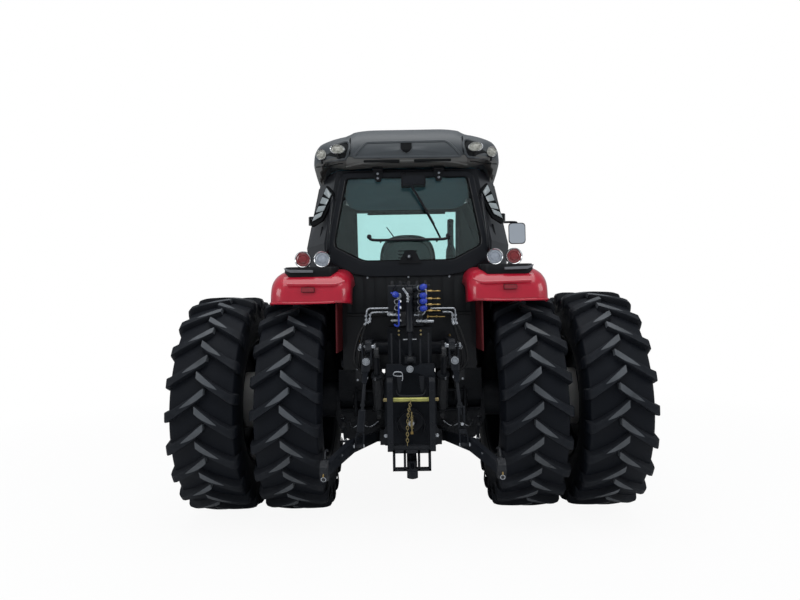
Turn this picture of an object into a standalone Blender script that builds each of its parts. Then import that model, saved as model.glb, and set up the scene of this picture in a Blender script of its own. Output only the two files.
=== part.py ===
"""Farm tractor with a four-post cab, dual rear wheels and a rear three-point linkage.

Metres, +Z up, +Y forwards, +X to the tractor's right. Sizes along the tractor and heights are
measured from the rear axle's centre. The parent empty then lifts the whole by the rear tyres'
radius and puts the middle of its length at the origin.
"""

import math

import bmesh
import bpy
from mathutils import Matrix, Vector

# Whole machine
WHEELBASE = 2.88
TOUCH_GAP = 0.0003  # between faces that rest on each other
OVERRUN = 0.02  # how far a cutter or a joined piece runs past the face it meets
SWING_GAP = 0.006  # between a moving panel and what it closes on

# Rear tyres and wheels
REAR_TYRE_RADIUS = 0.865
REAR_TYRE_DEPTH = 0.382
REAR_TYRE_WIDTH = 0.475
REAR_RIM_RADIUS = REAR_TYRE_RADIUS - REAR_TYRE_DEPTH
REAR_LUG_HEIGHT = 0.042
REAR_PITCHES = 22
INNER_WHEEL_X = 0.885
DUAL_SPACING = 0.592
RIM_EDGE_DEPTH = 0.03
REAR_RIM_WIDTH = 0.40
DISC_THICKNESS = 0.024
REAR_DISC_DISH = 0.09
HUB_RADIUS = 0.15
HUB_LENGTH = 0.12
SPACER_RADIUS = 0.23
WHEEL_FACETS = 20

# Front tyres and wheels
FRONT_TYRE_RADIUS = 0.70
FRONT_TYRE_DEPTH = 0.344
FRONT_TYRE_WIDTH = 0.40
FRONT_RIM_RADIUS = FRONT_TYRE_RADIUS - FRONT_TYRE_DEPTH
FRONT_LUG_HEIGHT = 0.036
FRONT_PITCHES = 18
FRONT_WHEEL_X = 0.97
FRONT_RIM_WIDTH = 0.33
FRONT_DISC_DISH = 0.03
FRONT_HUB_RADIUS = 0.13
FRONT_CAP_RADIUS = 0.11
FRONT_CAP_LENGTH = 0.06
FRONT_AXLE_Z = FRONT_TYRE_RADIUS - REAR_TYRE_RADIUS

# Shape of both tyres, as shares of their width, height and pitch
LUG_BASE_SHARE = 0.26
LUG_TOP_SHARE = 0.17
LUG_SWEEP_SHARE = 0.62
SHOULDER_WIDTH_SHARE = 0.47
BEAD_WIDTH_SHARE = 0.42
SIDEWALL_HEIGHT_SHARE = 0.5
SHOULDER_DROP_SHARE = 0.06

# Clearances at joints
JOINT_GAP = 0.0006
PIN_PLAY = 0.007
EYE_BITE = 0.012
PIN_RADIUS = 0.014

# Rear transmission and axle housing
CASE_HALF_WIDTH = 0.20
CASE_REAR_Y = -0.42
CASE_FRONT_Y = 1.54
CASE_BOTTOM_Z = -0.305
CASE_TOP_Z = 0.235
LIFT_HOUSING_HALF = 0.17
LIFT_HOUSING_FRONT_Y = -0.215
LIFT_HOUSING_TOP_Z = 0.595
AXLE_TUBE_RADIUS = 0.115
AXLE_FLANGE_RADIUS = 0.17
AXLE_FLANGE_THICKNESS = 0.03
AXLE_END_X = 0.60
HUB_INNER_X = AXLE_END_X + JOINT_GAP
CAB_MOUNT_INNER_X = 0.36
CAB_MOUNT_OUTER_X = 0.58
CAB_MOUNT_REAR_Y = -0.16
CAB_MOUNT_FRONT_Y = 0.06
LINK_BOSS_HALF = 0.06
CYLINDER_BOSS_HALF = 0.03

# Engine, from the transmission to just behind the front axle
ENGINE_HALF_WIDTH = 0.24
ENGINE_REAR_Y = CASE_FRONT_Y + TOUCH_GAP
ENGINE_BEHIND_AXLE = 0.28
ENGINE_FRONT_Y = WHEELBASE - ENGINE_BEHIND_AXLE
ENGINE_BOTTOM_Z = -0.265
ENGINE_TOP_Z = 0.715

# Front frame: a bolster over the axle with a rail along each side of the engine
BOLSTER_REAR_Y = ENGINE_FRONT_Y + TOUCH_GAP
BOLSTER_AHEAD = 0.60
BOLSTER_FRONT_Y = WHEELBASE + BOLSTER_AHEAD
BOLSTER_ABOVE_AXLE = 0.16
BOLSTER_BOTTOM_Z = FRONT_AXLE_Z + BOLSTER_ABOVE_AXLE
BOLSTER_HEIGHT = 0.26
RADIATOR_DECK_Z = BOLSTER_BOTTOM_Z + BOLSTER_HEIGHT
RAIL_THICKNESS = 0.03
RAIL_SETBACK = 0.21
RAIL_REAR_Y = ENGINE_REAR_Y + RAIL_SETBACK
RAIL_DROP = 0.06
RAIL_BOTTOM_Z = BOLSTER_BOTTOM_Z - RAIL_DROP
RAIL_HEIGHT = 0.20
RAIL_TOP_Z = RAIL_BOTTOM_Z + RAIL_HEIGHT

# Front weights, hung on a bar
WEIGHT_COUNT = 8
WEIGHT_THICKNESS = 0.062
WEIGHT_GAP = 0.008
WEIGHT_BAR_DEPTH = 0.14
WEIGHT_BAR_FRONT_Y = BOLSTER_FRONT_Y + WEIGHT_BAR_DEPTH
WEIGHT_DEPTH = 0.40
WEIGHT_FRONT_Y = WEIGHT_BAR_FRONT_Y + WEIGHT_DEPTH
WEIGHT_DROP = 0.24
WEIGHT_BOTTOM_Z = BOLSTER_BOTTOM_Z - WEIGHT_DROP
WEIGHT_HEIGHT = 0.52
WEIGHT_TOP_Z = WEIGHT_BOTTOM_Z + WEIGHT_HEIGHT
WEIGHT_CORNER = 0.06
WEIGHT_BAR_RISE = 0.04
WEIGHT_BAR_BOTTOM_Z = BOLSTER_BOTTOM_Z + WEIGHT_BAR_RISE
WEIGHT_BAR_HEIGHT = 0.18
WEIGHT_BAR_TOP_Z = WEIGHT_BAR_BOTTOM_Z + WEIGHT_BAR_HEIGHT

# Front axle, steering
BEAM_HALF_HEIGHT = 0.08
BEAM_HALF_DEPTH = 0.075
KING_PIN_X = 0.68
KING_PIN_RADIUS = 0.07
DIFF_RADIUS = 0.15
DIFF_HALF_DEPTH = 0.13
TRUNNION_HALF_WIDTH = 0.10
KNUCKLE_CLEARANCE = 0.10
KNUCKLE_PLATE_THICKNESS = 0.035
KNUCKLE_WALL_INNER = 0.085
KNUCKLE_WALL_OUTER = 0.12
KNUCKLE_HALF_DEPTH = 0.085
KNUCKLE_STUB = 0.04
FRONT_HUB_INNER_X = KING_PIN_X + KNUCKLE_WALL_OUTER + KNUCKLE_STUB
STEERING_ARM_LENGTH = 0.23
STEERING_ARM_HALF_WIDTH = 0.03
STEERING_ROD_RADIUS = 0.014
ROD_EYE_RADIUS = 0.028
ROD_EYE_HEIGHT = 0.04

# Cab shell: height of each level, then half widths and ends at that level
CAB_FLOOR_Z = 0.255
CAB_BELT_Z = 1.285
CAB_TOP_Z = 1.885
CAB_SIDE_X_FLOOR = 0.78
CAB_SIDE_X_BELT = 0.865
CAB_SIDE_X_TOP = 0.745
CAB_REAR_HALF_FLOOR = 0.64
CAB_REAR_HALF_BELT = 0.68
CAB_REAR_HALF_TOP = 0.575
CAB_FRONT_HALF_FLOOR = 0.62
CAB_FRONT_HALF_BELT = 0.66
CAB_FRONT_HALF_TOP = 0.60
CAB_REAR_Y_FLOOR = -0.17
CAB_REAR_Y_BELT = -0.20
CAB_REAR_Y_TOP = -0.15
CAB_FRONT_Y_FLOOR = 1.52
CAB_FRONT_Y_BELT = 1.52
CAB_FRONT_Y_TOP = 1.40
CAB_REAR_CORNER = 0.30
CAB_FRONT_CORNER = 0.16
CAB_WALL = 0.055
CAB_FLOOR_THICKNESS = 0.04
SILL_INNER_X = 0.49
SILL_TOP_Z = 0.455
SILL_FRONT_Y = 0.96

# Windows and doors
REAR_GLASS_TOP_Z = 1.835
REAR_GLASS_CORNER_Z = 1.235
REAR_GLASS_BOTTOM_Z = 1.11
REAR_GLASS_HALF_TOP = 0.515
REAR_GLASS_HALF_BELT = 0.615
REAR_GLASS_HALF_BOTTOM = 0.37
SCREEN_TOP_Z = 1.825
SCREEN_BOTTOM_Z = 1.115
SCREEN_HALF_WIDTH = 0.55
GLASS_THICKNESS = 0.008
GLASS_LAP = 0.012
QUARTER_REAR_Y = 0.12
QUARTER_REAR_TOP_Y = 0.16
QUARTER_FRONT_Y = 0.50
QUARTER_BOTTOM_Z = 1.155
DOOR_REAR_Y = 0.57
DOOR_WAIST_Y = 0.80
DOOR_KNEE_Y = 0.90
DOOR_FOOT_Y = 1.00
DOOR_FRONT_Y = 1.34
DOOR_FRONT_TOP_Y = 1.23
DOOR_TOP_Z = 1.81
DOOR_WAIST_Z = 0.895
DOOR_KNEE_Z = 0.695
DOOR_SILL_Z = 0.495
DOOR_FRAME_WIDTH = 0.05
DOOR_THICKNESS = 0.035
DOOR_LAP = 0.03
DOOR_HINGE_HEIGHTS = (1.085, 1.585)
HINGE_HALF = 0.03
HINGE_DEPTH = 0.03
HINGE_PLATE_THICKNESS = 0.02
HINGE_RADIUS = 0.013
DOOR_HINGE_X = CAB_SIDE_X_BELT + SWING_GAP + DOOR_THICKNESS + HINGE_RADIUS

# Reach of the cutters and sheets that shape the cab
CUT_INNER_X = 0.60
CUT_OUTER_X = 1.10
SLAB_REAR_Y = 0.04
SLAB_FRONT_Y = 1.42
DOOR_SLAB_BOTTOM_Z = 0.435
END_CUT_DEPTH = 0.14

# Cab openings, seen from the side as ahead, height
DOOR_OUTLINE = (
    (DOOR_REAR_Y, DOOR_TOP_Z),
    (DOOR_REAR_Y, DOOR_WAIST_Z),
    (DOOR_WAIST_Y, DOOR_WAIST_Z),
    (DOOR_KNEE_Y, DOOR_KNEE_Z),
    (DOOR_FOOT_Y, DOOR_SILL_Z),
    (DOOR_FRONT_Y, DOOR_SILL_Z),
    (DOOR_FRONT_Y, CAB_BELT_Z),
    (DOOR_FRONT_TOP_Y, DOOR_TOP_Z),
)
QUARTER_OUTLINE = (
    (QUARTER_REAR_TOP_Y, DOOR_TOP_Z),
    (QUARTER_REAR_Y, CAB_BELT_Z),
    (QUARTER_REAR_Y, QUARTER_BOTTOM_Z),
    (QUARTER_FRONT_Y, QUARTER_BOTTOM_Z),
    (QUARTER_FRONT_Y, DOOR_TOP_Z),
)
# Cab openings, seen from the front or the rear as across, height
REAR_WINDOW_OUTLINE = (
    (-REAR_GLASS_HALF_TOP, REAR_GLASS_TOP_Z),
    (-REAR_GLASS_HALF_BELT, CAB_BELT_Z),
    (-REAR_GLASS_HALF_BELT, REAR_GLASS_CORNER_Z),
    (-REAR_GLASS_HALF_BOTTOM, REAR_GLASS_BOTTOM_Z),
    (REAR_GLASS_HALF_BOTTOM, REAR_GLASS_BOTTOM_Z),
    (REAR_GLASS_HALF_BELT, REAR_GLASS_CORNER_Z),
    (REAR_GLASS_HALF_BELT, CAB_BELT_Z),
    (REAR_GLASS_HALF_TOP, REAR_GLASS_TOP_Z),
)
SCREEN_OUTLINE = (
    (-SCREEN_HALF_WIDTH, SCREEN_TOP_Z),
    (-SCREEN_HALF_WIDTH, SCREEN_BOTTOM_Z),
    (SCREEN_HALF_WIDTH, SCREEN_BOTTOM_Z),
    (SCREEN_HALF_WIDTH, SCREEN_TOP_Z),
)

# Fenders. Their top line is given as shares of the arch radius, ahead of and above the axle
FENDER_INNER_X = 0.43
FENDER_WALL_X = 0.54
FENDER_OUTER_X = 1.05
FENDER_OVER_TYRE = 0.12
FENDER_ARCH_RADIUS = REAR_TYRE_RADIUS + FENDER_OVER_TYRE
FENDER_LINE_SHARES = (
    # ahead, up
    (-0.629, 0.802),
    (-0.619, 0.939),
    (-0.518, 1.036),
    (-0.305, 1.081),
    (0.061, 1.096),
    (0.345, 1.020),
    (0.589, 0.868),
    (0.812, 0.675),
    (0.964, 0.482),
)
FENDER_LINE = tuple(
    (ahead * FENDER_ARCH_RADIUS, up * FENDER_ARCH_RADIUS) for ahead, up in FENDER_LINE_SHARES
)
FENDER_REAR_Y = FENDER_LINE[0][0]
FENDER_LIP_Z = FENDER_LINE[0][1]
FENDER_DECK_Z = FENDER_LINE[2][1]
FENDER_INNER_ROUND = 0.11
FENDER_OUTER_ROUND = 0.13
# Rounded sides of the fender seen from behind, as shares of the rounding and of the height above the lip
FENDER_ROUND_SHARES = (
    # in, up
    (0.62, 0.0),
    (0.18, 0.22),
    (0.0, 0.50),
    (0.10, 0.78),
    (0.42, 1.02),
    (1.0, 1.24),
)
FENDER_CLEARANCE = 0.002
INNER_WALL_THICKNESS = 0.03
INNER_WALL_BOTTOM_Z = 0.415
INNER_WALL_IN = 0.07
INNER_WALL_REAR_Y = FENDER_REAR_Y + INNER_WALL_IN
CAB_GAP_TO_FENDER = 0.004
ARCH_FACETS = 40

# Lamp consoles on the fenders
CONSOLE_INNER_X = 0.50
CONSOLE_OUTER_X = 0.97
CONSOLE_IN = 0.06
CONSOLE_LENGTH = 0.30
CONSOLE_REAR_Y = FENDER_REAR_Y + CONSOLE_IN
CONSOLE_FRONT_Y = CONSOLE_REAR_Y + CONSOLE_LENGTH
CONSOLE_HEIGHT = 0.045
CONSOLE_TAPER = 0.07
CONSOLE_SINK = 0.12
LAMP_RADIUS = 0.062
LAMP_BACK_RADIUS = 0.04
LAMP_DEPTH = 0.09
LAMP_RISE = 0.10
LAMP_Z = FENDER_DECK_Z + LAMP_RISE
WHITE_LAMP_X = 0.652
RED_LAMP_X = 0.796
LAMP_IN = 0.06
LAMP_Y = CONSOLE_REAR_Y + LAMP_IN
LAMP_STALK_RADIUS = 0.02

# Roof: rows of an eight-cornered loop, as shares of its height, half width and length
ROOF_BOTTOM_Z = 1.825
ROOF_HEIGHT = 0.492
ROOF_HALF_WIDTH = 0.79
ROOF_REAR_Y = -0.33
ROOF_LENGTH = 2.03
ROOF_ROW_NAMES = ("up", "rear_half", "side_half", "rear_in", "corner", "front_in")
ROOF_ROW_SHARES = (
    (0.0, 0.66, 0.968, 0.088, 0.32, 0.106),
    (0.16, 0.68, 0.985, 0.015, 0.31, 0.025),
    (0.345, 0.70, 1.0, 0.0, 0.30, 0.0),
    (0.545, 0.63, 0.962, 0.015, 0.30, 0.02),
    (0.755, 0.54, 0.785, 0.084, 0.28, 0.10),
    (0.875, 0.40, 0.56, 0.172, 0.25, 0.20),
    (1.0, 0.20, 0.30, 0.32, 0.20, 0.33),
)
ROOF_EAVE_Z = 1.91
ROOF_EAVE_HALF_SHARE = 0.66
ROOF_EAVE_FOOT_SHARE = 0.79

# Rear linkage: pivots as ahead, height
ROCKSHAFT_PIVOT = (-0.36, 0.435)
ROCKSHAFT_RADIUS = 0.05
LIFT_ARM_X = 0.295
LIFT_ARM_THICKNESS = 0.044
LIFT_ARM_TIP = (-0.76, 0.47)
LIFT_ARM_ROOT_HALF = 0.075
LIFT_ARM_TIP_HALF = 0.045
LIFT_ROD_X = 0.352
LIFT_ROD_HALF = 0.024
ROD_EYE_OUTER = 0.036
EYE_HALF = 0.014
LINK_PIVOT = (-0.25, -0.265)
LINK_ROD_POINT = (-0.86, -0.205)
LINK_TIP = (-1.25, -0.265)
LINK_PIVOT_X = 0.262
LINK_ROD_X = 0.415
LINK_TIP_X = 0.545
LINK_HALF_WIDTH = 0.02
LINK_HALF_HEIGHT = 0.045
LINK_END_SHARE = 0.75
HOOK_RADIUS = 0.062
HOOK_HALF = 0.024
LIFT_CYLINDER_FOOT = (-0.30, -0.085)
LIFT_CYLINDER_EYE = (-0.63, 0.42)
LIFT_CYLINDER_RADIUS = 0.042
LIFT_PISTON_ROD_RADIUS = 0.022
LIFT_BARREL_SHARE = 0.66
CYLINDER_X = 0.247
CYLINDER_EYE_HALF = 0.016
CYLINDER_EYE_OUTER = 0.04
BARREL_START = 0.05
PISTON_START = 0.14
TOP_LINK_PIVOT = (-0.66, 0.364)
TOP_LINK_LENGTH = 0.505
TOP_LINK_LEAN = math.radians(4.0)
TOP_LINK_RADIUS = 0.0165
TOP_LINK_SLEEVE_RADIUS = 0.028
TOP_LINK_EYE_RADIUS = 0.036
TOP_LINK_EYE_HALF = 0.018
TOP_LINK_SLEEVE_START_SHARE = 0.3
TOP_LINK_SLEEVE_END_SHARE = 0.8

# Hitch frame and drawbar
STRAP = 0.022
STRAP_BOTTOM_Z = -0.403
HITCH_PLATE_INNER_X = 0.125
HITCH_PLATE_OUTER_X = 0.17
HITCH_FRAME_REAR_Y = -0.80
HITCH_FRAME_BOTTOM_Z = -0.265
HITCH_FRAME_TOP_Z = 0.25
HITCH_STRAP_FRONT_Y = -0.70
HITCH_SOCKET_Z = 0.093
HITCH_PIN_HALF = 0.20
HITCH_PIN_Y = -0.76
DRAWBAR_HALF_WIDTH = 0.037
DRAWBAR_TOP_Z = -0.335
DRAWBAR_THICKNESS = 0.045
DRAWBAR_REAR_Y = -1.06
DRAWBAR_FRONT_Y = -0.05
DRAWBAR_EYE_IN = 0.045
DRAWBAR_HOLE_RADIUS = 0.018

# Power take-off and remote valves
PTO_RADIUS = 0.0225
PTO_Z = -0.105
PTO_REAR_Y = -0.60
PTO_HOUSING_RADIUS = 0.085
PTO_HOUSING_REAR_Y = -0.46
VALVE_HALF_WIDTH = 0.16
VALVE_BOTTOM_Z = 0.71
VALVE_HEIGHT = 0.21
VALVE_REAR_Y = -0.54
VALVE_FRONT_Y = -0.30
VALVE_FOOT_HALF = 0.12
VALVE_FOOT_REAR_Y = -0.41
COUPLER_RADIUS = 0.022
COUPLER_LENGTH = 0.09
COUPLER_SHARES = (
    # across the valve block, up it
    (-0.69, 0.33),
    (-0.56, 0.76),
    (0.375, 0.62),
    (0.75, 0.76),
    (0.375, 0.24),
    (0.75, 0.33),
)

# Hood, radiator, cowl
HOOD_REAR_Y = 1.62
HOOD_AHEAD = 0.68
HOOD_FRONT_Y = WHEELBASE + HOOD_AHEAD
HOOD_NOSE_LENGTH = 0.26
HOOD_NOSE_Y = HOOD_FRONT_Y - HOOD_NOSE_LENGTH
HOOD_ABOVE_DECK = 0.08
HOOD_BOTTOM_Z = RADIATOR_DECK_Z + HOOD_ABOVE_DECK
HOOD_REAR_TOP_Z = 1.095
HOOD_FRONT_TOP_Z = 0.835
HOOD_NOSE_TOP_Z = 0.715
HOOD_REAR_HALF = 0.40
HOOD_FRONT_HALF = 0.34
HOOD_NOSE_HALF = 0.27
HOOD_SHOULDER = 0.10
HOOD_SKIN = 0.022
HOOD_HINGE_Y = 1.66
HOOD_HINGE_Z = 1.035
HOOD_PIN_RADIUS = 0.014
HOOD_EAR_RADIUS = 0.034
HOOD_EAR_WIDTH = 0.03
GRILLE_HALF = 0.19
GRILLE_RISE = 0.04
GRILLE_BOTTOM_Z = HOOD_BOTTOM_Z + GRILLE_RISE
GRILLE_HEIGHT = 0.18
GRILLE_BARS = 5
GRILLE_BAR = 0.014
GRILLE_DEPTH = 0.07
GRILLE_RECESS = 0.008
RADIATOR_HALF_WIDTH = 0.27
RADIATOR_BEHIND_AXLE = 0.02
RADIATOR_DEPTH = 0.44
RADIATOR_HEADROOM = 0.10
COWL_REAR_Y = 1.535
COWL_HALF = 0.36
COWL_TOP_Z = 0.975
COWL_ARM_HALF = 0.20
COWL_ARM_FRONT_Y = 1.72
COWL_ARM_TOP_Z = 0.915

# Exhaust
EXHAUST_X = 0.50
EXHAUST_Y = 1.66
EXHAUST_RADIUS = 0.055
EXHAUST_BOTTOM_Z = 0.235
EXHAUST_TOP_Z = 1.755
EXHAUST_TIP = 0.10
EXHAUST_TIP_SHARE = 0.9

# Seat: rows of the back as shares of its height, half width and lean
SEAT_REAR_Y = 0.34
SEAT_FRONT_Y = 0.70
SEAT_CUSHION_FRONT_Y = 0.88
SEAT_Z = 0.695
SEAT_BASE_HALF = 0.20
SEAT_HALF = 0.25
SEAT_CUSHION_HEIGHT = 0.11
SEAT_BACK_THICKNESS = 0.10
SEAT_BACK_LOW_Z = 0.715
SEAT_BACK_HEIGHT = 0.703
SEAT_BACK_LEAN = 0.08
SEAT_BACK_REAR_Y = 0.28
SEAT_BACK_SHARES = (
    # up, half, lean
    (0.0, 0.84, 0.0),
    (0.526, 0.96, 0.375),
    (0.853, 0.88, 0.75),
    (1.0, 0.56, 1.0),
)

# Dashboard, steering column and wheel
DASH_HALF = 0.20
DASH_TOP_HALF = 0.17
DASH_REAR_Y = 1.22
DASH_FRONT_Y = 1.43
DASH_Z = 1.035
COLUMN_RUN = 0.14
COLUMN_RISE = 0.12
COLUMN_RADIUS = 0.03
STEERING_WHEEL_RADIUS = 0.19
WHEEL_RIM_RADIUS = 0.014
WHEEL_RIM_FACETS = 6
STEERING_WHEEL_FACETS = 16
STEERING_SPOKES = 3
SPOKE_SHARE = 0.8
WHEEL_BOSS_RADIUS = 0.05

# Fuel tank, battery box and their steps
TANK_INNER_X = 0.30
TANK_OUTER_X = 0.66
BATTERY_OUTER_X = 0.56
TANK_REAR_Y = 0.93
TANK_FRONT_Y = 1.72
TANK_BOTTOM_Z = -0.345
TANK_TOP_Z = 0.185
TANK_ARM_REAR_Y = 1.02
TANK_ARM_FRONT_Y = 1.24
TANK_ARM_BOTTOM_Z = -0.165
TANK_ARM_TOP_Z = 0.035
STEP_REAR_Y = 1.02
STEP_FRONT_Y = 1.42
STEP_THICKNESS = 0.03
STEP_LOW_Z = -0.415
STEP_RISE = 0.285
STEP_OUT = 0.20
STEP_TREAD_SHARES = (
    # up, as a count of rises, and how far out
    (0.0, 1.0),
    (1.0, 0.85),
    (2.0, 0.70),
)

# Mirrors
MIRROR_ROOT_X = 0.70
MIRROR_ROOT_Y = 1.38
MIRROR_Z = 1.585
MIRROR_Y = 1.50
MIRROR_INNER_X = 1.117
MIRROR_OUTER_X = 1.333
MIRROR_BOTTOM_Z = 1.448
MIRROR_TOP_Z = 1.708
MIRROR_DEPTH = 0.06
MIRROR_ARM_RADIUS = 0.014
MIRROR_OVERLAP = 0.03
FOLDED_MIRROR_X = 0.72
FOLDED_MIRROR_Y = 1.60

# The origin lies midway between the hooks' rear edge and the weights' front
ORIGIN_AHEAD_OF_REAR_AXLE = (WEIGHT_FRONT_Y + LINK_TIP[0] - HOOK_RADIUS) / 2

SIDES = (("right", 1.0), ("left", -1.0))
ROUND_FACETS = 12
SMALL_FACETS = 8
MERGE_DISTANCE = 0.00001

LOOKS = {
    # colour, roughness, metallic
    "tyre": ((0.022, 0.024, 0.028), 0.85, 0.0),
    "rim": ((0.55, 0.55, 0.53), 0.45, 0.2),
    "red": ((0.42, 0.012, 0.022), 0.35, 0.0),
    "black": ((0.014, 0.015, 0.017), 0.5, 0.0),
    "iron": ((0.03, 0.031, 0.034), 0.6, 0.3),
    "roof": ((0.055, 0.058, 0.065), 0.55, 0.0),
    "glass": ((0.16, 0.30, 0.30), 0.08, 0.0),
    "cloth": ((0.04, 0.042, 0.045), 0.9, 0.0),
    "steel": ((0.45, 0.45, 0.44), 0.35, 0.8),
}


def start_scene():
    for thing in list(bpy.data.objects):
        bpy.data.objects.remove(thing)
    collection = bpy.data.collections.new("tractor")
    bpy.context.scene.collection.children.link(collection)
    return collection


def mesh_of(shape, name="piece"):
    """Turns a working mesh into a stored one with its faces outward."""
    bmesh.ops.remove_doubles(shape, verts=shape.verts, dist=MERGE_DISTANCE)
    bmesh.ops.recalc_face_normals(shape, faces=shape.faces)
    mesh = bpy.data.meshes.new(name)
    shape.to_mesh(mesh)
    shape.free()
    return mesh


def block(low, high):
    """A box between two corners."""
    low = Vector(low)
    high = Vector(high)
    shape = bmesh.new()
    place = Matrix.Translation((low + high) / 2) @ Matrix.Diagonal((*(high - low), 1.0))
    bmesh.ops.create_cube(shape, size=1.0, matrix=place)
    return mesh_of(shape)


def rod(start, end, radius, facets=ROUND_FACETS, end_radius=None):
    """A cylinder or a cone from one point to another."""
    start = Vector(start)
    end = Vector(end)
    turn = (end - start).to_track_quat("Z", "Y").to_matrix().to_4x4()
    shape = bmesh.new()
    bmesh.ops.create_cone(
        shape,
        cap_ends=True,
        segments=facets,
        radius1=radius,
        radius2=radius if end_radius is None else end_radius,
        depth=(end - start).length,
        matrix=Matrix.Translation((start + end) / 2) @ turn,
    )
    return mesh_of(shape)


def placed(axis, along, first, second):
    """A point from its place along one axis and its two other coordinates, in X, Y, Z order."""
    point = [first, second]
    point.insert("XYZ".index(axis), along)
    return Vector(point)


def prism(outline, axis, low, high):
    """An outline drawn out along one axis."""
    shape = bmesh.new()
    corners = [shape.verts.new(placed(axis, low, *point)) for point in outline]
    face = shape.faces.new(corners)
    grown = bmesh.ops.extrude_face_region(shape, geom=[face])["geom"]
    moved = [thing for thing in grown if isinstance(thing, bmesh.types.BMVert)]
    bmesh.ops.translate(shape, verts=moved, vec=placed(axis, high - low, 0.0, 0.0))
    return mesh_of(shape)


def lathe(profile, facets, centre=(0.0, 0.0, 0.0), closed=False):
    """A profile of (radius, across) turned about an axis along X."""
    shape = bmesh.new()
    line = [shape.verts.new((across, radius, 0.0)) for radius, across in profile]
    ends = zip(line, line[1:] + line[:1]) if closed else zip(line, line[1:])
    edges = [shape.edges.new(pair) for pair in ends]
    bmesh.ops.spin(
        shape,
        geom=line + edges,
        cent=(0.0, 0.0, 0.0),
        axis=(1.0, 0.0, 0.0),
        angle=math.tau,
        steps=facets,
    )
    bmesh.ops.translate(shape, verts=shape.verts, vec=centre)
    return mesh_of(shape)


def eye(centre, outer, inner, half_width, facets=ROUND_FACETS):
    """A ring round an axis along X."""
    profile = (
        (outer, -half_width),
        (outer, half_width),
        (inner, half_width),
        (inner, -half_width),
    )
    return lathe(profile, facets, centre, closed=True)


def running_bore(radius):
    """The corner radius of a flat-sided bore that lets a pin of this radius turn in it."""
    return (radius + JOINT_GAP) / math.cos(math.pi / ROUND_FACETS)


def loft(rows):
    """Closed sides between loops of equal count, with a face on each end."""
    shape = bmesh.new()
    loops = [[shape.verts.new(point) for point in row] for row in rows]
    for lower, upper in zip(loops, loops[1:]):
        for here in range(len(lower)):
            ahead = (here + 1) % len(lower)
            shape.faces.new((lower[here], lower[ahead], upper[ahead]))
            shape.faces.new((lower[here], upper[ahead], upper[here]))
    shape.faces.new(loops[0][::-1])
    shape.faces.new(loops[-1])
    return mesh_of(shape)


def combined(pieces, cutters=(), limits=()):
    """One closed mesh: the pieces joined, kept within the limits, less the cutters."""
    helpers = []
    for mesh in [*pieces, *limits, *cutters]:
        helper = bpy.data.objects.new("helper", mesh)
        bpy.context.scene.collection.objects.link(helper)
        helpers.append(helper)
    base = helpers[0]
    kinds = ["UNION"] * (len(pieces) - 1) + ["INTERSECT"] * len(limits) + ["DIFFERENCE"] * len(cutters)
    for helper, kind in zip(helpers[1:], kinds):
        modifier = base.modifiers.new(kind.lower(), "BOOLEAN")
        modifier.operation = kind
        modifier.solver = "EXACT"
        modifier.object = helper
    bpy.context.view_layer.update()
    graph = bpy.context.evaluated_depsgraph_get()
    mesh = bpy.data.meshes.new_from_object(base.evaluated_get(graph))
    for helper in helpers:
        bpy.data.objects.remove(helper)
    shape = bmesh.new()
    shape.from_mesh(mesh)
    return mesh_of(shape)


def mirrored(mesh, sign):
    """The mesh itself on the right, or its mirror image on the left."""
    shape = bmesh.new()
    shape.from_mesh(mesh)
    if sign < 0:
        bmesh.ops.scale(shape, vec=(-1.0, 1.0, 1.0), verts=shape.verts)
    return mesh_of(shape)


def inset(outline, distance):
    """The outline moved in by a distance on every side."""
    area = sum(a[0] * b[1] - b[0] * a[1] for a, b in zip(outline, outline[1:] + outline[:1]))
    inward = math.copysign(distance, area)
    lines = []
    for start, end in zip(outline, outline[1:] + outline[:1]):
        run = Vector(end) - Vector(start)
        shift = Vector((-run.y, run.x)).normalized() * inward
        lines.append((Vector(start) + shift, run))
    corners = []
    for (first, run), (second, other) in zip(lines[-1:] + lines[:-1], lines):
        crossing = run.x * other.y - run.y * other.x
        between = second - first
        share = (between.x * other.y - between.y * other.x) / crossing
        corners.append(tuple(first + run * share))
    return tuple(corners)


def node(name, mesh, look, pivot=(0.0, 0.0, 0.0)):
    """Adds a named piece whose origin lies on its pivot."""
    mesh.transform(Matrix.Translation(-Vector(pivot)))
    mesh.name = name
    mesh.materials.clear()
    colour, roughness, metallic = LOOKS[look]
    material = bpy.data.materials.new(name)
    material.use_nodes = True
    shader = material.node_tree.nodes["Principled BSDF"]
    shader.inputs["Base Color"].default_value = (*colour, 1.0)
    shader.inputs["Roughness"].default_value = roughness
    shader.inputs["Metallic"].default_value = metallic
    mesh.materials.append(material)
    thing = bpy.data.objects.new(name, mesh)
    parts_collection.objects.link(thing)
    thing.parent = frame
    thing.location = pivot
    return thing


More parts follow.
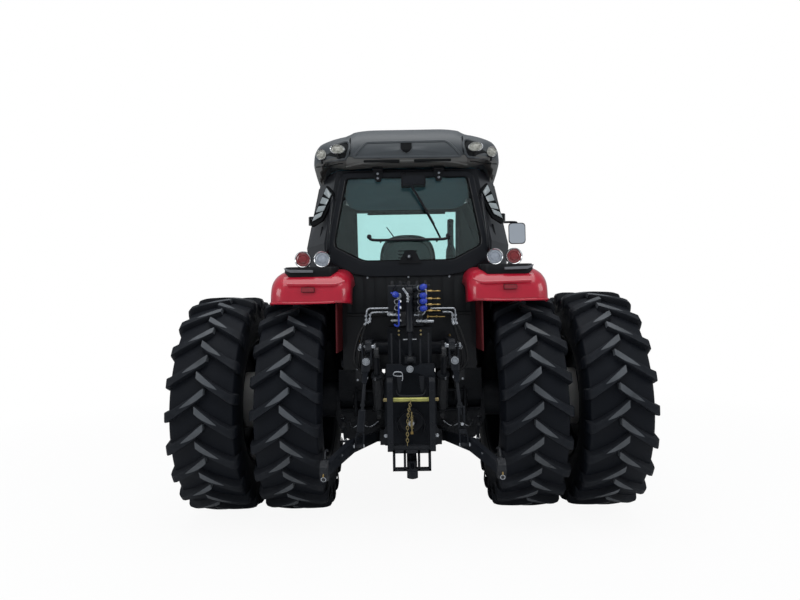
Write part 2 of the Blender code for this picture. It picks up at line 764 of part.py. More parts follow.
def tyre(radius, width, rim_radius, lug_height, pitches, centre_x):
    """A tyre about an axis along X: one pitch of tread, sidewalls and bore, repeated round the wheel."""
    pitch = math.tau / pitches
    lug = LUG_BASE_SHARE * pitch
    sweep = LUG_SWEEP_SHARE * pitch
    floor_radius = radius - lug_height
    shoulder_radius = floor_radius - SHOULDER_DROP_SHARE * (floor_radius - rim_radius)
    wall_radius = rim_radius + SIDEWALL_HEIGHT_SHARE * (floor_radius - rim_radius)
    shape = bmesh.new()

    def at(across, ring_radius, turn):
        y = -math.sin(turn) * ring_radius
        z = -math.cos(turn) * ring_radius
        return shape.verts.new((centre_x + across, y, z))

    middle = [at(0.0, floor_radius, turn) for turn in (0.0, lug, pitch / 2, pitch / 2 + lug, pitch)]
    after = [at(0.0, floor_radius, pitch + lug)]
    tops = []
    beads = []
    for sign, start in ((1.0, 0.0), (-1.0, pitch / 2)):
        turns = (start - sweep, start + lug - sweep, start + pitch - sweep)
        columns = []
        for share, ring, back in (
            (SHOULDER_WIDTH_SHARE, shoulder_radius, 0.0),
            (0.5, wall_radius, start / 2),
            (BEAD_WIDTH_SHARE, rim_radius, start),
        ):
            columns.append([at(sign * share * width, ring, turn - back) for turn in turns])
        if sign > 0:
            inner = middle[:2]
            groove = [middle[1], middle[2], middle[3], middle[4]]
        else:
            inner = middle[2:4]
            groove = [middle[3], middle[4], after[0], at(0.0, floor_radius, pitch + pitch / 2)]
        tops.append((sign, shape.faces.new([*inner, columns[0][1], columns[0][0]])))
        shape.faces.new([*groove, columns[0][2], columns[0][1]])
        for outer, lower in zip(columns, columns[1:]):
            for here in (0, 1):
                shape.faces.new((outer[here], outer[here + 1], lower[here + 1], lower[here]))
        beads.append(columns[-1])
    for here in (0, 1):
        shape.faces.new((beads[0][here], beads[0][here + 1], beads[1][here + 1], beads[1][here]))
    for sign, face in tops:
        grown = bmesh.ops.extrude_discrete_faces(shape, faces=[face])["faces"][0]
        corners = sorted(grown.verts, key=lambda vert: abs(vert.co.x - centre_x))
        for first, second in (corners[:2], corners[2:]):
            between = (first.co + second.co) / 2
            for vert in (first, second):
                vert.co = between + (vert.co - between) * LUG_TOP_SHARE / LUG_BASE_SHARE
                vert.co.yz = vert.co.yz.normalized() * radius
    bmesh.ops.spin(
        shape,
        geom=shape.verts[:] + shape.edges[:] + shape.faces[:],
        cent=(0.0, 0.0, 0.0),
        axis=(1.0, 0.0, 0.0),
        angle=math.tau - pitch,
        steps=pitches - 1,
        use_duplicate=True,
    )
    return mesh_of(shape)


def rim_edge(rim_radius, pitches):
    """The rim's radius inside the flat-sided bore of its tyre."""
    return rim_radius * math.cos(math.pi * (1.0 - LUG_BASE_SHARE) / pitches) - TOUCH_GAP


def rear_rims():
    """Hub, both discs, the spacer drum between them and both rims, as one turned solid."""
    edge = rim_edge(REAR_RIM_RADIUS, REAR_PITCHES)
    inside = edge - RIM_EDGE_DEPTH
    half_disc = DISC_THICKNESS / 2
    half_rim = REAR_RIM_WIDTH / 2
    outer_x = INNER_WHEEL_X + DUAL_SPACING
    inner_disc = INNER_WHEEL_X - REAR_DISC_DISH
    outer_disc = outer_x - REAR_DISC_DISH
    profile = (
        # radius, across
        (0.0, HUB_INNER_X),
        (HUB_RADIUS, HUB_INNER_X),
        (HUB_RADIUS, inner_disc - half_disc),
        (inside, inner_disc - half_disc),
        (inside, INNER_WHEEL_X - half_rim),
        (edge, INNER_WHEEL_X - half_rim),
        (edge, INNER_WHEEL_X + half_rim),
        (inside, INNER_WHEEL_X + half_rim),
        (inside, inner_disc + half_disc),
        (SPACER_RADIUS, inner_disc + half_disc),
        (SPACER_RADIUS, outer_disc - half_disc),
        (inside, outer_disc - half_disc),
        (inside, outer_x - half_rim),
        (edge, outer_x - half_rim),
        (edge, outer_x + half_rim),
        (inside, outer_x + half_rim),
        (inside, outer_disc + half_disc),
        (HUB_RADIUS, outer_disc + half_disc),
        (HUB_RADIUS, outer_disc + half_disc + HUB_LENGTH),
        (0.0, outer_disc + half_disc + HUB_LENGTH),
    )
    return lathe(profile, WHEEL_FACETS)


def front_rim():
    edge = rim_edge(FRONT_RIM_RADIUS, FRONT_PITCHES)
    inside = edge - RIM_EDGE_DEPTH
    half_disc = DISC_THICKNESS / 2
    half_rim = FRONT_RIM_WIDTH / 2
    disc = FRONT_WHEEL_X + FRONT_DISC_DISH
    profile = (
        # radius, across
        (0.0, FRONT_HUB_INNER_X),
        (FRONT_HUB_RADIUS, FRONT_HUB_INNER_X),
        (FRONT_HUB_RADIUS, disc - half_disc),
        (inside, disc - half_disc),
        (inside, FRONT_WHEEL_X - half_rim),
        (edge, FRONT_WHEEL_X - half_rim),
        (edge, FRONT_WHEEL_X + half_rim),
        (inside, FRONT_WHEEL_X + half_rim),
        (inside, disc + half_disc),
        (FRONT_CAP_RADIUS, disc + half_disc),
        (FRONT_CAP_RADIUS, disc + half_disc + FRONT_CAP_LENGTH),
        (0.0, disc + half_disc + FRONT_CAP_LENGTH),
    )
    return lathe(profile, WHEEL_FACETS)


def box_corners(low, high):
    """Lower and upper loops of a tapered box, each from its left, right, rear, front and height."""
    loops = []
    for left, right, rear, front, height in (low, high):
        corners = ((left, rear), (right, rear), (right, front), (left, front))
        loops.append([(x, y, height) for x, y in corners])
    return loops


def wheels():
    rims = rear_rims()
    rear_sizes = (REAR_TYRE_RADIUS, REAR_TYRE_WIDTH, REAR_RIM_RADIUS, REAR_LUG_HEIGHT, REAR_PITCHES)
    inner = tyre(*rear_sizes, INNER_WHEEL_X)
    outer = tyre(*rear_sizes, INNER_WHEEL_X + DUAL_SPACING)
    front_sizes = (FRONT_TYRE_RADIUS, FRONT_TYRE_WIDTH, FRONT_RIM_RADIUS, FRONT_LUG_HEIGHT, FRONT_PITCHES)
    rim = front_rim()
    front = tyre(*front_sizes, FRONT_WHEEL_X)
    for mesh in (rim, front):
        mesh.transform(Matrix.Translation((0.0, WHEELBASE, FRONT_AXLE_Z)))
    for side, sign in SIDES:
        hub = (sign * INNER_WHEEL_X, 0.0, 0.0)
        node(f"rear_rims_{side}", mirrored(rims, sign), "rim", hub)
        node(f"rear_tyre_inner_{side}", mirrored(inner, sign), "tyre", hub)
        node(f"rear_tyre_outer_{side}", mirrored(outer, sign), "tyre", hub)
        hub = (sign * FRONT_WHEEL_X, WHEELBASE, FRONT_AXLE_Z)
        node(f"front_rim_{side}", mirrored(rim, sign), "rim", hub)
        node(f"front_tyre_{side}", mirrored(front, sign), "tyre", hub)


def square_boss(sign, inner, outer, place, half):
    """A square boss on one side, between two distances from the middle, centred on a side-view place."""
    low, high = sorted((sign * inner, sign * outer))
    ahead, height = place
    return block((low, ahead - half, height - half), (high, ahead + half, height + half))


def transmission():
    housing = block(
        (-LIFT_HOUSING_HALF, CASE_REAR_Y, CASE_TOP_Z - OVERRUN),
        (LIFT_HOUSING_HALF, LIFT_HOUSING_FRONT_Y, LIFT_HOUSING_TOP_Z),
    )
    pieces = [
        block((-CASE_HALF_WIDTH, CASE_REAR_Y, CASE_BOTTOM_Z), (CASE_HALF_WIDTH, CASE_FRONT_Y, CASE_TOP_Z)),
        housing,
        rod((-AXLE_END_X, 0.0, 0.0), (AXLE_END_X, 0.0, 0.0), AXLE_TUBE_RADIUS),
    ]
    inside = CASE_HALF_WIDTH - OVERRUN
    link_face = LINK_PIVOT_X - LINK_HALF_WIDTH - JOINT_GAP
    cylinder_face = CYLINDER_X - CYLINDER_EYE_HALF - JOINT_GAP
    for _, sign in SIDES:
        inner = sign * (AXLE_END_X - AXLE_FLANGE_THICKNESS)
        pieces.append(rod((inner, 0.0, 0.0), (sign * AXLE_END_X, 0.0, 0.0), AXLE_FLANGE_RADIUS))
        low, high = sorted((sign * CAB_MOUNT_INNER_X, sign * CAB_MOUNT_OUTER_X))
        pieces.append(
            block((low, CAB_MOUNT_REAR_Y, 0.0), (high, CAB_MOUNT_FRONT_Y, CAB_FLOOR_Z - TOUCH_GAP))
        )
        pieces.append(square_boss(sign, inside, link_face, LINK_PIVOT, LINK_BOSS_HALF))
        pieces.append(square_boss(sign, inside, cylinder_face, LIFT_CYLINDER_FOOT, CYLINDER_BOSS_HALF))
        pin_start = (sign * CASE_HALF_WIDTH, *LIFT_CYLINDER_FOOT)
        pin_end = (sign * (CYLINDER_X + CYLINDER_EYE_HALF), *LIFT_CYLINDER_FOOT)
        pieces.append(rod(pin_start, pin_end, PIN_RADIUS, SMALL_FACETS))
    pieces.append(
        rod((0.0, CASE_REAR_Y + OVERRUN, PTO_Z), (0.0, PTO_HOUSING_REAR_Y, PTO_Z), PTO_HOUSING_RADIUS)
    )
    y, z = TOP_LINK_PIVOT
    for _, sign in SIDES:
        low, high = sorted((sign * (TOP_LINK_EYE_HALF + JOINT_GAP), sign * (TOP_LINK_EYE_HALF + STRAP)))
        pieces.append(block((low, y - STRAP, z - STRAP), (high, CASE_REAR_Y + OVERRUN, z + STRAP)))
    reach = TOP_LINK_EYE_HALF + STRAP
    pieces.append(rod((-reach, y, z), (reach, y, z), PIN_RADIUS, SMALL_FACETS))
    node("transmission_case", combined(pieces), "iron")
    node(
        "pto_shaft",
        rod((0.0, PTO_HOUSING_REAR_Y - JOINT_GAP, PTO_Z), (0.0, PTO_REAR_Y, PTO_Z), PTO_RADIUS),
        "steel",
        (0.0, PTO_REAR_Y, PTO_Z),
    )


def engine_and_frame():
    low = (-ENGINE_HALF_WIDTH, ENGINE_REAR_Y, ENGINE_BOTTOM_Z)
    high = (ENGINE_HALF_WIDTH, ENGINE_FRONT_Y, ENGINE_TOP_Z)
    node("engine_block", block(low, high), "iron")
    rail_inner = ENGINE_HALF_WIDTH + TOUCH_GAP
    rail_outer = rail_inner + RAIL_THICKNESS
    pieces = []
    for _, sign in SIDES:
        near, far = sorted((sign * rail_inner, sign * rail_outer))
        pieces.append(block((near, RAIL_REAR_Y, RAIL_BOTTOM_Z), (far, BOLSTER_REAR_Y + OVERRUN, RAIL_TOP_Z)))
    bolster = block(
        (-rail_outer, BOLSTER_REAR_Y, BOLSTER_BOTTOM_Z), (rail_outer, BOLSTER_FRONT_Y, RADIATOR_DECK_Z)
    )
    node("front_frame", combined([bolster, *pieces]), "iron")
    radiator_rear = WHEELBASE - RADIATOR_BEHIND_AXLE
    radiator = block(
        (-RADIATOR_HALF_WIDTH, radiator_rear, RADIATOR_DECK_Z + TOUCH_GAP),
        (RADIATOR_HALF_WIDTH, radiator_rear + RADIATOR_DEPTH, HOOD_FRONT_TOP_Z - RADIATOR_HEADROOM),
    )
    node("radiator_pack", radiator, "black")
    span = WEIGHT_COUNT * WEIGHT_THICKNESS + (WEIGHT_COUNT - 1) * WEIGHT_GAP
    carrier = block(
        (-span / 2, BOLSTER_FRONT_Y + TOUCH_GAP, WEIGHT_BAR_BOTTOM_Z),
        (span / 2, WEIGHT_BAR_FRONT_Y, WEIGHT_BAR_TOP_Z),
    )
    slab = (
        # ahead, height
        (WEIGHT_BAR_FRONT_Y - OVERRUN, WEIGHT_BOTTOM_Z),
        (WEIGHT_FRONT_Y - WEIGHT_CORNER, WEIGHT_BOTTOM_Z),
        (WEIGHT_FRONT_Y, WEIGHT_BOTTOM_Z + WEIGHT_CORNER),
        (WEIGHT_FRONT_Y, WEIGHT_TOP_Z - WEIGHT_CORNER),
        (WEIGHT_FRONT_Y - WEIGHT_CORNER, WEIGHT_TOP_Z),
        (WEIGHT_BAR_FRONT_Y - OVERRUN, WEIGHT_TOP_Z),
    )
    weights = []
    for count in range(WEIGHT_COUNT):
        start = -span / 2 + count * (WEIGHT_THICKNESS + WEIGHT_GAP)
        weights.append(prism(slab, "X", start, start + WEIGHT_THICKNESS))
    node("front_weights", combined([carrier, *weights]), "black")


def upright(x, y, low, high, radius):
    """A small upright pin between two heights."""
    return rod((x, y, low), (x, y, high), radius, SMALL_FACETS)


def front_axle():
    z = FRONT_AXLE_Z
    y = WHEELBASE
    end = KING_PIN_X - KNUCKLE_CLEARANCE
    pieces = [
        block(
            (-end, y - BEAM_HALF_DEPTH, z - BEAM_HALF_HEIGHT),
            (end, y + BEAM_HALF_DEPTH, z + BEAM_HALF_HEIGHT),
        ),
        rod((0.0, y - DIFF_HALF_DEPTH, z), (0.0, y + DIFF_HALF_DEPTH, z), DIFF_RADIUS, ROUND_FACETS),
        block(
            (-TRUNNION_HALF_WIDTH, y - TRUNNION_HALF_WIDTH, z),
            (TRUNNION_HALF_WIDTH, y + TRUNNION_HALF_WIDTH, BOLSTER_BOTTOM_Z - TOUCH_GAP),
        ),
    ]
    for _, sign in SIDES:
        pin = sign * KING_PIN_X
        pieces.append(rod((pin, y, z - BEAM_HALF_HEIGHT), (pin, y, z + BEAM_HALF_HEIGHT), KING_PIN_RADIUS))
        near, far = sorted((sign * (end - OVERRUN), pin))
        pieces.append(
            block(
                (near, y - KING_PIN_RADIUS / 2, z - BEAM_HALF_HEIGHT),
                (far, y + KING_PIN_RADIUS / 2, z + BEAM_HALF_HEIGHT),
            )
        )
    node("front_axle_beam", combined(pieces), "iron")
    plate_bottom = BEAM_HALF_HEIGHT + JOINT_GAP
    plate_top = plate_bottom + KNUCKLE_PLATE_THICKNESS
    wall_inner = KING_PIN_X + KNUCKLE_WALL_INNER
    wall_outer = KING_PIN_X + KNUCKLE_WALL_OUTER
    depth = KNUCKLE_HALF_DEPTH
    arm_y = y - STEERING_ARM_LENGTH
    arm_low = z - plate_top
    arm_high = z - plate_bottom
    pieces = [
        block((wall_inner, y - depth, z - plate_top), (wall_outer, y + depth, z + plate_top)),
        block((KING_PIN_X, y - depth, z + plate_bottom), (wall_inner + OVERRUN, y + depth, z + plate_top)),
        block((KING_PIN_X, y - depth, z - plate_top), (wall_inner + OVERRUN, y + depth, z - plate_bottom)),
        upright(KING_PIN_X, y, z + plate_bottom, z + plate_top, KING_PIN_RADIUS),
        upright(KING_PIN_X, y, z - plate_top, z - plate_bottom, KING_PIN_RADIUS),
        block(
            (KING_PIN_X - STEERING_ARM_HALF_WIDTH, arm_y, arm_low),
            (KING_PIN_X + STEERING_ARM_HALF_WIDTH, y, arm_high),
        ),
        upright(KING_PIN_X, arm_y, arm_low, arm_high, STEERING_ARM_HALF_WIDTH),
        rod((wall_outer - OVERRUN, y, z), (FRONT_HUB_INNER_X - JOINT_GAP, y, z), FRONT_HUB_RADIUS),
    ]
    knuckle = combined(pieces)
    for side, sign in SIDES:
        node(f"front_knuckle_{side}", mirrored(knuckle, sign), "iron", (sign * KING_PIN_X, y, z))
    eye_low = arm_high + JOINT_GAP
    tie_z = eye_low + ROD_EYE_HEIGHT / 2
    left_eye = (-KING_PIN_X, arm_y, tie_z)
    right_eye = (KING_PIN_X, arm_y, tie_z)
    pieces = [rod(left_eye, right_eye, STEERING_ROD_RADIUS, SMALL_FACETS)]
    for _, sign in SIDES:
        pin = sign * KING_PIN_X
        pieces.append(rod((pin, arm_y, eye_low), (pin, arm_y, eye_low + ROD_EYE_HEIGHT), ROD_EYE_RADIUS))
    node("tie_rod", combined(pieces), "iron", left_eye)


def interpolated(height, floor, belt, top):
    """A cab size at a height, from its values at the floor, the belt line and the top."""
    if height <= CAB_BELT_Z:
        share = (height - CAB_FLOOR_Z) / (CAB_BELT_Z - CAB_FLOOR_Z)
        return floor + (belt - floor) * share
    share = (height - CAB_BELT_Z) / (CAB_TOP_Z - CAB_BELT_Z)
    return belt + (top - belt) * share


def side_x(height):
    return interpolated(height, CAB_SIDE_X_FLOOR, CAB_SIDE_X_BELT, CAB_SIDE_X_TOP)


def rear_y(height):
    return interpolated(height, CAB_REAR_Y_FLOOR, CAB_REAR_Y_BELT, CAB_REAR_Y_TOP)


def front_y(height):
    return interpolated(height, CAB_FRONT_Y_FLOOR, CAB_FRONT_Y_BELT, CAB_FRONT_Y_TOP)


def octagon(height, rear_half, side, rear, rear_corner, front_half, front, front_corner):
    """A loop seen from above with its four corners cut off."""
    right = (
        (rear_half, rear, height),
        (side, rear + rear_corner, height),
        (side, front - front_corner, height),
        (front_half, front, height),
    )
    return [*right, *[(-x, y, z) for x, y, z in right[::-1]]]


def cab_loop(height, wall, level=None):
    """The cab's outline at a height, moved in by the wall."""
    level = height if level is None else level
    return octagon(
        height,
        interpolated(level, CAB_REAR_HALF_FLOOR, CAB_REAR_HALF_BELT, CAB_REAR_HALF_TOP) - wall / 2,
        side_x(level) - wall,
        rear_y(level) + wall,
        CAB_REAR_CORNER - wall / 2,
        interpolated(level, CAB_FRONT_HALF_FLOOR, CAB_FRONT_HALF_BELT, CAB_FRONT_HALF_TOP) - wall / 2,
        front_y(level) - wall,
        CAB_FRONT_CORNER - wall / 2,
    )


def cab_solid(wall, below=0.0, above=0.0):
    """The cab's whole form moved in by the wall, run on past its floor and its top."""
    return loft(
        (
            cab_loop(CAB_FLOOR_Z - below, wall, CAB_FLOOR_Z),
            cab_loop(CAB_BELT_Z, wall),
            cab_loop(CAB_TOP_Z + above, wall, CAB_TOP_Z),
        )
    )


def side_slab(near, far):
    """A sheet that follows the right side wall, between two distances out from it."""
    rows = []
    for height in (DOOR_SLAB_BOTTOM_Z, CAB_BELT_Z, CAB_TOP_Z):
        inner = side_x(height) + near
        outer = side_x(height) + far
        corners = ((inner, SLAB_REAR_Y), (outer, SLAB_REAR_Y), (outer, SLAB_FRONT_Y), (inner, SLAB_FRONT_Y))
        rows.append([(x, y, height) for x, y in corners])
    return loft(rows)


def end_slab(place, near, far):
    """A sheet that follows the rear or front wall, between two distances along the tractor from it."""
    rows = []
    half = CAB_SIDE_X_BELT
    for height in (CAB_FLOOR_Z, CAB_BELT_Z, CAB_TOP_Z):
        low = place(height) + near
        high = place(height) + far
        rows.append(((-half, low, height), (half, low, height), (half, high, height), (-half, high, height)))
    return loft(rows)


def side_prism(outline):
    """An outline seen from the side, run through the right side wall."""
    return prism(outline, "X", CUT_INNER_X, CUT_OUTER_X)


def rear_prism(outline):
    return prism(outline, "Y", CAB_REAR_Y_BELT - CAB_WALL, CAB_REAR_Y_BELT + END_CUT_DEPTH)


def front_prism(outline):
    return prism(outline, "Y", CAB_FRONT_Y_TOP - END_CUT_DEPTH, CAB_FRONT_Y_BELT + CAB_WALL)


def door_hinge_plates():
    """Plates on both rear door posts, each with a pin that stands over the door's own hinge knuckle."""
    plates = []
    for height in DOOR_HINGE_HEIGHTS:
        low = height + HINGE_HALF + JOINT_GAP
        high = low + HINGE_PLATE_THICKNESS
        plate = block(
            (side_x(height) - OVERRUN, DOOR_REAR_Y - HINGE_DEPTH, low),
            (DOOR_HINGE_X, DOOR_REAR_Y - JOINT_GAP, high),
        )
        plate = combined([plate, upright(DOOR_HINGE_X, DOOR_REAR_Y, low, high, HINGE_RADIUS)])
        plates.extend(mirrored(plate, sign) for _, sign in SIDES)
    return plates


def cab_shell():
    """The cab's walls with all their openings, the sills beside the fenders and the door hinge plates."""
    shell = combined([cab_solid(0.0)], [cab_solid(CAB_WALL, OVERRUN, OVERRUN)])
    under_fender = (
        *fender_side(FENDER_CLEARANCE),
        (FENDER_LINE[-1][0], CAB_FLOOR_Z),
        (FENDER_LINE[0][0], CAB_FLOOR_Z),
    )
    cutters = [
        rear_prism(inset(REAR_WINDOW_OUTLINE, GLASS_LAP)),
        front_prism(inset(SCREEN_OUTLINE, GLASS_LAP)),
    ]
    sills = []
    for _, sign in SIDES:
        cutters.append(mirrored(side_prism(inset(DOOR_OUTLINE, DOOR_LAP)), sign))
        cutters.append(mirrored(side_prism(inset(QUARTER_OUTLINE, GLASS_LAP)), sign))
        cutters.append(mirrored(prism(under_fender, "X", FENDER_WALL_X - TOUCH_GAP, CUT_OUTER_X), sign))
        near, far = sorted((sign * SILL_INNER_X, sign * (FENDER_WALL_X - TOUCH_GAP)))
        sills.append(
            block((near, CAB_REAR_Y_FLOOR + TOUCH_GAP, CAB_FLOOR_Z), (far, SILL_FRONT_Y, SILL_TOP_Z))
        )
    return combined([combined([shell], cutters), *sills, *door_hinge_plates()])


def cab_floor():
    top = CAB_FLOOR_Z + CAB_FLOOR_THICKNESS
    floor = loft([cab_loop(height, CAB_WALL + TOUCH_GAP, CAB_FLOOR_Z) for height in (CAB_FLOOR_Z, top)])
    wells = []
    for _, sign in SIDES:
        near, far = sorted((sign * (SILL_INNER_X - TOUCH_GAP), sign * CUT_OUTER_X))
        wells.append(
            block(
                (near, CAB_REAR_Y_FLOOR - OVERRUN, CAB_FLOOR_Z - OVERRUN),
                (far, SILL_FRONT_Y + TOUCH_GAP, top + OVERRUN),
            )
        )
    return combined([floor], wells)


def roof():
    """The roof's outer form, hollowed over the cab and arched up between its side skirts at both ends."""
    rows = []
    for row in ROOF_ROW_SHARES:
        share = dict(zip(ROOF_ROW_NAMES, row))
        rows.append(
            octagon(
                ROOF_BOTTOM_Z + share["up"] * ROOF_HEIGHT,
                share["rear_half"] * ROOF_HALF_WIDTH,
                share["side_half"] * ROOF_HALF_WIDTH,
                ROOF_REAR_Y + share["rear_in"] * ROOF_LENGTH,
                share["corner"] * ROOF_HALF_WIDTH,
                share["rear_half"] * ROOF_HALF_WIDTH,
                ROOF_REAR_Y + ROOF_LENGTH - share["front_in"] * ROOF_LENGTH,
                share["corner"] * ROOF_HALF_WIDTH,
            )
        )
    head = ROOF_EAVE_HALF_SHARE * ROOF_HALF_WIDTH
    foot = ROOF_EAVE_FOOT_SHARE * ROOF_HALF_WIDTH
    below = ROOF_BOTTOM_Z - OVERRUN
    arch = ((-foot, below), (foot, below), (head, ROOF_EAVE_Z), (-head, ROOF_EAVE_Z))
    cutters = [
        cab_solid(-TOUCH_GAP, 0.0, TOUCH_GAP),
        prism(arch, "Y", ROOF_REAR_Y - OVERRUN, CAB_REAR_Y_TOP),
        prism(arch, "Y", CAB_FRONT_Y_TOP, ROOF_REAR_Y + ROOF_LENGTH + OVERRUN),
    ]
    return combined([loft(rows)], cutters)


def door_leaf():
    """The right door's frame with its hinge arms and knuckles."""
    leaf = combined(
        [side_slab(SWING_GAP, SWING_GAP + DOOR_THICKNESS)],
        [side_prism(inset(DOOR_OUTLINE, DOOR_FRAME_WIDTH))],
        [side_prism(DOOR_OUTLINE)],
    )
    pieces = [leaf]
    for height in DOOR_HINGE_HEIGHTS:
        low = height - HINGE_HALF
        high = height + HINGE_HALF
        pieces.append(
            block(
                (side_x(height) + SWING_GAP + DOOR_THICKNESS / 2, DOOR_REAR_Y, low),
                (DOOR_HINGE_X, DOOR_REAR_Y + HINGE_DEPTH, high),
            )
        )
        pieces.append(upright(DOOR_HINGE_X, DOOR_REAR_Y, low, high, HINGE_RADIUS))
    return combined(pieces)


def cab():
    node("cab_frame", cab_shell(), "black")
    node("cab_floor", cab_floor(), "black")
    node("cab_roof", roof(), "roof")
    near = TOUCH_GAP
    far = TOUCH_GAP + GLASS_THICKNESS
    rear_glass = combined([end_slab(rear_y, -far, -near)], (), [rear_prism(REAR_WINDOW_OUTLINE)])
    front_glass = combined([end_slab(front_y, near, far)], (), [front_prism(SCREEN_OUTLINE)])
    node("rear_window", rear_glass, "glass")
    node("windscreen", front_glass, "glass")
    quarter = combined([side_slab(near, far)], (), [side_prism(QUARTER_OUTLINE)])
    leaf = door_leaf()
    seated = SWING_GAP + DOOR_THICKNESS / 2
    glass = combined(
        [side_slab(seated - GLASS_THICKNESS / 2, seated + GLASS_THICKNESS / 2)],
        (),
        [side_prism(inset(DOOR_OUTLINE, DOOR_FRAME_WIDTH + TOUCH_GAP))],
    )
    for side, sign in SIDES:
        node(f"quarter_glass_{side}", mirrored(quarter, sign), "glass")
        hinge = (sign * DOOR_HINGE_X, DOOR_REAR_Y, CAB_BELT_Z)
        node(f"door_frame_{side}", mirrored(leaf, sign), "black", hinge)
        node(f"door_glass_{side}", mirrored(glass, sign), "glass", hinge)


def fender_side(grown):
    """The fender's top line, moved out from the axle by a distance."""
    line = []
    for point in FENDER_LINE:
        out = Vector(point).normalized() * grown
        line.append(tuple(Vector(point) + out))
    return tuple(line)


def fender_section():
    """The fender seen from behind: upright sides, rounded in at the lip and at the top."""
    rise = FENDER_DECK_Z - FENDER_LIP_Z
    low = INNER_WALL_BOTTOM_Z - OVERRUN
    high = FENDER_LIP_Z + rise + FENDER_ARCH_RADIUS
    inner = [(FENDER_WALL_X, low)]
    outer = []
    for share_in, up in FENDER_ROUND_SHARES:
        height = FENDER_LIP_Z + up * rise
        inner.append((FENDER_INNER_X + share_in * FENDER_INNER_ROUND, height))
        outer.append((FENDER_OUTER_X - share_in * FENDER_OUTER_ROUND, height))
    inner.append((FENDER_INNER_X + FENDER_INNER_ROUND, high))
    outer.append((FENDER_OUTER_X - FENDER_OUTER_ROUND, high))
    return (*inner, *outer[::-1], (outer[0][0], low))


def fender():
    """The right fender: the shell over the tyre, its inner wall and its tail behind the cab."""
    last_y = FENDER_LINE[-1][0]
    outline = (
        *FENDER_LINE,
        (last_y, INNER_WALL_BOTTOM_Z),
        (INNER_WALL_REAR_Y, INNER_WALL_BOTTOM_Z),
        (INNER_WALL_REAR_Y, FENDER_LIP_Z),
    )
    body = prism(outline, "X", FENDER_WALL_X, FENDER_OUTER_X)
    behind = CAB_REAR_Y_BELT - CAB_GAP_TO_FENDER
    line = [point for point in FENDER_LINE if point[0] < behind]
    tail_outline = (*line, (behind, line[-1][1]), (behind, FENDER_LIP_Z))
    tail = prism(tail_outline, "X", FENDER_INNER_X, FENDER_WALL_X + OVERRUN)
    arch = rod(
        (FENDER_WALL_X + INNER_WALL_THICKNESS, 0.0, 0.0),
        (FENDER_OUTER_X + OVERRUN, 0.0, 0.0),
        FENDER_ARCH_RADIUS,
        ARCH_FACETS,
    )
    tail_arch = rod(
        (FENDER_INNER_X - OVERRUN, 0.0, 0.0),
        (FENDER_WALL_X - TOUCH_GAP, 0.0, 0.0),
        FENDER_ARCH_RADIUS,
        ARCH_FACETS,
    )
    high = FENDER_LIP_Z + FENDER_ARCH_RADIUS
    corners = []
    for edge, inward in ((FENDER_INNER_X, FENDER_INNER_ROUND), (FENDER_OUTER_X, -FENDER_OUTER_ROUND)):
        past = edge - math.copysign(OVERRUN, inward)
        plan = (
            (edge + inward, FENDER_REAR_Y - OVERRUN),
            (past, FENDER_REAR_Y - OVERRUN),
            (past, FENDER_REAR_Y + abs(inward)),
        )
        corners.append(prism(plan, "Z", FENDER_LIP_Z - OVERRUN, high))
    section = prism(fender_section(), "Y", FENDER_REAR_Y - OVERRUN, last_y + OVERRUN)
    whole = combined([body, combined([tail], [tail_arch])], [arch, *corners])
    return combined([whole], (), [section])


def lamp_console():
    """The right console on the fender's deck, with two round lamps on stalks."""
    base = FENDER_DECK_Z + CONSOLE_HEIGHT
    foot = FENDER_DECK_Z - CONSOLE_SINK
    half_taper = CONSOLE_TAPER / 2
    console = loft(
        box_corners(
            (CONSOLE_INNER_X, CONSOLE_OUTER_X, CONSOLE_REAR_Y, CONSOLE_FRONT_Y, foot),
            (
                CONSOLE_INNER_X + CONSOLE_TAPER,
                CONSOLE_OUTER_X - half_taper,
                CONSOLE_REAR_Y + half_taper,
                CONSOLE_FRONT_Y,
                base,
            ),
        )
    )
    pieces = [console]
    back = LAMP_Y + LAMP_DEPTH
    stalk_y = LAMP_Y + LAMP_DEPTH / 2
    for across in (WHITE_LAMP_X, RED_LAMP_X):
        face = (across, LAMP_Y, LAMP_Z)
        pieces.append(rod(face, (across, back, LAMP_Z), LAMP_RADIUS, ROUND_FACETS, LAMP_BACK_RADIUS))
        stalk_foot = (across, stalk_y, FENDER_DECK_Z + CONSOLE_HEIGHT / 2)
        pieces.append(rod(stalk_foot, (across, stalk_y, LAMP_Z), LAMP_STALK_RADIUS, SMALL_FACETS))
    line = fender_side(TOUCH_GAP)[:4]
    ceiling = LAMP_Z + CONSOLE_SINK
    behind = FENDER_REAR_Y - CAB_WALL
    above = (*line, (CAB_REAR_Y_BELT, ceiling), (behind, ceiling), (behind, line[0][1]))
    keep = prism(above, "X", CONSOLE_INNER_X - OVERRUN, CONSOLE_OUTER_X + OVERRUN)
    return combined(pieces, (), [keep])


def fenders():
    shell = fender()
    console = lamp_console()
    for side, sign in SIDES:
        node(f"fender_{side}", mirrored(shell, sign), "red")
        node(f"lamp_console_{side}", mirrored(console, sign), "black")


def hood_loop(y, half, top, bottom):
    """A section across the hood, with its two top edges cut off."""
    return [
        (-half, y, bottom),
        (-half, y, top - HOOD_SHOULDER),
        (-half + HOOD_SHOULDER, y, top),
        (half - HOOD_SHOULDER, y, top),
        (half, y, top - HOOD_SHOULDER),
        (half, y, bottom),
    ]


def hood_form(skin, rear, front, bottom):
    """The hood's form moved in by its skin, between two ends."""
    return loft(
        (
            hood_loop(rear, HOOD_REAR_HALF - skin, HOOD_REAR_TOP_Z - skin, bottom),
            hood_loop(HOOD_NOSE_Y, HOOD_FRONT_HALF - skin, HOOD_FRONT_TOP_Z - skin, bottom),
            hood_loop(front, HOOD_NOSE_HALF - skin, HOOD_NOSE_TOP_Z - skin, bottom),
        )
    )


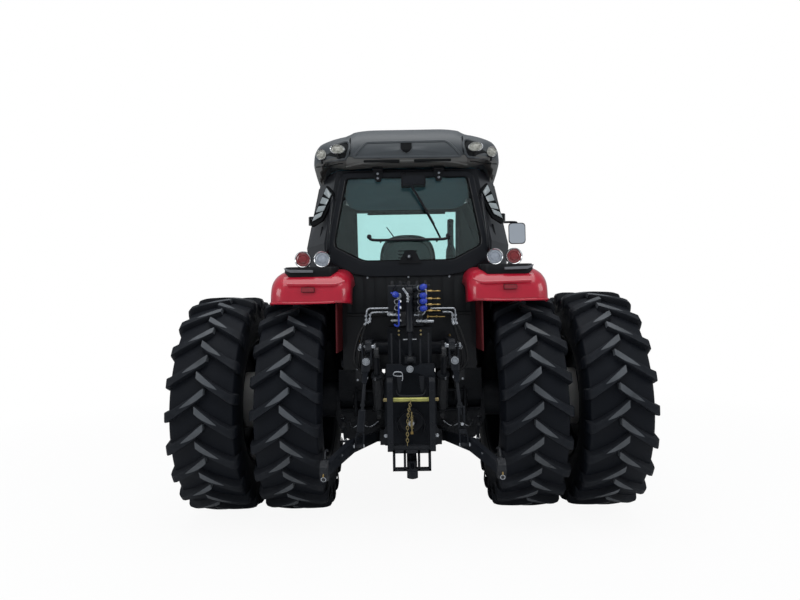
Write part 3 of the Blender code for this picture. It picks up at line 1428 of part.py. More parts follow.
def hood():
    grille_top = GRILLE_BOTTOM_Z + GRILLE_HEIGHT
    outer = hood_form(0.0, HOOD_REAR_Y, HOOD_FRONT_Y, HOOD_BOTTOM_Z)
    inner = hood_form(HOOD_SKIN, HOOD_REAR_Y - OVERRUN, HOOD_FRONT_Y - HOOD_SKIN, HOOD_BOTTOM_Z - OVERRUN)
    mouth = block(
        (-GRILLE_HALF, HOOD_NOSE_Y + OVERRUN, GRILLE_BOTTOM_Z),
        (GRILLE_HALF, HOOD_FRONT_Y + OVERRUN, grille_top),
    )
    pivot = (0.0, HOOD_HINGE_Y, HOOD_HINGE_Z)
    half_ear = HOOD_EAR_WIDTH / 2
    half_web = HOOD_EAR_RADIUS / 2
    ears = []
    for _, sign in SIDES:
        centre = sign * (COWL_ARM_HALF + JOINT_GAP + half_ear)
        ears.append(eye((centre, *pivot[1:]), HOOD_EAR_RADIUS, running_bore(HOOD_PIN_RADIUS), half_ear))
        ears.append(
            block(
                (centre - half_ear, HOOD_HINGE_Y - half_web, HOOD_HINGE_Z + HOOD_EAR_RADIUS - EYE_BITE),
                (centre + half_ear, HOOD_HINGE_Y + half_web, HOOD_REAR_TOP_Z - HOOD_SKIN / 2),
            )
        )
    node("hood_shell", combined([combined([outer], [inner, mouth]), *ears]), "red", pivot)
    half = GRILLE_HALF - TOUCH_GAP
    back = HOOD_FRONT_Y - GRILLE_DEPTH
    front = HOOD_FRONT_Y - GRILLE_RECESS
    plate_low = (-half, back, GRILLE_BOTTOM_Z + TOUCH_GAP)
    bars = [block(plate_low, (half, back + GRILLE_BAR, grille_top - TOUCH_GAP))]
    step = GRILLE_HEIGHT / GRILLE_BARS
    for count in range(GRILLE_BARS):
        height = GRILLE_BOTTOM_Z + step / 2 + step * count
        bars.append(block((-half, back, height - GRILLE_BAR / 2), (half, front, height + GRILLE_BAR / 2)))
    node("hood_grille", combined(bars), "black", pivot)
    node("engine_cowl", cowl(), "black")


def cowl():
    """The wall between engine and cab, with the arm and the pin that carry the hood."""
    foot = ENGINE_TOP_Z + TOUCH_GAP
    wall = block((-COWL_HALF, COWL_REAR_Y, foot), (COWL_HALF, HOOD_REAR_Y - SWING_GAP, COWL_TOP_Z))
    bracket = block(
        (-COWL_ARM_HALF, HOOD_REAR_Y - OVERRUN, foot),
        (COWL_ARM_HALF, COWL_ARM_FRONT_Y, COWL_ARM_TOP_Z),
    )
    post = block(
        (-COWL_ARM_HALF, HOOD_HINGE_Y - HOOD_PIN_RADIUS, COWL_ARM_TOP_Z - OVERRUN),
        (COWL_ARM_HALF, HOOD_HINGE_Y + HOOD_PIN_RADIUS, HOOD_HINGE_Z),
    )
    reach = COWL_ARM_HALF + HOOD_EAR_WIDTH
    left = (-reach, HOOD_HINGE_Y, HOOD_HINGE_Z)
    right = (reach, HOOD_HINGE_Y, HOOD_HINGE_Z)
    return combined([wall, bracket, post, rod(left, right, HOOD_PIN_RADIUS, SMALL_FACETS)])


def exhaust():
    bottom = (EXHAUST_X, EXHAUST_Y, EXHAUST_BOTTOM_Z)
    middle = (EXHAUST_X, EXHAUST_Y, EXHAUST_TOP_Z - EXHAUST_TIP)
    top = (EXHAUST_X, EXHAUST_Y - EXHAUST_TIP / 2, EXHAUST_TOP_Z)
    foot = block(
        (ENGINE_HALF_WIDTH + TOUCH_GAP, EXHAUST_Y - EXHAUST_RADIUS, EXHAUST_BOTTOM_Z),
        (EXHAUST_X, EXHAUST_Y + EXHAUST_RADIUS, EXHAUST_BOTTOM_Z + EXHAUST_RADIUS),
    )
    tip = rod(middle, top, EXHAUST_RADIUS, ROUND_FACETS, EXHAUST_RADIUS * EXHAUST_TIP_SHARE)
    node("exhaust_stack", combined([foot, rod(bottom, middle, EXHAUST_RADIUS), tip]), "black")


def seat():
    low = SEAT_Z + TOUCH_GAP
    cushion = block(
        (-SEAT_HALF, SEAT_REAR_Y, low), (SEAT_HALF, SEAT_CUSHION_FRONT_Y, low + SEAT_CUSHION_HEIGHT)
    )
    rows = []
    for up, half, lean in SEAT_BACK_SHARES:
        height = SEAT_BACK_LOW_Z + up * SEAT_BACK_HEIGHT
        half = half * SEAT_HALF
        rear = SEAT_BACK_REAR_Y - lean * SEAT_BACK_LEAN
        front = rear + SEAT_BACK_THICKNESS
        corners = ((-half, rear), (half, rear), (half, front), (-half, front))
        rows.append([(x, y, height) for x, y in corners])
    return combined([cushion, loft(rows)])


def steering_wheel(centre, along):
    """The wheel's ring, boss and spokes, turned to face along the column."""
    profile = []
    for count in range(WHEEL_RIM_FACETS):
        turn = math.tau * count / WHEEL_RIM_FACETS
        radius = STEERING_WHEEL_RADIUS + WHEEL_RIM_RADIUS * math.cos(turn)
        profile.append((radius, WHEEL_RIM_RADIUS * math.sin(turn)))
    ring = lathe(tuple(profile), STEERING_WHEEL_FACETS, closed=True)
    spokes = []
    for count in range(STEERING_SPOKES):
        turn = math.tau * count / STEERING_SPOKES
        tip = Vector((0.0, STEERING_WHEEL_RADIUS * math.cos(turn), STEERING_WHEEL_RADIUS * math.sin(turn)))
        root = tip.normalized() * WHEEL_BOSS_RADIUS / 2
        spokes.append(rod(root, tip, WHEEL_RIM_RADIUS * SPOKE_SHARE, SMALL_FACETS))
    boss = rod((-WHEEL_RIM_RADIUS, 0.0, 0.0), (WHEEL_RIM_RADIUS, 0.0, 0.0), WHEEL_BOSS_RADIUS)
    wheel = combined([ring, boss, *spokes])
    wheel.transform(Matrix.Translation(centre) @ along.to_track_quat("X", "Z").to_matrix().to_4x4())
    return wheel


def cab_interior():
    floor = CAB_FLOOR_Z + CAB_FLOOR_THICKNESS + TOUCH_GAP
    base = block((-SEAT_BASE_HALF, SEAT_REAR_Y, floor), (SEAT_BASE_HALF, SEAT_FRONT_Y, SEAT_Z))
    node("seat_base", base, "black")
    node("seat", seat(), "cloth")
    dash = loft(
        box_corners(
            (-DASH_HALF, DASH_HALF, DASH_REAR_Y, DASH_FRONT_Y, floor),
            (-DASH_TOP_HALF, DASH_TOP_HALF, DASH_REAR_Y, DASH_FRONT_Y, DASH_Z),
        )
    )
    column_end = Vector((0.0, DASH_REAR_Y - COLUMN_RUN, DASH_Z + COLUMN_RISE))
    column_start = Vector((0.0, DASH_REAR_Y + COLUMN_RUN / 2, DASH_Z - COLUMN_RISE / 2))
    wheel = steering_wheel(column_end, (column_end - column_start).normalized())
    column = rod(column_start, column_end, COLUMN_RADIUS, SMALL_FACETS)
    node("steering_console", combined([wheel, column, dash]), "black")


def tanks():
    for side, sign in SIDES:
        outer = TANK_OUTER_X if side == "left" else BATTERY_OUTER_X
        near, far = sorted((sign * TANK_INNER_X, sign * outer))
        tank = block((near, TANK_REAR_Y, TANK_BOTTOM_Z), (far, TANK_FRONT_Y, TANK_TOP_Z))
        near, far = sorted((sign * (CASE_HALF_WIDTH + TOUCH_GAP), sign * (TANK_INNER_X + OVERRUN)))
        arm = block((near, TANK_ARM_REAR_Y, TANK_ARM_BOTTOM_Z), (far, TANK_ARM_FRONT_Y, TANK_ARM_TOP_Z))
        treads = []
        for rises, out in STEP_TREAD_SHARES:
            height = STEP_LOW_Z + rises * STEP_RISE
            near, far = sorted((sign * (outer - OVERRUN), sign * (outer + out * STEP_OUT)))
            treads.append(block((near, STEP_REAR_Y, height), (far, STEP_FRONT_Y, height + STEP_THICKNESS)))
        high = STEP_LOW_Z + STEP_TREAD_SHARES[-1][0] * STEP_RISE + STEP_THICKNESS
        near, far = sorted((sign * (outer - OVERRUN), sign * (outer + STEP_THICKNESS)))
        for rear in (STEP_REAR_Y, STEP_FRONT_Y - STEP_THICKNESS):
            treads.append(block((near, rear, STEP_LOW_Z), (far, rear + STEP_THICKNESS, high)))
        name = "fuel_tank_left" if side == "left" else "battery_box_right"
        node(name, combined([tank, arm, *treads]), "black")


def tapered_bar(start, end, start_half, end_half):
    """A bar's side outline between two points, given as ahead, height."""
    start = Vector(start)
    end = Vector(end)
    across = Vector((start.y - end.y, end.x - start.x)).normalized()
    along = (end - start).normalized()
    first = start - along * start_half
    last = end + along * end_half
    return (
        tuple(first + across * start_half / 2),
        tuple(start + across * start_half),
        tuple(end + across * end_half),
        tuple(last + across * end_half / 2),
        tuple(last - across * end_half / 2),
        tuple(end - across * end_half),
        tuple(start - across * start_half),
        tuple(first - across * start_half / 2),
    )


def lift_arm():
    outline = tapered_bar(ROCKSHAFT_PIVOT, LIFT_ARM_TIP, LIFT_ARM_ROOT_HALF, LIFT_ARM_TIP_HALF)
    half = LIFT_ARM_THICKNESS / 2
    shaft_end = (LIFT_HOUSING_HALF + JOINT_GAP, *ROCKSHAFT_PIVOT)
    rod_pin_end = (LIFT_ROD_X + EYE_HALF, *LIFT_ARM_TIP)
    cylinder_pin_end = (CYLINDER_X - CYLINDER_EYE_HALF, *LIFT_CYLINDER_EYE)
    return combined(
        [
            prism(outline, "X", LIFT_ARM_X - half, LIFT_ARM_X + half),
            rod((LIFT_ARM_X, *ROCKSHAFT_PIVOT), shaft_end, ROCKSHAFT_RADIUS),
            rod((LIFT_ARM_X, *LIFT_ARM_TIP), rod_pin_end, PIN_RADIUS, SMALL_FACETS),
            rod((LIFT_ARM_X, *LIFT_CYLINDER_EYE), cylinder_pin_end, PIN_RADIUS, SMALL_FACETS),
        ]
    )


def lift_rod():
    top = (LIFT_ROD_X, *LIFT_ARM_TIP)
    foot = (LIFT_ROD_X, *LINK_ROD_POINT)
    run = Vector(foot) - Vector(top)
    turn = run.to_track_quat("Z", "X").to_matrix().to_4x4()
    inset_ends = ROD_EYE_OUTER - EYE_BITE
    bar = block(
        (-LIFT_ROD_HALF, -LIFT_ROD_HALF, inset_ends),
        (LIFT_ROD_HALF, LIFT_ROD_HALF, run.length - inset_ends),
    )
    bar.transform(Matrix.Translation(top) @ turn)
    return combined(
        [
            eye(top, ROD_EYE_OUTER, running_bore(PIN_RADIUS), EYE_HALF),
            eye(foot, ROD_EYE_OUTER, PIN_RADIUS + PIN_PLAY, EYE_HALF),
            bar,
        ]
    )


def lower_link():
    rows = []
    for (ahead, height), across, tall in (
        (LINK_PIVOT, LINK_PIVOT_X, LINK_HALF_HEIGHT * LINK_END_SHARE),
        (LINK_ROD_POINT, LINK_ROD_X, LINK_HALF_HEIGHT),
        (LINK_TIP, LINK_TIP_X, LINK_HALF_HEIGHT * LINK_END_SHARE),
    ):
        rows.append(
            [
                (across - LINK_HALF_WIDTH, ahead, height - tall),
                (across + LINK_HALF_WIDTH, ahead, height - tall),
                (across + LINK_HALF_WIDTH, ahead, height + tall),
                (across - LINK_HALF_WIDTH, ahead, height + tall),
            ]
        )
    root_near = (LINK_PIVOT_X - LINK_HALF_WIDTH, *LINK_PIVOT)
    root_far = (LINK_PIVOT_X + LINK_HALF_WIDTH, *LINK_PIVOT)
    hook_near = (LINK_TIP_X - HOOK_HALF, *LINK_TIP)
    hook_far = (LINK_TIP_X + HOOK_HALF, *LINK_TIP)
    pin_end = (LIFT_ROD_X - EYE_HALF, *LINK_ROD_POINT)
    return combined(
        [
            loft(rows),
            rod(root_near, root_far, LINK_HALF_HEIGHT),
            rod(hook_near, hook_far, HOOK_RADIUS),
            rod((LINK_ROD_X, *LINK_ROD_POINT), pin_end, PIN_RADIUS, SMALL_FACETS),
        ]
    )


def lift_cylinder():
    """The right lift cylinder's barrel and its piston."""
    foot = Vector((CYLINDER_X, *LIFT_CYLINDER_FOOT))
    top = Vector((CYLINDER_X, *LIFT_CYLINDER_EYE))
    along = (top - foot).normalized()
    barrel_end = foot + (top - foot) * LIFT_BARREL_SHARE
    bite = CYLINDER_EYE_OUTER - EYE_BITE
    bore_start = foot + along * (CYLINDER_EYE_OUTER + OVERRUN)
    bore = rod(bore_start, barrel_end + along * OVERRUN, running_bore(LIFT_PISTON_ROD_RADIUS))
    barrel = combined(
        [
            eye(foot, CYLINDER_EYE_OUTER, running_bore(PIN_RADIUS), CYLINDER_EYE_HALF),
            rod(foot + along * bite, barrel_end - along * OVERRUN, CYLINDER_EYE_HALF, SMALL_FACETS),
            rod(foot + along * BARREL_START, barrel_end, LIFT_CYLINDER_RADIUS),
        ],
        [bore],
    )
    piston = combined(
        [
            eye(top, CYLINDER_EYE_OUTER, PIN_RADIUS + PIN_PLAY, CYLINDER_EYE_HALF),
            rod(foot + along * PISTON_START, top - along * bite, LIFT_PISTON_ROD_RADIUS),
        ]
    )
    return barrel, piston


def linkage():
    arm = lift_arm()
    hanger = lift_rod()
    link = lower_link()
    barrel, piston = lift_cylinder()
    for side, sign in SIDES:
        node(f"lift_arm_{side}", mirrored(arm, sign), "iron", (0.0, *ROCKSHAFT_PIVOT))
        node(f"lift_rod_{side}", mirrored(hanger, sign), "iron", (sign * LIFT_ROD_X, *LIFT_ARM_TIP))
        node(f"lower_link_{side}", mirrored(link, sign), "iron", (sign * LINK_PIVOT_X, *LINK_PIVOT))
        across = sign * CYLINDER_X
        node(f"lift_cylinder_{side}", mirrored(barrel, sign), "iron", (across, *LIFT_CYLINDER_FOOT))
        node(f"lift_piston_{side}", mirrored(piston, sign), "steel", (across, *LIFT_CYLINDER_EYE))


def hitch():
    plates = []
    bar_bottom = DRAWBAR_TOP_Z - DRAWBAR_THICKNESS
    across = DRAWBAR_HALF_WIDTH + STRAP
    for _, sign in SIDES:
        near, far = sorted((sign * HITCH_PLATE_INNER_X, sign * HITCH_PLATE_OUTER_X))
        plates.append(
            block(
                (near, HITCH_FRAME_REAR_Y, HITCH_FRAME_BOTTOM_Z),
                (far, CASE_REAR_Y - TOUCH_GAP, HITCH_FRAME_TOP_Z),
            )
        )
        near, far = sorted((sign * (DRAWBAR_HALF_WIDTH + JOINT_GAP), sign * across))
        plates.append(
            block(
                (near, HITCH_FRAME_REAR_Y, STRAP_BOTTOM_Z),
                (far, HITCH_STRAP_FRONT_Y, HITCH_FRAME_BOTTOM_Z),
            )
        )
    plates.append(
        block(
            (-across, HITCH_FRAME_REAR_Y, STRAP_BOTTOM_Z),
            (across, HITCH_STRAP_FRONT_Y, bar_bottom - TOUCH_GAP),
        )
    )
    plates.append(
        block(
            (-HITCH_PLATE_OUTER_X, HITCH_FRAME_REAR_Y, DRAWBAR_TOP_Z + TOUCH_GAP),
            (HITCH_PLATE_OUTER_X, HITCH_STRAP_FRONT_Y, HITCH_FRAME_BOTTOM_Z + STRAP),
        )
    )
    plates.append(
        rod(
            (-HITCH_PIN_HALF, HITCH_PIN_Y, HITCH_SOCKET_Z),
            (HITCH_PIN_HALF, HITCH_PIN_Y, HITCH_SOCKET_Z),
            PIN_RADIUS,
            SMALL_FACETS,
        )
    )
    node("hitch_frame", combined(plates), "iron")
    bar = block(
        (-DRAWBAR_HALF_WIDTH, DRAWBAR_REAR_Y, bar_bottom),
        (DRAWBAR_HALF_WIDTH, DRAWBAR_FRONT_Y, DRAWBAR_TOP_Z),
    )
    eye_y = DRAWBAR_REAR_Y + DRAWBAR_EYE_IN
    low = (0.0, eye_y, bar_bottom - OVERRUN)
    high = (0.0, eye_y, DRAWBAR_TOP_Z + OVERRUN)
    hole = rod(low, high, DRAWBAR_HOLE_RADIUS)
    node("drawbar", combined([bar], [hole]), "iron")


def top_link():
    foot = Vector((0.0, *TOP_LINK_PIVOT))
    along = Vector((0.0, math.sin(TOP_LINK_LEAN), math.cos(TOP_LINK_LEAN)))
    top = foot + along * TOP_LINK_LENGTH
    sleeve_start = foot + along * TOP_LINK_LENGTH * TOP_LINK_SLEEVE_START_SHARE
    sleeve_end = foot + along * TOP_LINK_LENGTH * TOP_LINK_SLEEVE_END_SHARE
    bite = TOP_LINK_EYE_RADIUS - EYE_BITE
    half = Vector((TOP_LINK_EYE_HALF, 0.0, 0.0))
    pieces = [
        eye(foot, TOP_LINK_EYE_RADIUS, running_bore(PIN_RADIUS), TOP_LINK_EYE_HALF),
        rod(foot + along * bite, top - along * bite, TOP_LINK_RADIUS, SMALL_FACETS),
        rod(sleeve_start, sleeve_end, TOP_LINK_SLEEVE_RADIUS, SMALL_FACETS),
        rod(top - half, top + half, TOP_LINK_EYE_RADIUS),
    ]
    node("top_link", combined(pieces), "iron", foot)


def valves():
    top = VALVE_BOTTOM_Z + VALVE_HEIGHT
    body = block((-VALVE_HALF_WIDTH, VALVE_REAR_Y, VALVE_BOTTOM_Z), (VALVE_HALF_WIDTH, VALVE_FRONT_Y, top))
    foot = block(
        (-VALVE_FOOT_HALF, VALVE_FOOT_REAR_Y, LIFT_HOUSING_TOP_Z + TOUCH_GAP),
        (VALVE_FOOT_HALF, VALVE_FRONT_Y, VALVE_BOTTOM_Z + OVERRUN),
    )
    couplers = []
    for across, up in COUPLER_SHARES:
        x = across * VALVE_HALF_WIDTH
        z = VALVE_BOTTOM_Z + up * VALVE_HEIGHT
        start = (x, VALVE_REAR_Y + OVERRUN, z)
        couplers.append(rod(start, (x, VALVE_REAR_Y - COUPLER_LENGTH, z), COUPLER_RADIUS, SMALL_FACETS))
    node("remote_valves", combined([body, foot, *couplers]), "black")


def mirrors():
    grown = cab_solid(-TOUCH_GAP)
    root = (MIRROR_ROOT_X, MIRROR_ROOT_Y, MIRROR_Z)
    elbow = (MIRROR_INNER_X + MIRROR_OVERLAP, MIRROR_Y, MIRROR_Z)
    half_depth = MIRROR_DEPTH / 2
    head = block(
        (MIRROR_INNER_X, MIRROR_Y - half_depth, MIRROR_BOTTOM_Z),
        (MIRROR_OUTER_X, MIRROR_Y + half_depth, MIRROR_TOP_Z),
    )
    arm = rod(root, elbow, MIRROR_ARM_RADIUS, SMALL_FACETS)
    node("mirror_right", combined([arm, head], [grown]), "black")
    root = (-MIRROR_ROOT_X, MIRROR_ROOT_Y, MIRROR_Z)
    elbow = (-FOLDED_MIRROR_X, FOLDED_MIRROR_Y, MIRROR_Z)
    width = MIRROR_OUTER_X - MIRROR_INNER_X
    rear = FOLDED_MIRROR_Y - MIRROR_OVERLAP
    head = block(
        (-FOLDED_MIRROR_X - half_depth, rear, MIRROR_BOTTOM_Z),
        (-FOLDED_MIRROR_X + half_depth, rear + width, MIRROR_TOP_Z),
    )
    arm = rod(root, elbow, MIRROR_ARM_RADIUS, SMALL_FACETS)
    node("mirror_left", combined([arm, head], [grown]), "black")


parts_collection = start_scene()
frame = bpy.data.objects.new("frame", None)
parts_collection.objects.link(frame)
transmission()
engine_and_frame()
front_axle()
cab()
fenders()
hood()
exhaust()
cab_interior()
tanks()
linkage()
hitch()
top_link()
valves()
mirrors()
wheels()
frame.location = (0.0, -ORIGIN_AHEAD_OF_REAR_AXLE, REAR_TYRE_RADIUS)
bpy.context.view_layer.update()
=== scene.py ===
# Farm tractor seen from behind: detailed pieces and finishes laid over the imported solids
from math import cos, hypot, pi, radians, sin, tau

import bmesh
import bpy
import numpy as np
from mathutils import Matrix, Vector


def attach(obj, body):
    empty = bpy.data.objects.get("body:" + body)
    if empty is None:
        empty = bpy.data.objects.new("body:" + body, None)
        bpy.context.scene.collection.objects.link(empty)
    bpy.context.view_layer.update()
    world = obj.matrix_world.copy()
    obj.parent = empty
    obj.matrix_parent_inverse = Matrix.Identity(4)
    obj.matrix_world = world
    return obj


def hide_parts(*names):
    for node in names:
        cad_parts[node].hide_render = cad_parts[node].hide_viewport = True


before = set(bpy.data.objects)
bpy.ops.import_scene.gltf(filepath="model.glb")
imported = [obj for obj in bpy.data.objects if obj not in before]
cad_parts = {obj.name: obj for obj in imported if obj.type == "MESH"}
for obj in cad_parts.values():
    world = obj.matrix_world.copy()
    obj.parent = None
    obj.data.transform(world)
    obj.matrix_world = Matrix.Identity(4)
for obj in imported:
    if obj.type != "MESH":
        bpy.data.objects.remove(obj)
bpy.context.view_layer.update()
print("frame loaded,", len(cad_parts), "nodes")

machine = {"rearAxleY": -1.354}  # lengths below run from the rear axle; heights run from the ground
bothSides = (("right", 1.0), ("left", -1.0))
rightward, ahead, rearward, upward = (1, 0, 0), (0, 1, 0), (0, -1, 0), (0, 0, 1)


# surfaces as whole arrays

def curveThrough(points, count, closed=False):
    # Catmull-Rom: each span is a cubic whose end slopes are half the chord between its neighbours
    points = np.asarray(points, float)
    if closed:
        padded = np.concatenate([points[-1:], points, points[:2]])
        spans = len(points)
    else:
        padded = np.concatenate([2 * points[:1] - points[1:2], points, 2 * points[-1:] - points[-2:-1]])
        spans = len(points) - 1
    place = np.linspace(0, spans, count, endpoint=not closed)
    index = np.minimum(place.astype(int), spans - 1)
    t = (place - index)[:, None]
    a, b, c, d = (padded[index + step] for step in range(4))
    return 0.5 * (2 * b + (c - a) * t + (2 * a - 5 * b + 4 * c - d) * t**2 + (3 * b - a - 3 * c + d) * t**3)


def softCorners(outline, radius, steps=4, closed=True):
    # every corner becomes a parabola that starts and ends one radius away from it on its two edges
    points = np.asarray(outline, float)
    before = np.roll(points, 1, axis=0) - points
    after = np.roll(points, -1, axis=0) - points
    lengths = [np.linalg.norm(side, axis=1, keepdims=True) for side in (before, after)]
    reach = np.minimum(radius, np.minimum(*lengths) * 0.49)
    start = points + before / lengths[0] * reach
    end = points + after / lengths[1] * reach
    t = np.linspace(0, 1, steps)[None, :, None]
    arcs = (1 - t) ** 2 * start[:, None] + 2 * t * (1 - t) * points[:, None] + t**2 * end[:, None]
    if closed:
        return arcs.reshape(-1, points.shape[1])
    return np.concatenate([points[:1], arcs[1:-1].reshape(-1, points.shape[1]), points[-1:]])


def gridFaces(rows, columns, closeRows=False, closeColumns=False):
    # quads between neighbouring rows and columns of a grid of points
    r = np.arange(rows if closeRows else rows - 1)
    c = np.arange(columns if closeColumns else columns - 1)
    r, c = np.meshgrid(r, c, indexing="ij")
    rn, cn = (r + 1) % rows, (c + 1) % columns
    return np.stack([r * columns + c, r * columns + cn, rn * columns + cn, rn * columns + c], -1).reshape(-1, 4)


def surface(points, material, closeRows=False, closeColumns=False, caps=False):
    # a grid of points, rows by columns, with its end rows filled when capped
    rows, columns = points.shape[:2]
    faces = gridFaces(rows, columns, closeRows, closeColumns).tolist()
    if caps:
        faces.append(list(range(columns))[::-1])
        faces.append(list(range((rows - 1) * columns, rows * columns)))
    return points.reshape(-1, 3), faces, material


def unit(way):
    return way / np.linalg.norm(way)


def squareAxes(axis):
    # two unit vectors square to an axis
    axis = np.asarray(axis, float) / np.linalg.norm(axis)
    helper = np.eye(3)[np.argmin(np.abs(axis))]
    first = np.cross(axis, helper)
    first /= np.linalg.norm(first)
    return axis, first, np.cross(axis, first)


def turned(profile, centre, axis, material, sides=32, closed=False):
    # a profile of radius and distance along the axis, carried round it: centre + axis * along + radius * (cos, sin)
    profile = np.asarray(profile, float)
    axis, first, second = squareAxes(axis)
    turn = np.linspace(0, tau, sides, endpoint=False)
    ring = np.cos(turn)[:, None] * first + np.sin(turn)[:, None] * second
    points = np.asarray(centre, float) + profile[:, 1, None, None] * axis + profile[:, 0, None, None] * ring[None]
    return surface(points, material, closeRows=closed, closeColumns=True)


def sweepAlong(path, profile, material, closed=False, caps=True, across=None):
    # a profile of (across, up) carried along a path; "across" stays square to the path and to the plane it lies in
    path = np.asarray(path, float)
    if closed:
        tangent = np.roll(path, -1, axis=0) - np.roll(path, 1, axis=0)
    else:
        tangent = np.gradient(path, axis=0)
    tangent /= np.linalg.norm(tangent, axis=1, keepdims=True)
    if across is None:
        spread = path - path.mean(axis=0)
        sizes, rows = np.linalg.svd(spread, full_matrices=True)[1:]
        across = rows[2] if len(sizes) > 1 and sizes[1] > 1e-4 * sizes[0] else squareAxes(tangent[0])[1]
    across = np.asarray(across, float)
    side = across - (tangent @ across)[:, None] * tangent
    side /= np.linalg.norm(side, axis=1, keepdims=True)
    up = np.cross(tangent, side)
    profile = np.asarray(profile, float)
    if profile.ndim == 2:
        profile = np.broadcast_to(profile, (len(path), *profile.shape))
    points = path[:, None] + side[:, None] * profile[..., :1] + up[:, None] * profile[..., 1:]
    return surface(points, material, closeRows=closed, closeColumns=True, caps=caps and not closed)


def circleOf(radius, sides=10):
    turn = np.linspace(0, tau, sides, endpoint=False)
    return radius * np.stack([np.cos(turn), np.sin(turn)], -1)


def tube(path, radius, material, sides=10, closed=False, smooth=0, across=None):
    # a round bar or hose of even or changing radius along a path, the path rounded first when smooth is given
    path = curveThrough(path, smooth, closed) if smooth else np.asarray(path, float)
    radius = np.atleast_1d(np.asarray(radius, float))
    radii = np.interp(np.linspace(0, 1, len(path)), np.linspace(0, 1, len(radius)), radius)
    profile = circleOf(1.0, sides)[None] * radii[:, None, None]
    return sweepAlong(path, profile, material, closed, across=across)


def bar(start, end, radius, material, sides=12, endRadius=None):
    ends = np.array([start, end], float)
    shares = np.array([0, 0.04, 0.96, 1])[:, None]
    path = ends[0] * (1 - shares) + ends[1] * shares
    last = radius if endRadius is None else endRadius
    full = radius * (1 - shares[:, 0]) + last * shares[:, 0]
    return tube(path, full * (0.88, 1, 1, 0.88), material, sides)


def plate(outline, axis, low, high, material):
    # an outline drawn out along one axis; outline points hold the other two coordinates in X, Y, Z order
    outline = np.asarray(outline, float)
    ends = [np.insert(outline, "XYZ".index(axis), place, axis=1) for place in (low, high)]
    return surface(np.stack(ends), material, closeColumns=True, caps=True)


def slab(outline, radius, axis, low, high, material):
    # a plate with softened corners
    return plate(softCorners(outline, radius), axis, low, high, material)


def box(low, high, material):
    (x0, y0, z0), (x1, y1, z1) = low, high
    return plate(((x0, y0), (x1, y0), (x1, y1), (x0, y1)), "Z", z0, z1, material)


def bolt(centre, axis, radius, material, height=None):
    # hexagon head with a washer under it
    height = radius * 0.7 if height is None else height
    washer = turned(((0, 0), (radius * 1.35, 0), (radius * 1.35, height * 0.2), (0, height * 0.2)), centre, axis,
            material, 12)
    head = ((0, 0), (radius, 0), (radius, height * 0.8), (radius * 0.85, height), (0, height))
    return [washer, turned(head, centre, axis, material, 6)]


def mm(*points):
    # points given in millimetres
    return np.array(points) / 1000


def mirrored(*points):
    # the right half of an outline in millimetres, closed by its mirror image
    half = mm(*points)
    return np.concatenate([half, half[::-1] * (-1, 1)])


def disc(radius, height, centre, axis, material, sides=6):
    # a plain disc, or a nut when it has six sides
    return turned(((0, 0), (radius, 0), (radius, height), (0, height)), centre, axis, material, sides)


def ringOf(radius, thick, wide, centre, axis, material, sides, around=8):
    # a ring whose section is an ellipse of radius + thick * cos and wide * sin
    turn = np.linspace(0, tau, around, endpoint=False)
    section = np.column_stack([radius + thick * np.cos(turn), wide * np.sin(turn)])
    return turned(section, centre, axis, material, sides, closed=True)


def ballOf(radius, centre, material, sides, steps=9):
    # a ball: half a circle turned about the upright
    turn = np.linspace(0, pi, steps)
    return turned(radius * np.column_stack([np.sin(turn), -np.cos(turn)]), centre, (0, 0, 1), material, sides)


def stripOf(half, thick):
    return np.array(((-half, -thick), (half, -thick), (half, thick), (-half, thick)))


def softBox(x0, y0, x1, y1, radius, steps=4):
    return softCorners(((x0, y0), (x1, y0), (x1, y1), (x0, y1)), radius, steps)


def setAt(loop, axis, place):
    # a flat loop stood at one place along the axis it lacks
    return np.insert(loop, "XYZ".index(axis), place, axis=1)


def loft(rows, material):
    # loops of points joined one to the next and filled at both ends
    return surface(np.array(rows), material, closeColumns=True, caps=True)


def moved(part, matrix=None, offset=(0, 0, 0)):
    points, faces, material = part
    points = points @ np.asarray(matrix).T if matrix is not None else points
    return points + np.asarray(offset, float), faces, material


def flipped(parts):
    # the same parts on the other side of the machine, their faces turned round to point outward
    return [(points * (-1, 1, 1), [face[::-1] for face in faces], material) for points, faces, material in parts]


def onSide(parts, sign):
    return parts if sign > 0 else flipped(parts)


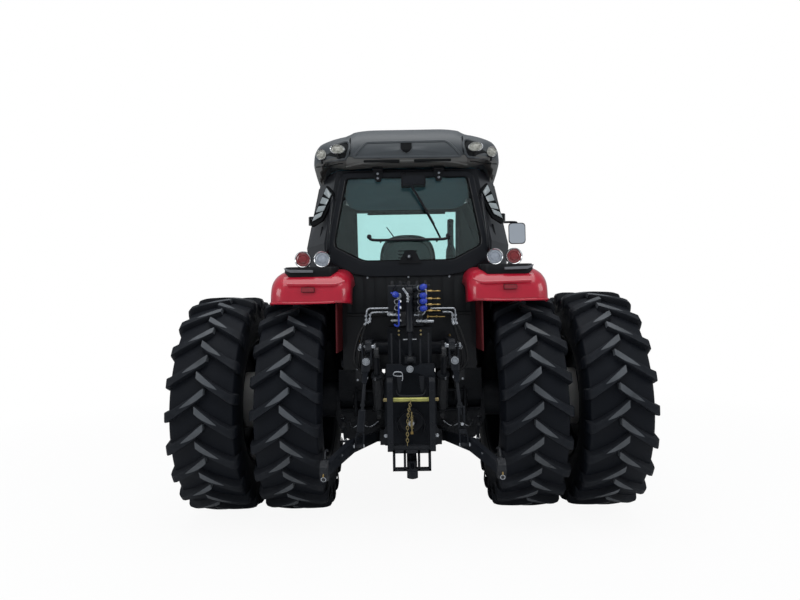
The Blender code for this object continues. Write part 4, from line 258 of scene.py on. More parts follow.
def makePiece(name, parts, body, stands=(), bevel=0.0, angle=34.0, subdivide=0, shell=0.0):
    # joins parts into one mesh with a slot for each finish, sets it in the world and lets it ride on its body
    points, faces, marks, kinds, start = [], [], [], [], 0
    for partPoints, partFaces, material in parts:
        if material not in kinds:
            kinds.append(material)
        points.append(partPoints)
        faces += [[start + corner for corner in face] for face in partFaces]
        marks += [kinds.index(material)] * len(partFaces)
        start += len(partPoints)
    points = np.concatenate(points) + (0, machine["rearAxleY"], 0)
    mesh = bpy.data.meshes.new(name)
    mesh.from_pydata(points.tolist(), [], faces)
    mesh.polygons.foreach_set("material_index", marks)
    for material in kinds:
        mesh.materials.append(finishes[material])
    work = bmesh.new()
    work.from_mesh(mesh)
    bmesh.ops.remove_doubles(work, verts=work.verts, dist=0.00002)
    bmesh.ops.dissolve_degenerate(work, edges=work.edges, dist=0.00002)
    bmesh.ops.recalc_face_normals(work, faces=work.faces)
    work.to_mesh(mesh)
    work.free()
    mesh.shade_smooth()
    mesh.set_sharp_from_angle(angle=radians(angle))
    obj = bpy.data.objects.new(name, mesh)
    bpy.context.scene.collection.objects.link(obj)
    if shell:
        wall = obj.modifiers.new("wall", "SOLIDIFY")
        wall.thickness = abs(shell)
        wall.offset = -1 if shell > 0 else 1
    if bevel:
        edge = obj.modifiers.new("edge", "BEVEL")
        edge.width = bevel
        edge.segments = 2
        edge.limit_method = "ANGLE"
        edge.angle_limit = radians(40)
        edge.harden_normals = False
    if subdivide:
        soft = obj.modifiers.new("soft", "SUBSURF")
        soft.levels = soft.render_levels = subdivide
    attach(obj, body)
    if stands:
        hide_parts(*stands)
    return obj


# finishes

def connect(tree, value, socket):
    # a socket is linked and a plain value is set; colours get their fourth share
    if isinstance(value, bpy.types.NodeSocket):
        tree.links.new(value, socket)
    else:
        socket.default_value = (*value[:3], 1.0) if socket.type == "RGBA" else value


def addNode(tree, kind, **values):
    # names with a capital are the node's inputs, the others its own settings
    node = tree.nodes.new("ShaderNode" + kind)
    for key, value in values.items():
        if key[0].islower():
            setattr(node, key, value)
        else:
            connect(tree, value, node.inputs[key.replace("_", " ")])
    return node


def mathNode(tree, operation, *values, clamp=False):
    node = addNode(tree, "Math", operation=operation, use_clamp=clamp)
    for value, socket in zip(values, node.inputs):
        connect(tree, value, socket)
    return node.outputs[0]


def blendColour(tree, factor, first, second):
    node = addNode(tree, "Mix", data_type="RGBA")
    for value, socket in ((factor, 0), (first, 6), (second, 7)):
        connect(tree, value, node.inputs[socket])
    return node.outputs[2]


def blendShaders(tree, factor, first, second):
    node = addNode(tree, "MixShader")
    for value, socket in zip((factor, first.outputs[0], second.outputs[0]), node.inputs):
        connect(tree, value, socket)
    return node.outputs[0]


def reachFrom(tree, vector):
    node = addNode(tree, "VectorMath", operation="LENGTH")
    connect(tree, vector, node.inputs[0])
    return node.outputs["Value"]


def newGroup(name, inputs, outputs):
    # inputs are given with their first values; a colour is known by its tuple
    tree = bpy.data.node_groups.new(name, "ShaderNodeTree")
    for label, value in inputs.items():
        kind = "NodeSocketColor" if isinstance(value, tuple) else "NodeSocketFloat"
        tree.interface.new_socket(name=label, in_out="INPUT", socket_type=kind).default_value = value
    for label in outputs:
        kind = "NodeSocketColor" if label == "Color" else "NodeSocketFloat"
        tree.interface.new_socket(name=label, in_out="OUTPUT", socket_type=kind)
    where = addNode(tree, "TexCoord").outputs["Object"]
    return tree, tree.nodes.new("NodeGroupInput").outputs, tree.nodes.new("NodeGroupOutput").inputs, where


def weatherGroup():
    # colour drifts with broad noise, dust gathers on faces that look up and low down, corners rub paler
    inputs = {"Color": (0.5, 0.5, 0.5, 1), "Roughness": 0.5, "Dust Color": (0.3, 0.27, 0.23, 1), "Dust": 0.2, "Drift": 0.15,
              "Rub": 0.2, "Scale": 6.0}
    tree, given, result, where = newGroup("weathering", inputs, ("Color", "Roughness", "Height"))
    def work(*values, clamp=False):
        return mathNode(tree, *values, clamp=clamp)
    geometry = addNode(tree, "NewGeometry").outputs
    broad = addNode(tree, "TexNoise", Vector=where, Scale=given["Scale"], Detail=4.0, Roughness=0.6).outputs[0]
    fine = addNode(tree, "TexNoise", Vector=where, Scale=95.0, Detail=3.0, Roughness=0.65).outputs[0]
    upward = work("MULTIPLY_ADD", addNode(tree, "SeparateXYZ", Vector=geometry["Normal"]).outputs["Z"], 0.6, 0.4)
    low = work("MULTIPLY_ADD", addNode(tree, "SeparateXYZ", Vector=where).outputs["Z"], -0.5, 1.0, clamp=True)
    settled = work("MAXIMUM", upward, low, clamp=True)
    patches = work("MULTIPLY", work("SUBTRACT", broad, 0.34), 2.4, clamp=True)
    dust = work("MULTIPLY", work("MULTIPLY", settled, work("MULTIPLY", fine, patches)), given["Dust"], clamp=True)
    shift = work("MULTIPLY", work("SUBTRACT", broad, 0.5), given["Drift"])
    tone = addNode(tree, "HueSaturation", Color=given["Color"], Saturation=1.0, Value=work("MULTIPLY_ADD", shift, 2.0, 1.0))
    corner = work("MULTIPLY", work("SUBTRACT", geometry["Pointiness"], 0.53), 9.0, clamp=True)
    rubbed = work("MULTIPLY", work("MULTIPLY", corner, fine), given["Rub"], clamp=True)
    paler = blendColour(tree, rubbed, tone.outputs[0], (0.42, 0.42, 0.42))
    connect(tree, blendColour(tree, dust, paler, given["Dust Color"]), result["Color"])
    rough = work("ADD", given["Roughness"], work("MULTIPLY", dust, 0.45))
    connect(tree, work("ADD", rough, work("MULTIPLY", shift, 0.7), clamp=True), result["Roughness"])
    connect(tree, work("ADD", work("MULTIPLY", fine, 0.4), dust), result["Height"])
    return tree


def grainGroup():
    # pebbled grain of cast and moulded faces: small cells mixed with fine noise
    tree, given, result, where = newGroup("surfaceGrain", {"Scale": 300.0}, ("Height",))
    cells = addNode(tree, "TexVoronoi", feature="SMOOTH_F1", Vector=where, Scale=given["Scale"])
    grit = addNode(tree, "TexNoise", Vector=where, Scale=given["Scale"], Detail=2.0)
    connect(tree, mathNode(tree, "ADD", cells.outputs["Distance"], grit.outputs[0]), result["Height"])
    return tree


sharedGroups = {"weathering": weatherGroup(), "grain": grainGroup()}
rearTyre = {"radius": 0.865, "rim": 0.483, "width": 0.475, "lugHeight": 0.042, "pitches": 22,
            "centres": (("inner_", 0.885), ("outer_", 1.477)), "axle": (0.0, 0.865)}
frontTyre = {"radius": 0.7, "rim": 0.356, "width": 0.4, "lugHeight": 0.036, "pitches": 18,
             "centres": (("", 0.97),), "axle": (2.88, 0.7)}
treadTones = {"worn": (0.0125, 0.015, 0.0195), "deep": (0.003, 0.0045, 0.008), "from": 0.022, "to": 0.004}


def treadColour(tree, tyre):
    # rubber pales with distance from the axle, so the tops of the lugs are scuffed and the floor stays dark
    y, z = tyre["axle"]
    where = addNode(tree, "TexCoord").outputs["Object"]
    shift = addNode(tree, "Mapping", Vector=where, Location=(0, -machine["rearAxleY"] - y, -z), Scale=(0, 1, 1))
    share = addNode(tree, "MapRange", Value=reachFrom(tree, shift.outputs[0]), From_Min=tyre["radius"] - treadTones["from"],
                    From_Max=tyre["radius"] - treadTones["to"])
    scuff = addNode(tree, "TexNoise", Vector=where, Scale=9.0, Detail=6.0, Roughness=0.7)
    amount = mathNode(tree, "MULTIPLY", mathNode(tree, "SUBTRACT", scuff.outputs[0], 0.32), 2.6, clamp=True)
    amount = mathNode(tree, "MULTIPLY", amount, share.outputs[0], clamp=True)
    return blendColour(tree, amount, treadTones["deep"], treadTones["worn"])


shaderSockets = {"specular": "Specular IOR Level", "coat": "Coat Weight", "coatRoughness": "Coat Roughness",
                 "metallic": "Metallic", "sheen": "Sheen Weight"}


def newMaterial(name):
    material = bpy.data.materials.new(name)
    material.use_nodes = True
    return material, material.node_tree, material.node_tree.nodes["Principled BSDF"].inputs


def finish(name, colour, roughness, dust, drift, rub, scale, grain, depth, others):
    # one physically based shader; weathering gives colour and roughness, grain and weathering give the bump
    material, tree, inputs = newMaterial(name)
    if "tyre" in others:
        colour = treadColour(tree, others["tyre"])
    weather = addNode(tree, "Group", node_tree=sharedGroups["weathering"], Color=colour, Roughness=roughness, Dust=dust,
                      Drift=drift, Rub=rub, Scale=scale, Dust_Color=others.get("dustColour", (0.3, 0.27, 0.23))).outputs
    pebbled = addNode(tree, "Group", node_tree=sharedGroups["grain"], Scale=grain).outputs[0]
    bump = addNode(tree, "Bump", Strength=depth, Distance=0.002, Height=mathNode(tree, "ADD", pebbled, weather["Height"]))
    connect(tree, weather["Color"], inputs["Base Color"])
    connect(tree, weather["Roughness"], inputs["Roughness"])
    connect(tree, bump.outputs[0], inputs["Normal"])
    for key, socket in shaderSockets.items():
        if key in others:
            connect(tree, others[key], inputs[socket])
    return material


def glassFinish(name, colour):
    # tinted pane: faint drift of dust in the roughness, the colour held by the pane itself
    material, tree, inputs = newMaterial(name)
    haze = addNode(tree, "Group", node_tree=sharedGroups["weathering"], Roughness=0.015, Dust=0.0, Drift=0.01, Rub=0.0,
            Scale=3.0)
    for socket, value in (("Base Color", colour), ("Transmission Weight", 1.0), ("IOR", 1.42),
            ("Roughness", haze.outputs["Roughness"])):
        connect(tree, value, inputs[socket])
    return material


finishTable = (  # name, colour, roughness, dust, drift, rub, scale, grain, depth of grain, other sockets
    ("rearRubber", (0.02, 0.022, 0.026), 0.62, 0.1, 0.3, 0.05, 3.5, 420, 0.22,
            {"dustColour": (0.06, 0.06, 0.062), "tyre": rearTyre, "specular": 0.16}),
    ("frontRubber", (0.02, 0.022, 0.026), 0.62, 0.1, 0.3, 0.05, 3.5, 420, 0.22,
            {"dustColour": (0.06, 0.06, 0.062), "tyre": frontTyre, "specular": 0.15}),
    # partly painted highlight: the pale wedge on each lug's crown is scuffed rubber and also stands in for the sky's
    # sheen on the lug tops
    ("lugHeadWearAndHighlight", (0.062, 0.069, 0.078), 0.4, 0.15, 0.9, 0.05, 5, 420, 0.25,
            {"dustColour": (0.12, 0.115, 0.11), "specular": 0.35}),
    ("rimSilver", (0.5, 0.5, 0.49), 0.42, 0.3, 0.2, 0.1, 4, 300, 0.15, {"metallic": 0.35, "coat": 0.2}),
    ("redPaint", (0.46, 0.0045, 0.026), 0.32, 0.03, 0.1, 0.08, 3, 120, 0.03,
            {"dustColour": (0.45, 0.25, 0.24), "coat": 0.7, "coatRoughness": 0.08, "specular": 0.35}),
    # painted shade: a dark copy of the red for the fender's inner wall and the reflector's frame, standing in for the
    # shade there
    ("redInner", (0.1, 0.0015, 0.005), 0.55, 0.03, 0.25, 0.2, 6.0, 160, 0.08, {"specular": 0.15}),
    ("cabBlack", (0.0055, 0.0068, 0.01), 0.34, 0.02, 0.2, 0.06, 6.0, 260, 0.06, {"coat": 0.15, "specular": 0.2}),
    ("frameBlack", (0.0055, 0.0072, 0.011), 0.42, 0.03, 0.25, 0.18, 6.0, 240, 0.12, {"specular": 0.2}),
    ("castBlack", (0.005, 0.0068, 0.0105), 0.52, 0.03, 0.35, 0.12, 6.0, 150, 0.35, {"specular": 0.15}),
    ("roofGrey", (0.05, 0.058, 0.065), 0.46, 0.06, 0.15, 0.08, 6.0, 520, 0.16, {"dustColour": (0.16, 0.16, 0.15)}),
    ("roofPale", (0.088, 0.089, 0.085), 0.48, 0.08, 0.2, 0.08, 6.0, 520, 0.16, {"dustColour": (0.18, 0.18, 0.165)}),
    ("mouldBlack", (0.0068, 0.0076, 0.0095), 0.58, 0.03, 0.2, 0.08, 6.0, 600, 0.22, {"specular": 0.15}),
    # painted shade: near-black standing in for the shade in the roof's lamp recesses, behind the grille slats and
    # inside the hood vents; the same near-black is the face of the cab's display and instrument panel
    ("recessDark", (0.012, 0.0135, 0.015), 0.65, 0.03, 0.2, 0.0, 6.0, 500, 0.2, {"specular": 0.15}),
    ("gasket", (0.004, 0.005, 0.006), 0.75, 0.03, 0.2, 0.0, 6.0, 700, 0.1, {"specular": 0.12}),
    ("chrome", (0.72, 0.73, 0.74), 0.16, 0.08, 0.1, 0.0, 6.0, 90, 0.02, {"metallic": 1.0}),
    ("zincBright", (0.42, 0.44, 0.47), 0.28, 0.1, 0.45, 0.1, 30, 200, 0.1, {"metallic": 0.95}),
    ("zincYellow", (0.4, 0.39, 0.12), 0.36, 0.06, 0.5, 0.1, 22, 200, 0.08,
            {"dustColour": (0.3, 0.28, 0.16), "metallic": 0.7}),
    ("brass", (0.4, 0.27, 0.09), 0.36, 0.1, 0.5, 0.2, 20, 200, 0.06, {"metallic": 0.9}),
    ("goldChain", (0.3, 0.24, 0.11), 0.4, 0.1, 0.5, 0.2, 40, 200, 0.1, {"metallic": 0.85}),
    ("capBlue", (0.006, 0.035, 0.4), 0.36, 0.03, 0.2, 0.2, 6.0, 500, 0.05, {}),
    ("hoseBlack", (0.006, 0.0065, 0.0075), 0.42, 0.03, 0.2, 0.0, 6.0, 800, 0.25, {"specular": 0.25}),
    ("paleStripe", (0.3, 0.34, 0.35), 0.32, 0.12, 0.25, 0.2, 9, 300, 0.04, {"dustColour": (0.2, 0.22, 0.22), "coat": 0.4}),
    ("lensRed", (0.2, 0.006, 0.01), 0.16, 0.05, 0.3, 0, 6.0, 70, 0.1, {"coat": 1.0}),
    ("reflectorRed", (0.26, 0.012, 0.022), 0.25, 0.05, 0.3, 0, 20, 110, 0.25, {"coat": 0.6}),
    ("lensClear", (0.4, 0.395, 0.35), 0.12, 0.05, 0.9, 0, 55, 60, 0.12, {"coat": 1.0}),
    ("lampGlow", (0.3, 0.335, 0.39), 0.16, 0.05, 0.5, 0, 34, 80, 0.15, {"coat": 1.0}),
    ("markerGrey", (0.135, 0.14, 0.155), 0.22, 0.05, 0.25, 0.2, 12, 100, 0.06, {"coat": 0.7}),
    ("lensAmber", (0.6, 0.2, 0.02), 0.2, 0.05, 0.2, 0, 6.0, 80, 0.15, {"coat": 1.0}),
    ("mirrorFace", (0.8, 0.84, 0.9), 0.05, 0.03, 0.05, 0, 6.0, 50, 0.0, {"metallic": 1.0}),
    ("seatCloth", (0.04, 0.05, 0.053), 0.86, 0.03, 0.25, 0, 12, 900, 0.5, {"sheen": 0.25}),
    ("seatBorder", (0.01, 0.012, 0.014), 0.7, 0.03, 0.2, 0, 12, 700, 0.35, {"specular": 0.3}),
    ("seatShell", (0.045, 0.06, 0.062), 0.55, 0.03, 0.15, 0.05, 6.0, 500, 0.15, {}),
    ("liningGrey", (0.13, 0.24, 0.31), 0.8, 0.02, 0.15, 0, 6.0, 600, 0.2, {}),
    ("rubberMat", (0.018, 0.018, 0.019), 0.8, 0.3, 0.2, 0.1, 6.0, 250, 0.3, {}),
    ("exhaustSteel", (0.03, 0.03, 0.032), 0.55, 0.1, 0.5, 0.3, 6.0, 180, 0.3, {"metallic": 0.4}),
)
finishes = {row[0]: finish(*row) for row in finishTable}
finishes["glassTeal"] = glassFinish("glassTeal", (0.66, 0.88, 0.87))
finishes["glassSide"] = glassFinish("glassSide", (0.7, 0.89, 0.86))
print("finishes made,", len(finishes))


# view, floor and light

cameraView = {"place": (-0.034, -6.154, 1.55), "tiltUp": 0.028, "roll": -0.016, "turn": -0.008, "focalPixels": 569.0,
        "imageWidth": 800}


def setCamera(view):
    # axes of the fitted view: forward from turn and tilt, then right and up rolled about it
    turn, tilt, roll = view["turn"], view["tiltUp"], view["roll"]
    unturn = np.array(((cos(turn), sin(turn), 0), (-sin(turn), cos(turn), 0), (0, 0, 1)))
    forward = unturn @ (0, cos(tilt), sin(tilt))
    right = unturn @ (1, 0, 0)
    up = unturn @ (0, -sin(tilt), cos(tilt))
    rolledRight = cos(roll) * right + sin(roll) * up
    rolledUp = cos(roll) * up - sin(roll) * right
    camera = bpy.data.objects.new("camera", bpy.data.cameras.new("camera"))
    bpy.context.scene.collection.objects.link(camera)
    camera.data.sensor_width = 36.0
    camera.data.lens = 36.0 * view["focalPixels"] / view["imageWidth"]
    matrix = Matrix(np.stack([rolledRight, rolledUp, -forward], -1).tolist()).to_4x4()
    matrix.translation = Vector(view["place"])
    camera.matrix_world = matrix
    camera.data.clip_end = 200.0
    bpy.context.scene.camera = camera


setCamera(cameraView)
bpy.context.scene.view_settings.view_transform = "Standard"

lighting = {
    "skyColour": (0.88, 0.94, 1.0), "skyStrength": 0.42,
    "lamps": (  # name, place, aims at, width, height, power
        ("softTop", (0.0, -2.5, 8.0), (0.0, -1.0, 1.0), 7.0, 7.0, 330.0),
        ("softLeft", (-7.0, -6.0, 4.5), (0.0, -1.0, 1.2), 4.0, 3.0, 150.0),
        ("softRight", (7.0, -5.0, 4.5), (0.0, -1.0, 1.2), 4.0, 3.0, 130.0),
        ("softFront", (0.0, 9.0, 5.0), (0.0, 0.0, 1.0), 6.0, 4.0, 180.0),
    ),
}


def setLight(plan):
    world = bpy.context.scene.world or bpy.data.worlds.new("world")
    bpy.context.scene.world = world
    world.use_nodes = True
    tree = world.node_tree
    tree.nodes.clear()
    sky = addNode(tree, "Background", Color=plan["skyColour"], Strength=plan["skyStrength"])
    white = addNode(tree, "Background", Color=(1, 1, 1), Strength=1.0)
    path = addNode(tree, "LightPath").outputs
    seen = mathNode(tree, "MAXIMUM", path["Is Camera Ray"], path["Is Transmission Ray"])
    connect(tree, blendShaders(tree, seen, sky, white), addNode(tree, "OutputWorld").inputs[0])
    for name, place, aim, width, height, power in plan["lamps"]:
        data = bpy.data.lights.new(name, "AREA")
        data.shape = "RECTANGLE"
        data.size, data.size_y, data.energy = width, height, power
        lamp = bpy.data.objects.new(name, data)
        lamp.visible_camera = lamp.visible_transmission = False
        lamp.location = place
        lamp.rotation_mode = "QUATERNION"
        lamp.rotation_quaternion = (Vector(aim) - Vector(place)).to_track_quat("-Z", "Y")
        bpy.context.scene.collection.objects.link(lamp)


def setFloor():
    # pale ground: plain diffuse, lifted towards white for the camera only, so the shadow stays soft
    half = 40.0
    mesh = bpy.data.meshes.new("floor")
    mesh.from_pydata([(-half, -half, 0), (half, -half, 0), (half, half, 0), (-half, half, 0)], [], [(0, 1, 2, 3)])
    floor = bpy.data.objects.new("floor", mesh)
    bpy.context.scene.collection.objects.link(floor)
    material, tree, inputs = newMaterial("paleFloor")
    for socket, value in (("Base Color", (0.82, 0.82, 0.82)), ("Roughness", 0.95), ("Specular IOR Level", 0.1)):
        connect(tree, value, inputs[socket])
    glow = addNode(tree, "Emission", Color=(1, 1, 1), Strength=1.0)
    reach = reachFrom(tree, addNode(tree, "TexCoord").outputs["Object"])
    fade = addNode(tree, "MapRange", Value=reach, From_Min=2.2, From_Max=7.0, To_Min=0.93, To_Max=1.0)
    lit = mathNode(tree, "MULTIPLY", addNode(tree, "LightPath").outputs["Is Camera Ray"], fade.outputs[0])
    connect(tree, blendShaders(tree, lit, tree.nodes["Principled BSDF"], glow), tree.nodes["Material Output"].inputs[0])
    mesh.materials.append(material)


setLight(lighting)
setFloor()
print("view, light and floor set")


# wheels

def tyreParts(size, centreX, rubber):
    # carcass: a closed profile turned about the axle; lugs: a bar section swept from the middle over the shoulder
    floor = size["radius"] - size["lugHeight"]
    wall = floor - size["rim"]
    half = size["width"] / 2
    y, z = size["axle"]
    side = [(size["rim"] + wall * up, half * out) for up, out in (
        (0.0, 0.84), (0.05, 0.9), (0.09, 0.885), (0.22, 0.955), (0.4, 0.998), (0.55, 1.0), (0.7, 0.985),
        (0.83, 0.965), (0.925, 0.94), (0.955, 0.88), (0.975, 0.66), (0.992, 0.33), (1.0, 0.0))]
    ring = curveThrough(np.array(side), 40)
    profile = np.concatenate([ring, ring[-2::-1] * (1, -1)])
    parts = [turned(profile, (centreX, y, z), rightward, rubber, sides=120, closed=True)]
    pitch = tau / size["pitches"]
    reach = 0.94 * half
    # each row: across share of the shoulder, top radius less lug top,
    # base radius less floor, width share, pale crown wedge (wear and painted highlight) from, to
    stations = np.array([
        (-0.155, -0.036, -0.004, 0.8, -0.7, 0.7), (-0.13, -0.003, -0.004, 0.9, -0.68, 0.7),
        (0.0, 0.0, -0.004, 0.98, -0.66, 0.68),
        (0.15, 0.0, -0.005, 1.0, -0.54, 0.62), (0.32, 0.0, -0.007, 0.98, -0.34, 0.52),
        (0.46, -0.001, -0.008, 0.98, -0.1, 0.38),
        (0.57, -0.002, -0.01, 0.98, 0.12, 0.18), (0.8, -0.004, -0.014, 1.0, 0.0, 0.1),
        (0.93, -0.008, -0.018, 1.06, 0.0, 0.1),
        (1.03, -0.016, -0.04, 1.12, 0.0, 0.1), (1.085, -0.034, -0.058, 1.12, 0.0, 0.1),
        (1.105, -0.062, -0.085, 1.05, 0.0, 0.1),
        (1.08, -0.115, -0.13, 0.9, 0.0, 0.1)])
    scale = size["radius"] / rearTyre["radius"]
    count = len(stations)
    sideways = np.column_stack([np.tile((-1.0, -0.8, -0.72), (count, 1)), stations[:, 4:6],
            np.tile((0.72, 0.8, 1.0), (count, 1))])
    height = np.array((0.0, 0.9, 1.0, 1.0, 1.0, 1.0, 0.9, 0.0))[None, :]
    across = stations[:, 0:1]
    top = size["radius"] + stations[:, 1:2] * scale
    base = floor + stations[:, 2:3] * scale
    radii = base + height * (top - base)
    sweep = 0.62 * np.sign(across) * np.clip(np.abs(across), 0, 1) ** 0.92
    turnIn = (0.163 * sideways * stations[:, 3:4] + 0.13 - sweep) * pitch
    outward = across * reach + 0.006 * height * (across > 1.0) - 0.0035 * height * (across > 1.01)
    for sign in (1, -1):
        starts = np.arange(size["pitches"]) * pitch + (0 if sign > 0 else pitch / 2)
        for start in starts:
            turn = start + turnIn
            points = np.stack([centreX + sign * outward, y - np.sin(turn) * radii, z - np.cos(turn) * radii], -1)
            lug, faces, _ = surface(points, rubber, closeColumns=True, caps=True)
            worn = {row * 8 + 3 for row in range(6)}  # the pale wedge on the inner end's crown: scuffed rubber with a painted highlight
            parts.append((lug, [face for number, face in enumerate(faces) if number not in worn], rubber))
            parts.append((lug, [faces[number] for number in sorted(worn)], "lugHeadWearAndHighlight"))
    return parts


def ringOfBolts(centre, ringRadius, count, radius, material, start=0.0):
    parts = []
    for turn in start + np.arange(count) * tau / count:
        parts += bolt(np.asarray(centre) + (0, sin(turn) * ringRadius, cos(turn) * ringRadius), rightward, radius, material)
    return parts


rearRim = {  # profiles: distance out from the axle, then place across
    "barrel": mm((474, -200), (484, -204), (486, -196), (468, -186), (462, -150), (448, -128), (446, -60), (462, -35),
            (464, 150), (468, 186), (486, 196), (484, 204), (474, 200), (456, 180), (452, 150), (451, -28), (436, -52),
            (437, -120), (452, -145), (458, -180)),
    # painted shade: a near-black sheet just inside each disc
    "shadeLiner": mm((448, -12), (415, -47), (370, -84), (310, -102), (200, -104), (150, -104), (150, -107), (200, -107),
            (310, -105), (370, -87), (415, -50), (448, -15)),
    "disc": mm((448, 12), (430, 6), (400, -30), (360, -62), (300, -78), (200, -80), (150, -80), (150, -102),
            (200, -102), (310, -100), (370, -82), (415, -45), (448, -10)),
    "drum": mm((232, 807), (232, 1374), (215, 1374), (215, 807)),
    "hub": mm((0, 602), (148, 602), (150, 607), (150, 1500), (142, 1512), (100, 1516), (92, 1520), (75, 1562),
            (58, 1572), (0, 1574)),
    "clamp": mm((0, -30), (22, -30), (26, 0), (20, 16), (0, 18)), "clampRing": 0.435, "boltRings": (0.275, 0.262),
}
frontRim = {
    "barrel": mm((342, -165), (352, -168), (354, -160), (340, -150), (336, -110), (318, -90), (316, -30), (334, -10),
            (336, 120), (340, 150), (354, 160), (352, 168), (342, 165), (326, 145), (322, 0), (306, -22), (306, -85),
            (324, -105), (326, -150)),
    "disc": mm((322, 85), (306, 78), (285, 45), (250, 30), (170, 40), (130, 42), (130, 20), (170, 18), (255, 10),
            (290, 24), (322, 65)),
    "hub": mm((0, 845), (126, 845), (129, 850), (129, 1000), (122, 1008), (108, 1010), (106, 1040), (98, 1058),
            (60, 1066), (54, 1071), (0, 1072)),
}


def rearRimParts(silver, dark):
    # both rims, both dished discs, spacer drum and hub turned about the axle; the barrels' inward parts and a liner
    # inside each disc are castBlack as painted shade
    form = rearRim
    y, z = rearTyre["axle"]
    def spin(name, across, material, sides, closed=True):
        return turned(form[name] + (0, across), (0, y, z), rightward, material, sides, closed)
    parts = []
    for number, (_, centre) in enumerate(rearTyre["centres"]):
        shape, faces, _ = spin("barrel", centre, silver, 96)
        bright = [bool(shape[face, 0].mean() > centre - 0.02) and number > 0 for face in faces]  # castBlack elsewhere: painted shade on the inner wheel's barrel and the outer wheel's inward half
        parts += [(shape, [face for face, pale in zip(faces, bright) if pale], silver),
                  (shape, [face for face, pale in zip(faces, bright) if not pale], dark),
                  spin("shadeLiner", centre, dark, 72), spin("disc", centre, silver, 96)]
        parts += ringOfBolts((centre - 0.079, y, z), form["boltRings"][number], 10, 0.015, dark)
        for turn in np.arange(8) * tau / 8 + 0.2:
            place = (centre + 0.012, y + sin(turn) * form["clampRing"], z + cos(turn) * form["clampRing"])
            parts.append(turned(form["clamp"], place, rightward, silver, 12))
    parts += [spin("drum", 0, silver, 64), spin("hub", 0, dark, 56, closed=False)]
    return parts + ringOfBolts((1.512, y, z), 0.12, 12, 0.011, dark, 0.1)


def frontRimParts(silver, dark):
    y, z = frontTyre["axle"]
    centre = frontTyre["centres"][0][1]
    parts = [turned(frontRim[name] + (0, centre), (0, y, z), rightward, silver, 84, closed=True) for name in ("barrel",
            "disc")]
    parts.append(turned(frontRim["hub"], (0, y, z), rightward, dark, 48))
    parts += ringOfBolts((1.011, y, z), 0.205, 8, 0.013, dark, 0.2)
    return parts + ringOfBolts((1.062, y, z), 0.078, 6, 0.007, dark)


for side, sign in bothSides:
    for end, tyre, carrier, rim, rimShape in (("rear", rearTyre, "rear_wheels", "Rims", rearRimParts),
                                              ("front", frontTyre, "front_wheel", "Rim", frontRimParts)):
        body = f"{carrier}_{side}"
        for which, centreX in tyre["centres"]:
            parts = onSide(tyreParts(tyre, centreX, end + "Rubber"), sign)
            makePiece(f"{end}Tyre_{which}{side}", parts, body, (f"{end}_tyre_{which}{side}",), angle=38)
        parts = onSide(rimShape("rimSilver", "castBlack"), sign)
        makePiece(f"{end}{rim}_{side}", parts, body, (f"{end}_{rim.lower()}_{side}",))
print("wheels built")


# roof

roofForm = {
    "bottomZ": 2.69, "height": 0.492, "half": 0.79, "rearY": -0.33, "length": 2.03,
    "rows": (  # up, rear half, side half, rear in, corner, front in, as shares of height, half width and length
        (0.0, 0.66, 0.968, 0.088, 0.32, 0.106), (0.16, 0.68, 0.985, 0.015, 0.31, 0.025), (0.345, 0.7, 1.0, 0.0, 0.3, 0.0),
        (0.545, 0.63, 0.962, 0.015, 0.3, 0.02), (0.755, 0.54, 0.785, 0.084, 0.28, 0.1),
        (0.875, 0.4, 0.56, 0.172, 0.25, 0.2),
        (1.0, 0.2, 0.3, 0.32, 0.2, 0.33)),
}


def roofLoops(count):
    # the roof's eight-cornered plan at each height, its corners rounded and its heights joined by smooth curves
    form = roofForm
    rows = []
    for up, rearHalf, sideHalf, rearIn, corner, frontIn in form["rows"]:
        rear, front = form["rearY"] + rearIn * form["length"], form["rearY"] + (1 - frontIn) * form["length"]
        rh, sh, c = rearHalf * form["half"], sideHalf * form["half"], corner * form["half"]
        outline = ((-rh, rear), (rh, rear), (sh, rear + c), (sh, front - c), (rh, front), (-rh, front),
                (-sh, front - c), (-sh, rear + c))
        dense = softCorners(outline, 0.17, 7)
        rows.append(setAt(dense, "Z", form["bottomZ"] + up * form["height"]))
    rows = np.array(rows)
    flat = curveThrough(rows.reshape(len(rows), -1), count)
    return flat.reshape(count, -1, 3)


def roofRear(x, z):
    # how far back the roof's rear face lies at a place across and up
    form = roofForm
    table = np.array(form["rows"])
    up = (np.asarray(z, float) - form["bottomZ"]) / form["height"]
    rearHalf, sideHalf, rearIn, corner = (np.interp(up, table[:, 0], table[:, column]) for column in (1, 2, 3, 4))
    past = np.clip((np.abs(x) / form["half"] - rearHalf) / np.maximum(sideHalf - rearHalf, 0.01), 0, 1)
    return form["rearY"] + rearIn * form["length"] + past * corner * form["half"]


def onRoof(outline, proud=0.0):
    # lays a flat outline of across and up on the roof's rear face
    outline = np.asarray(outline, float)
    return np.column_stack([outline[:, 0], roofRear(outline[:, 0], outline[:, 1]) - proud, outline[:, 1]])


def laidPanel(outline, proud, material, rings=4):
    # a panel that follows the roof's rear face: rings from the outline in to its middle, each laid on the face
    outline = softCorners(outline, 0.02)
    middle = outline.mean(axis=0)
    shares = np.linspace(1, 0.04, rings + 2)
    rows = [onRoof(outline, -0.012)] + [onRoof(middle + (outline - middle) * share, proud) for share in shares]
    points, faces, kind = surface(np.array(rows), material, closeColumns=True)
    faces.append(list(range(len(points) - len(outline), len(points))))
    return points, faces, kind


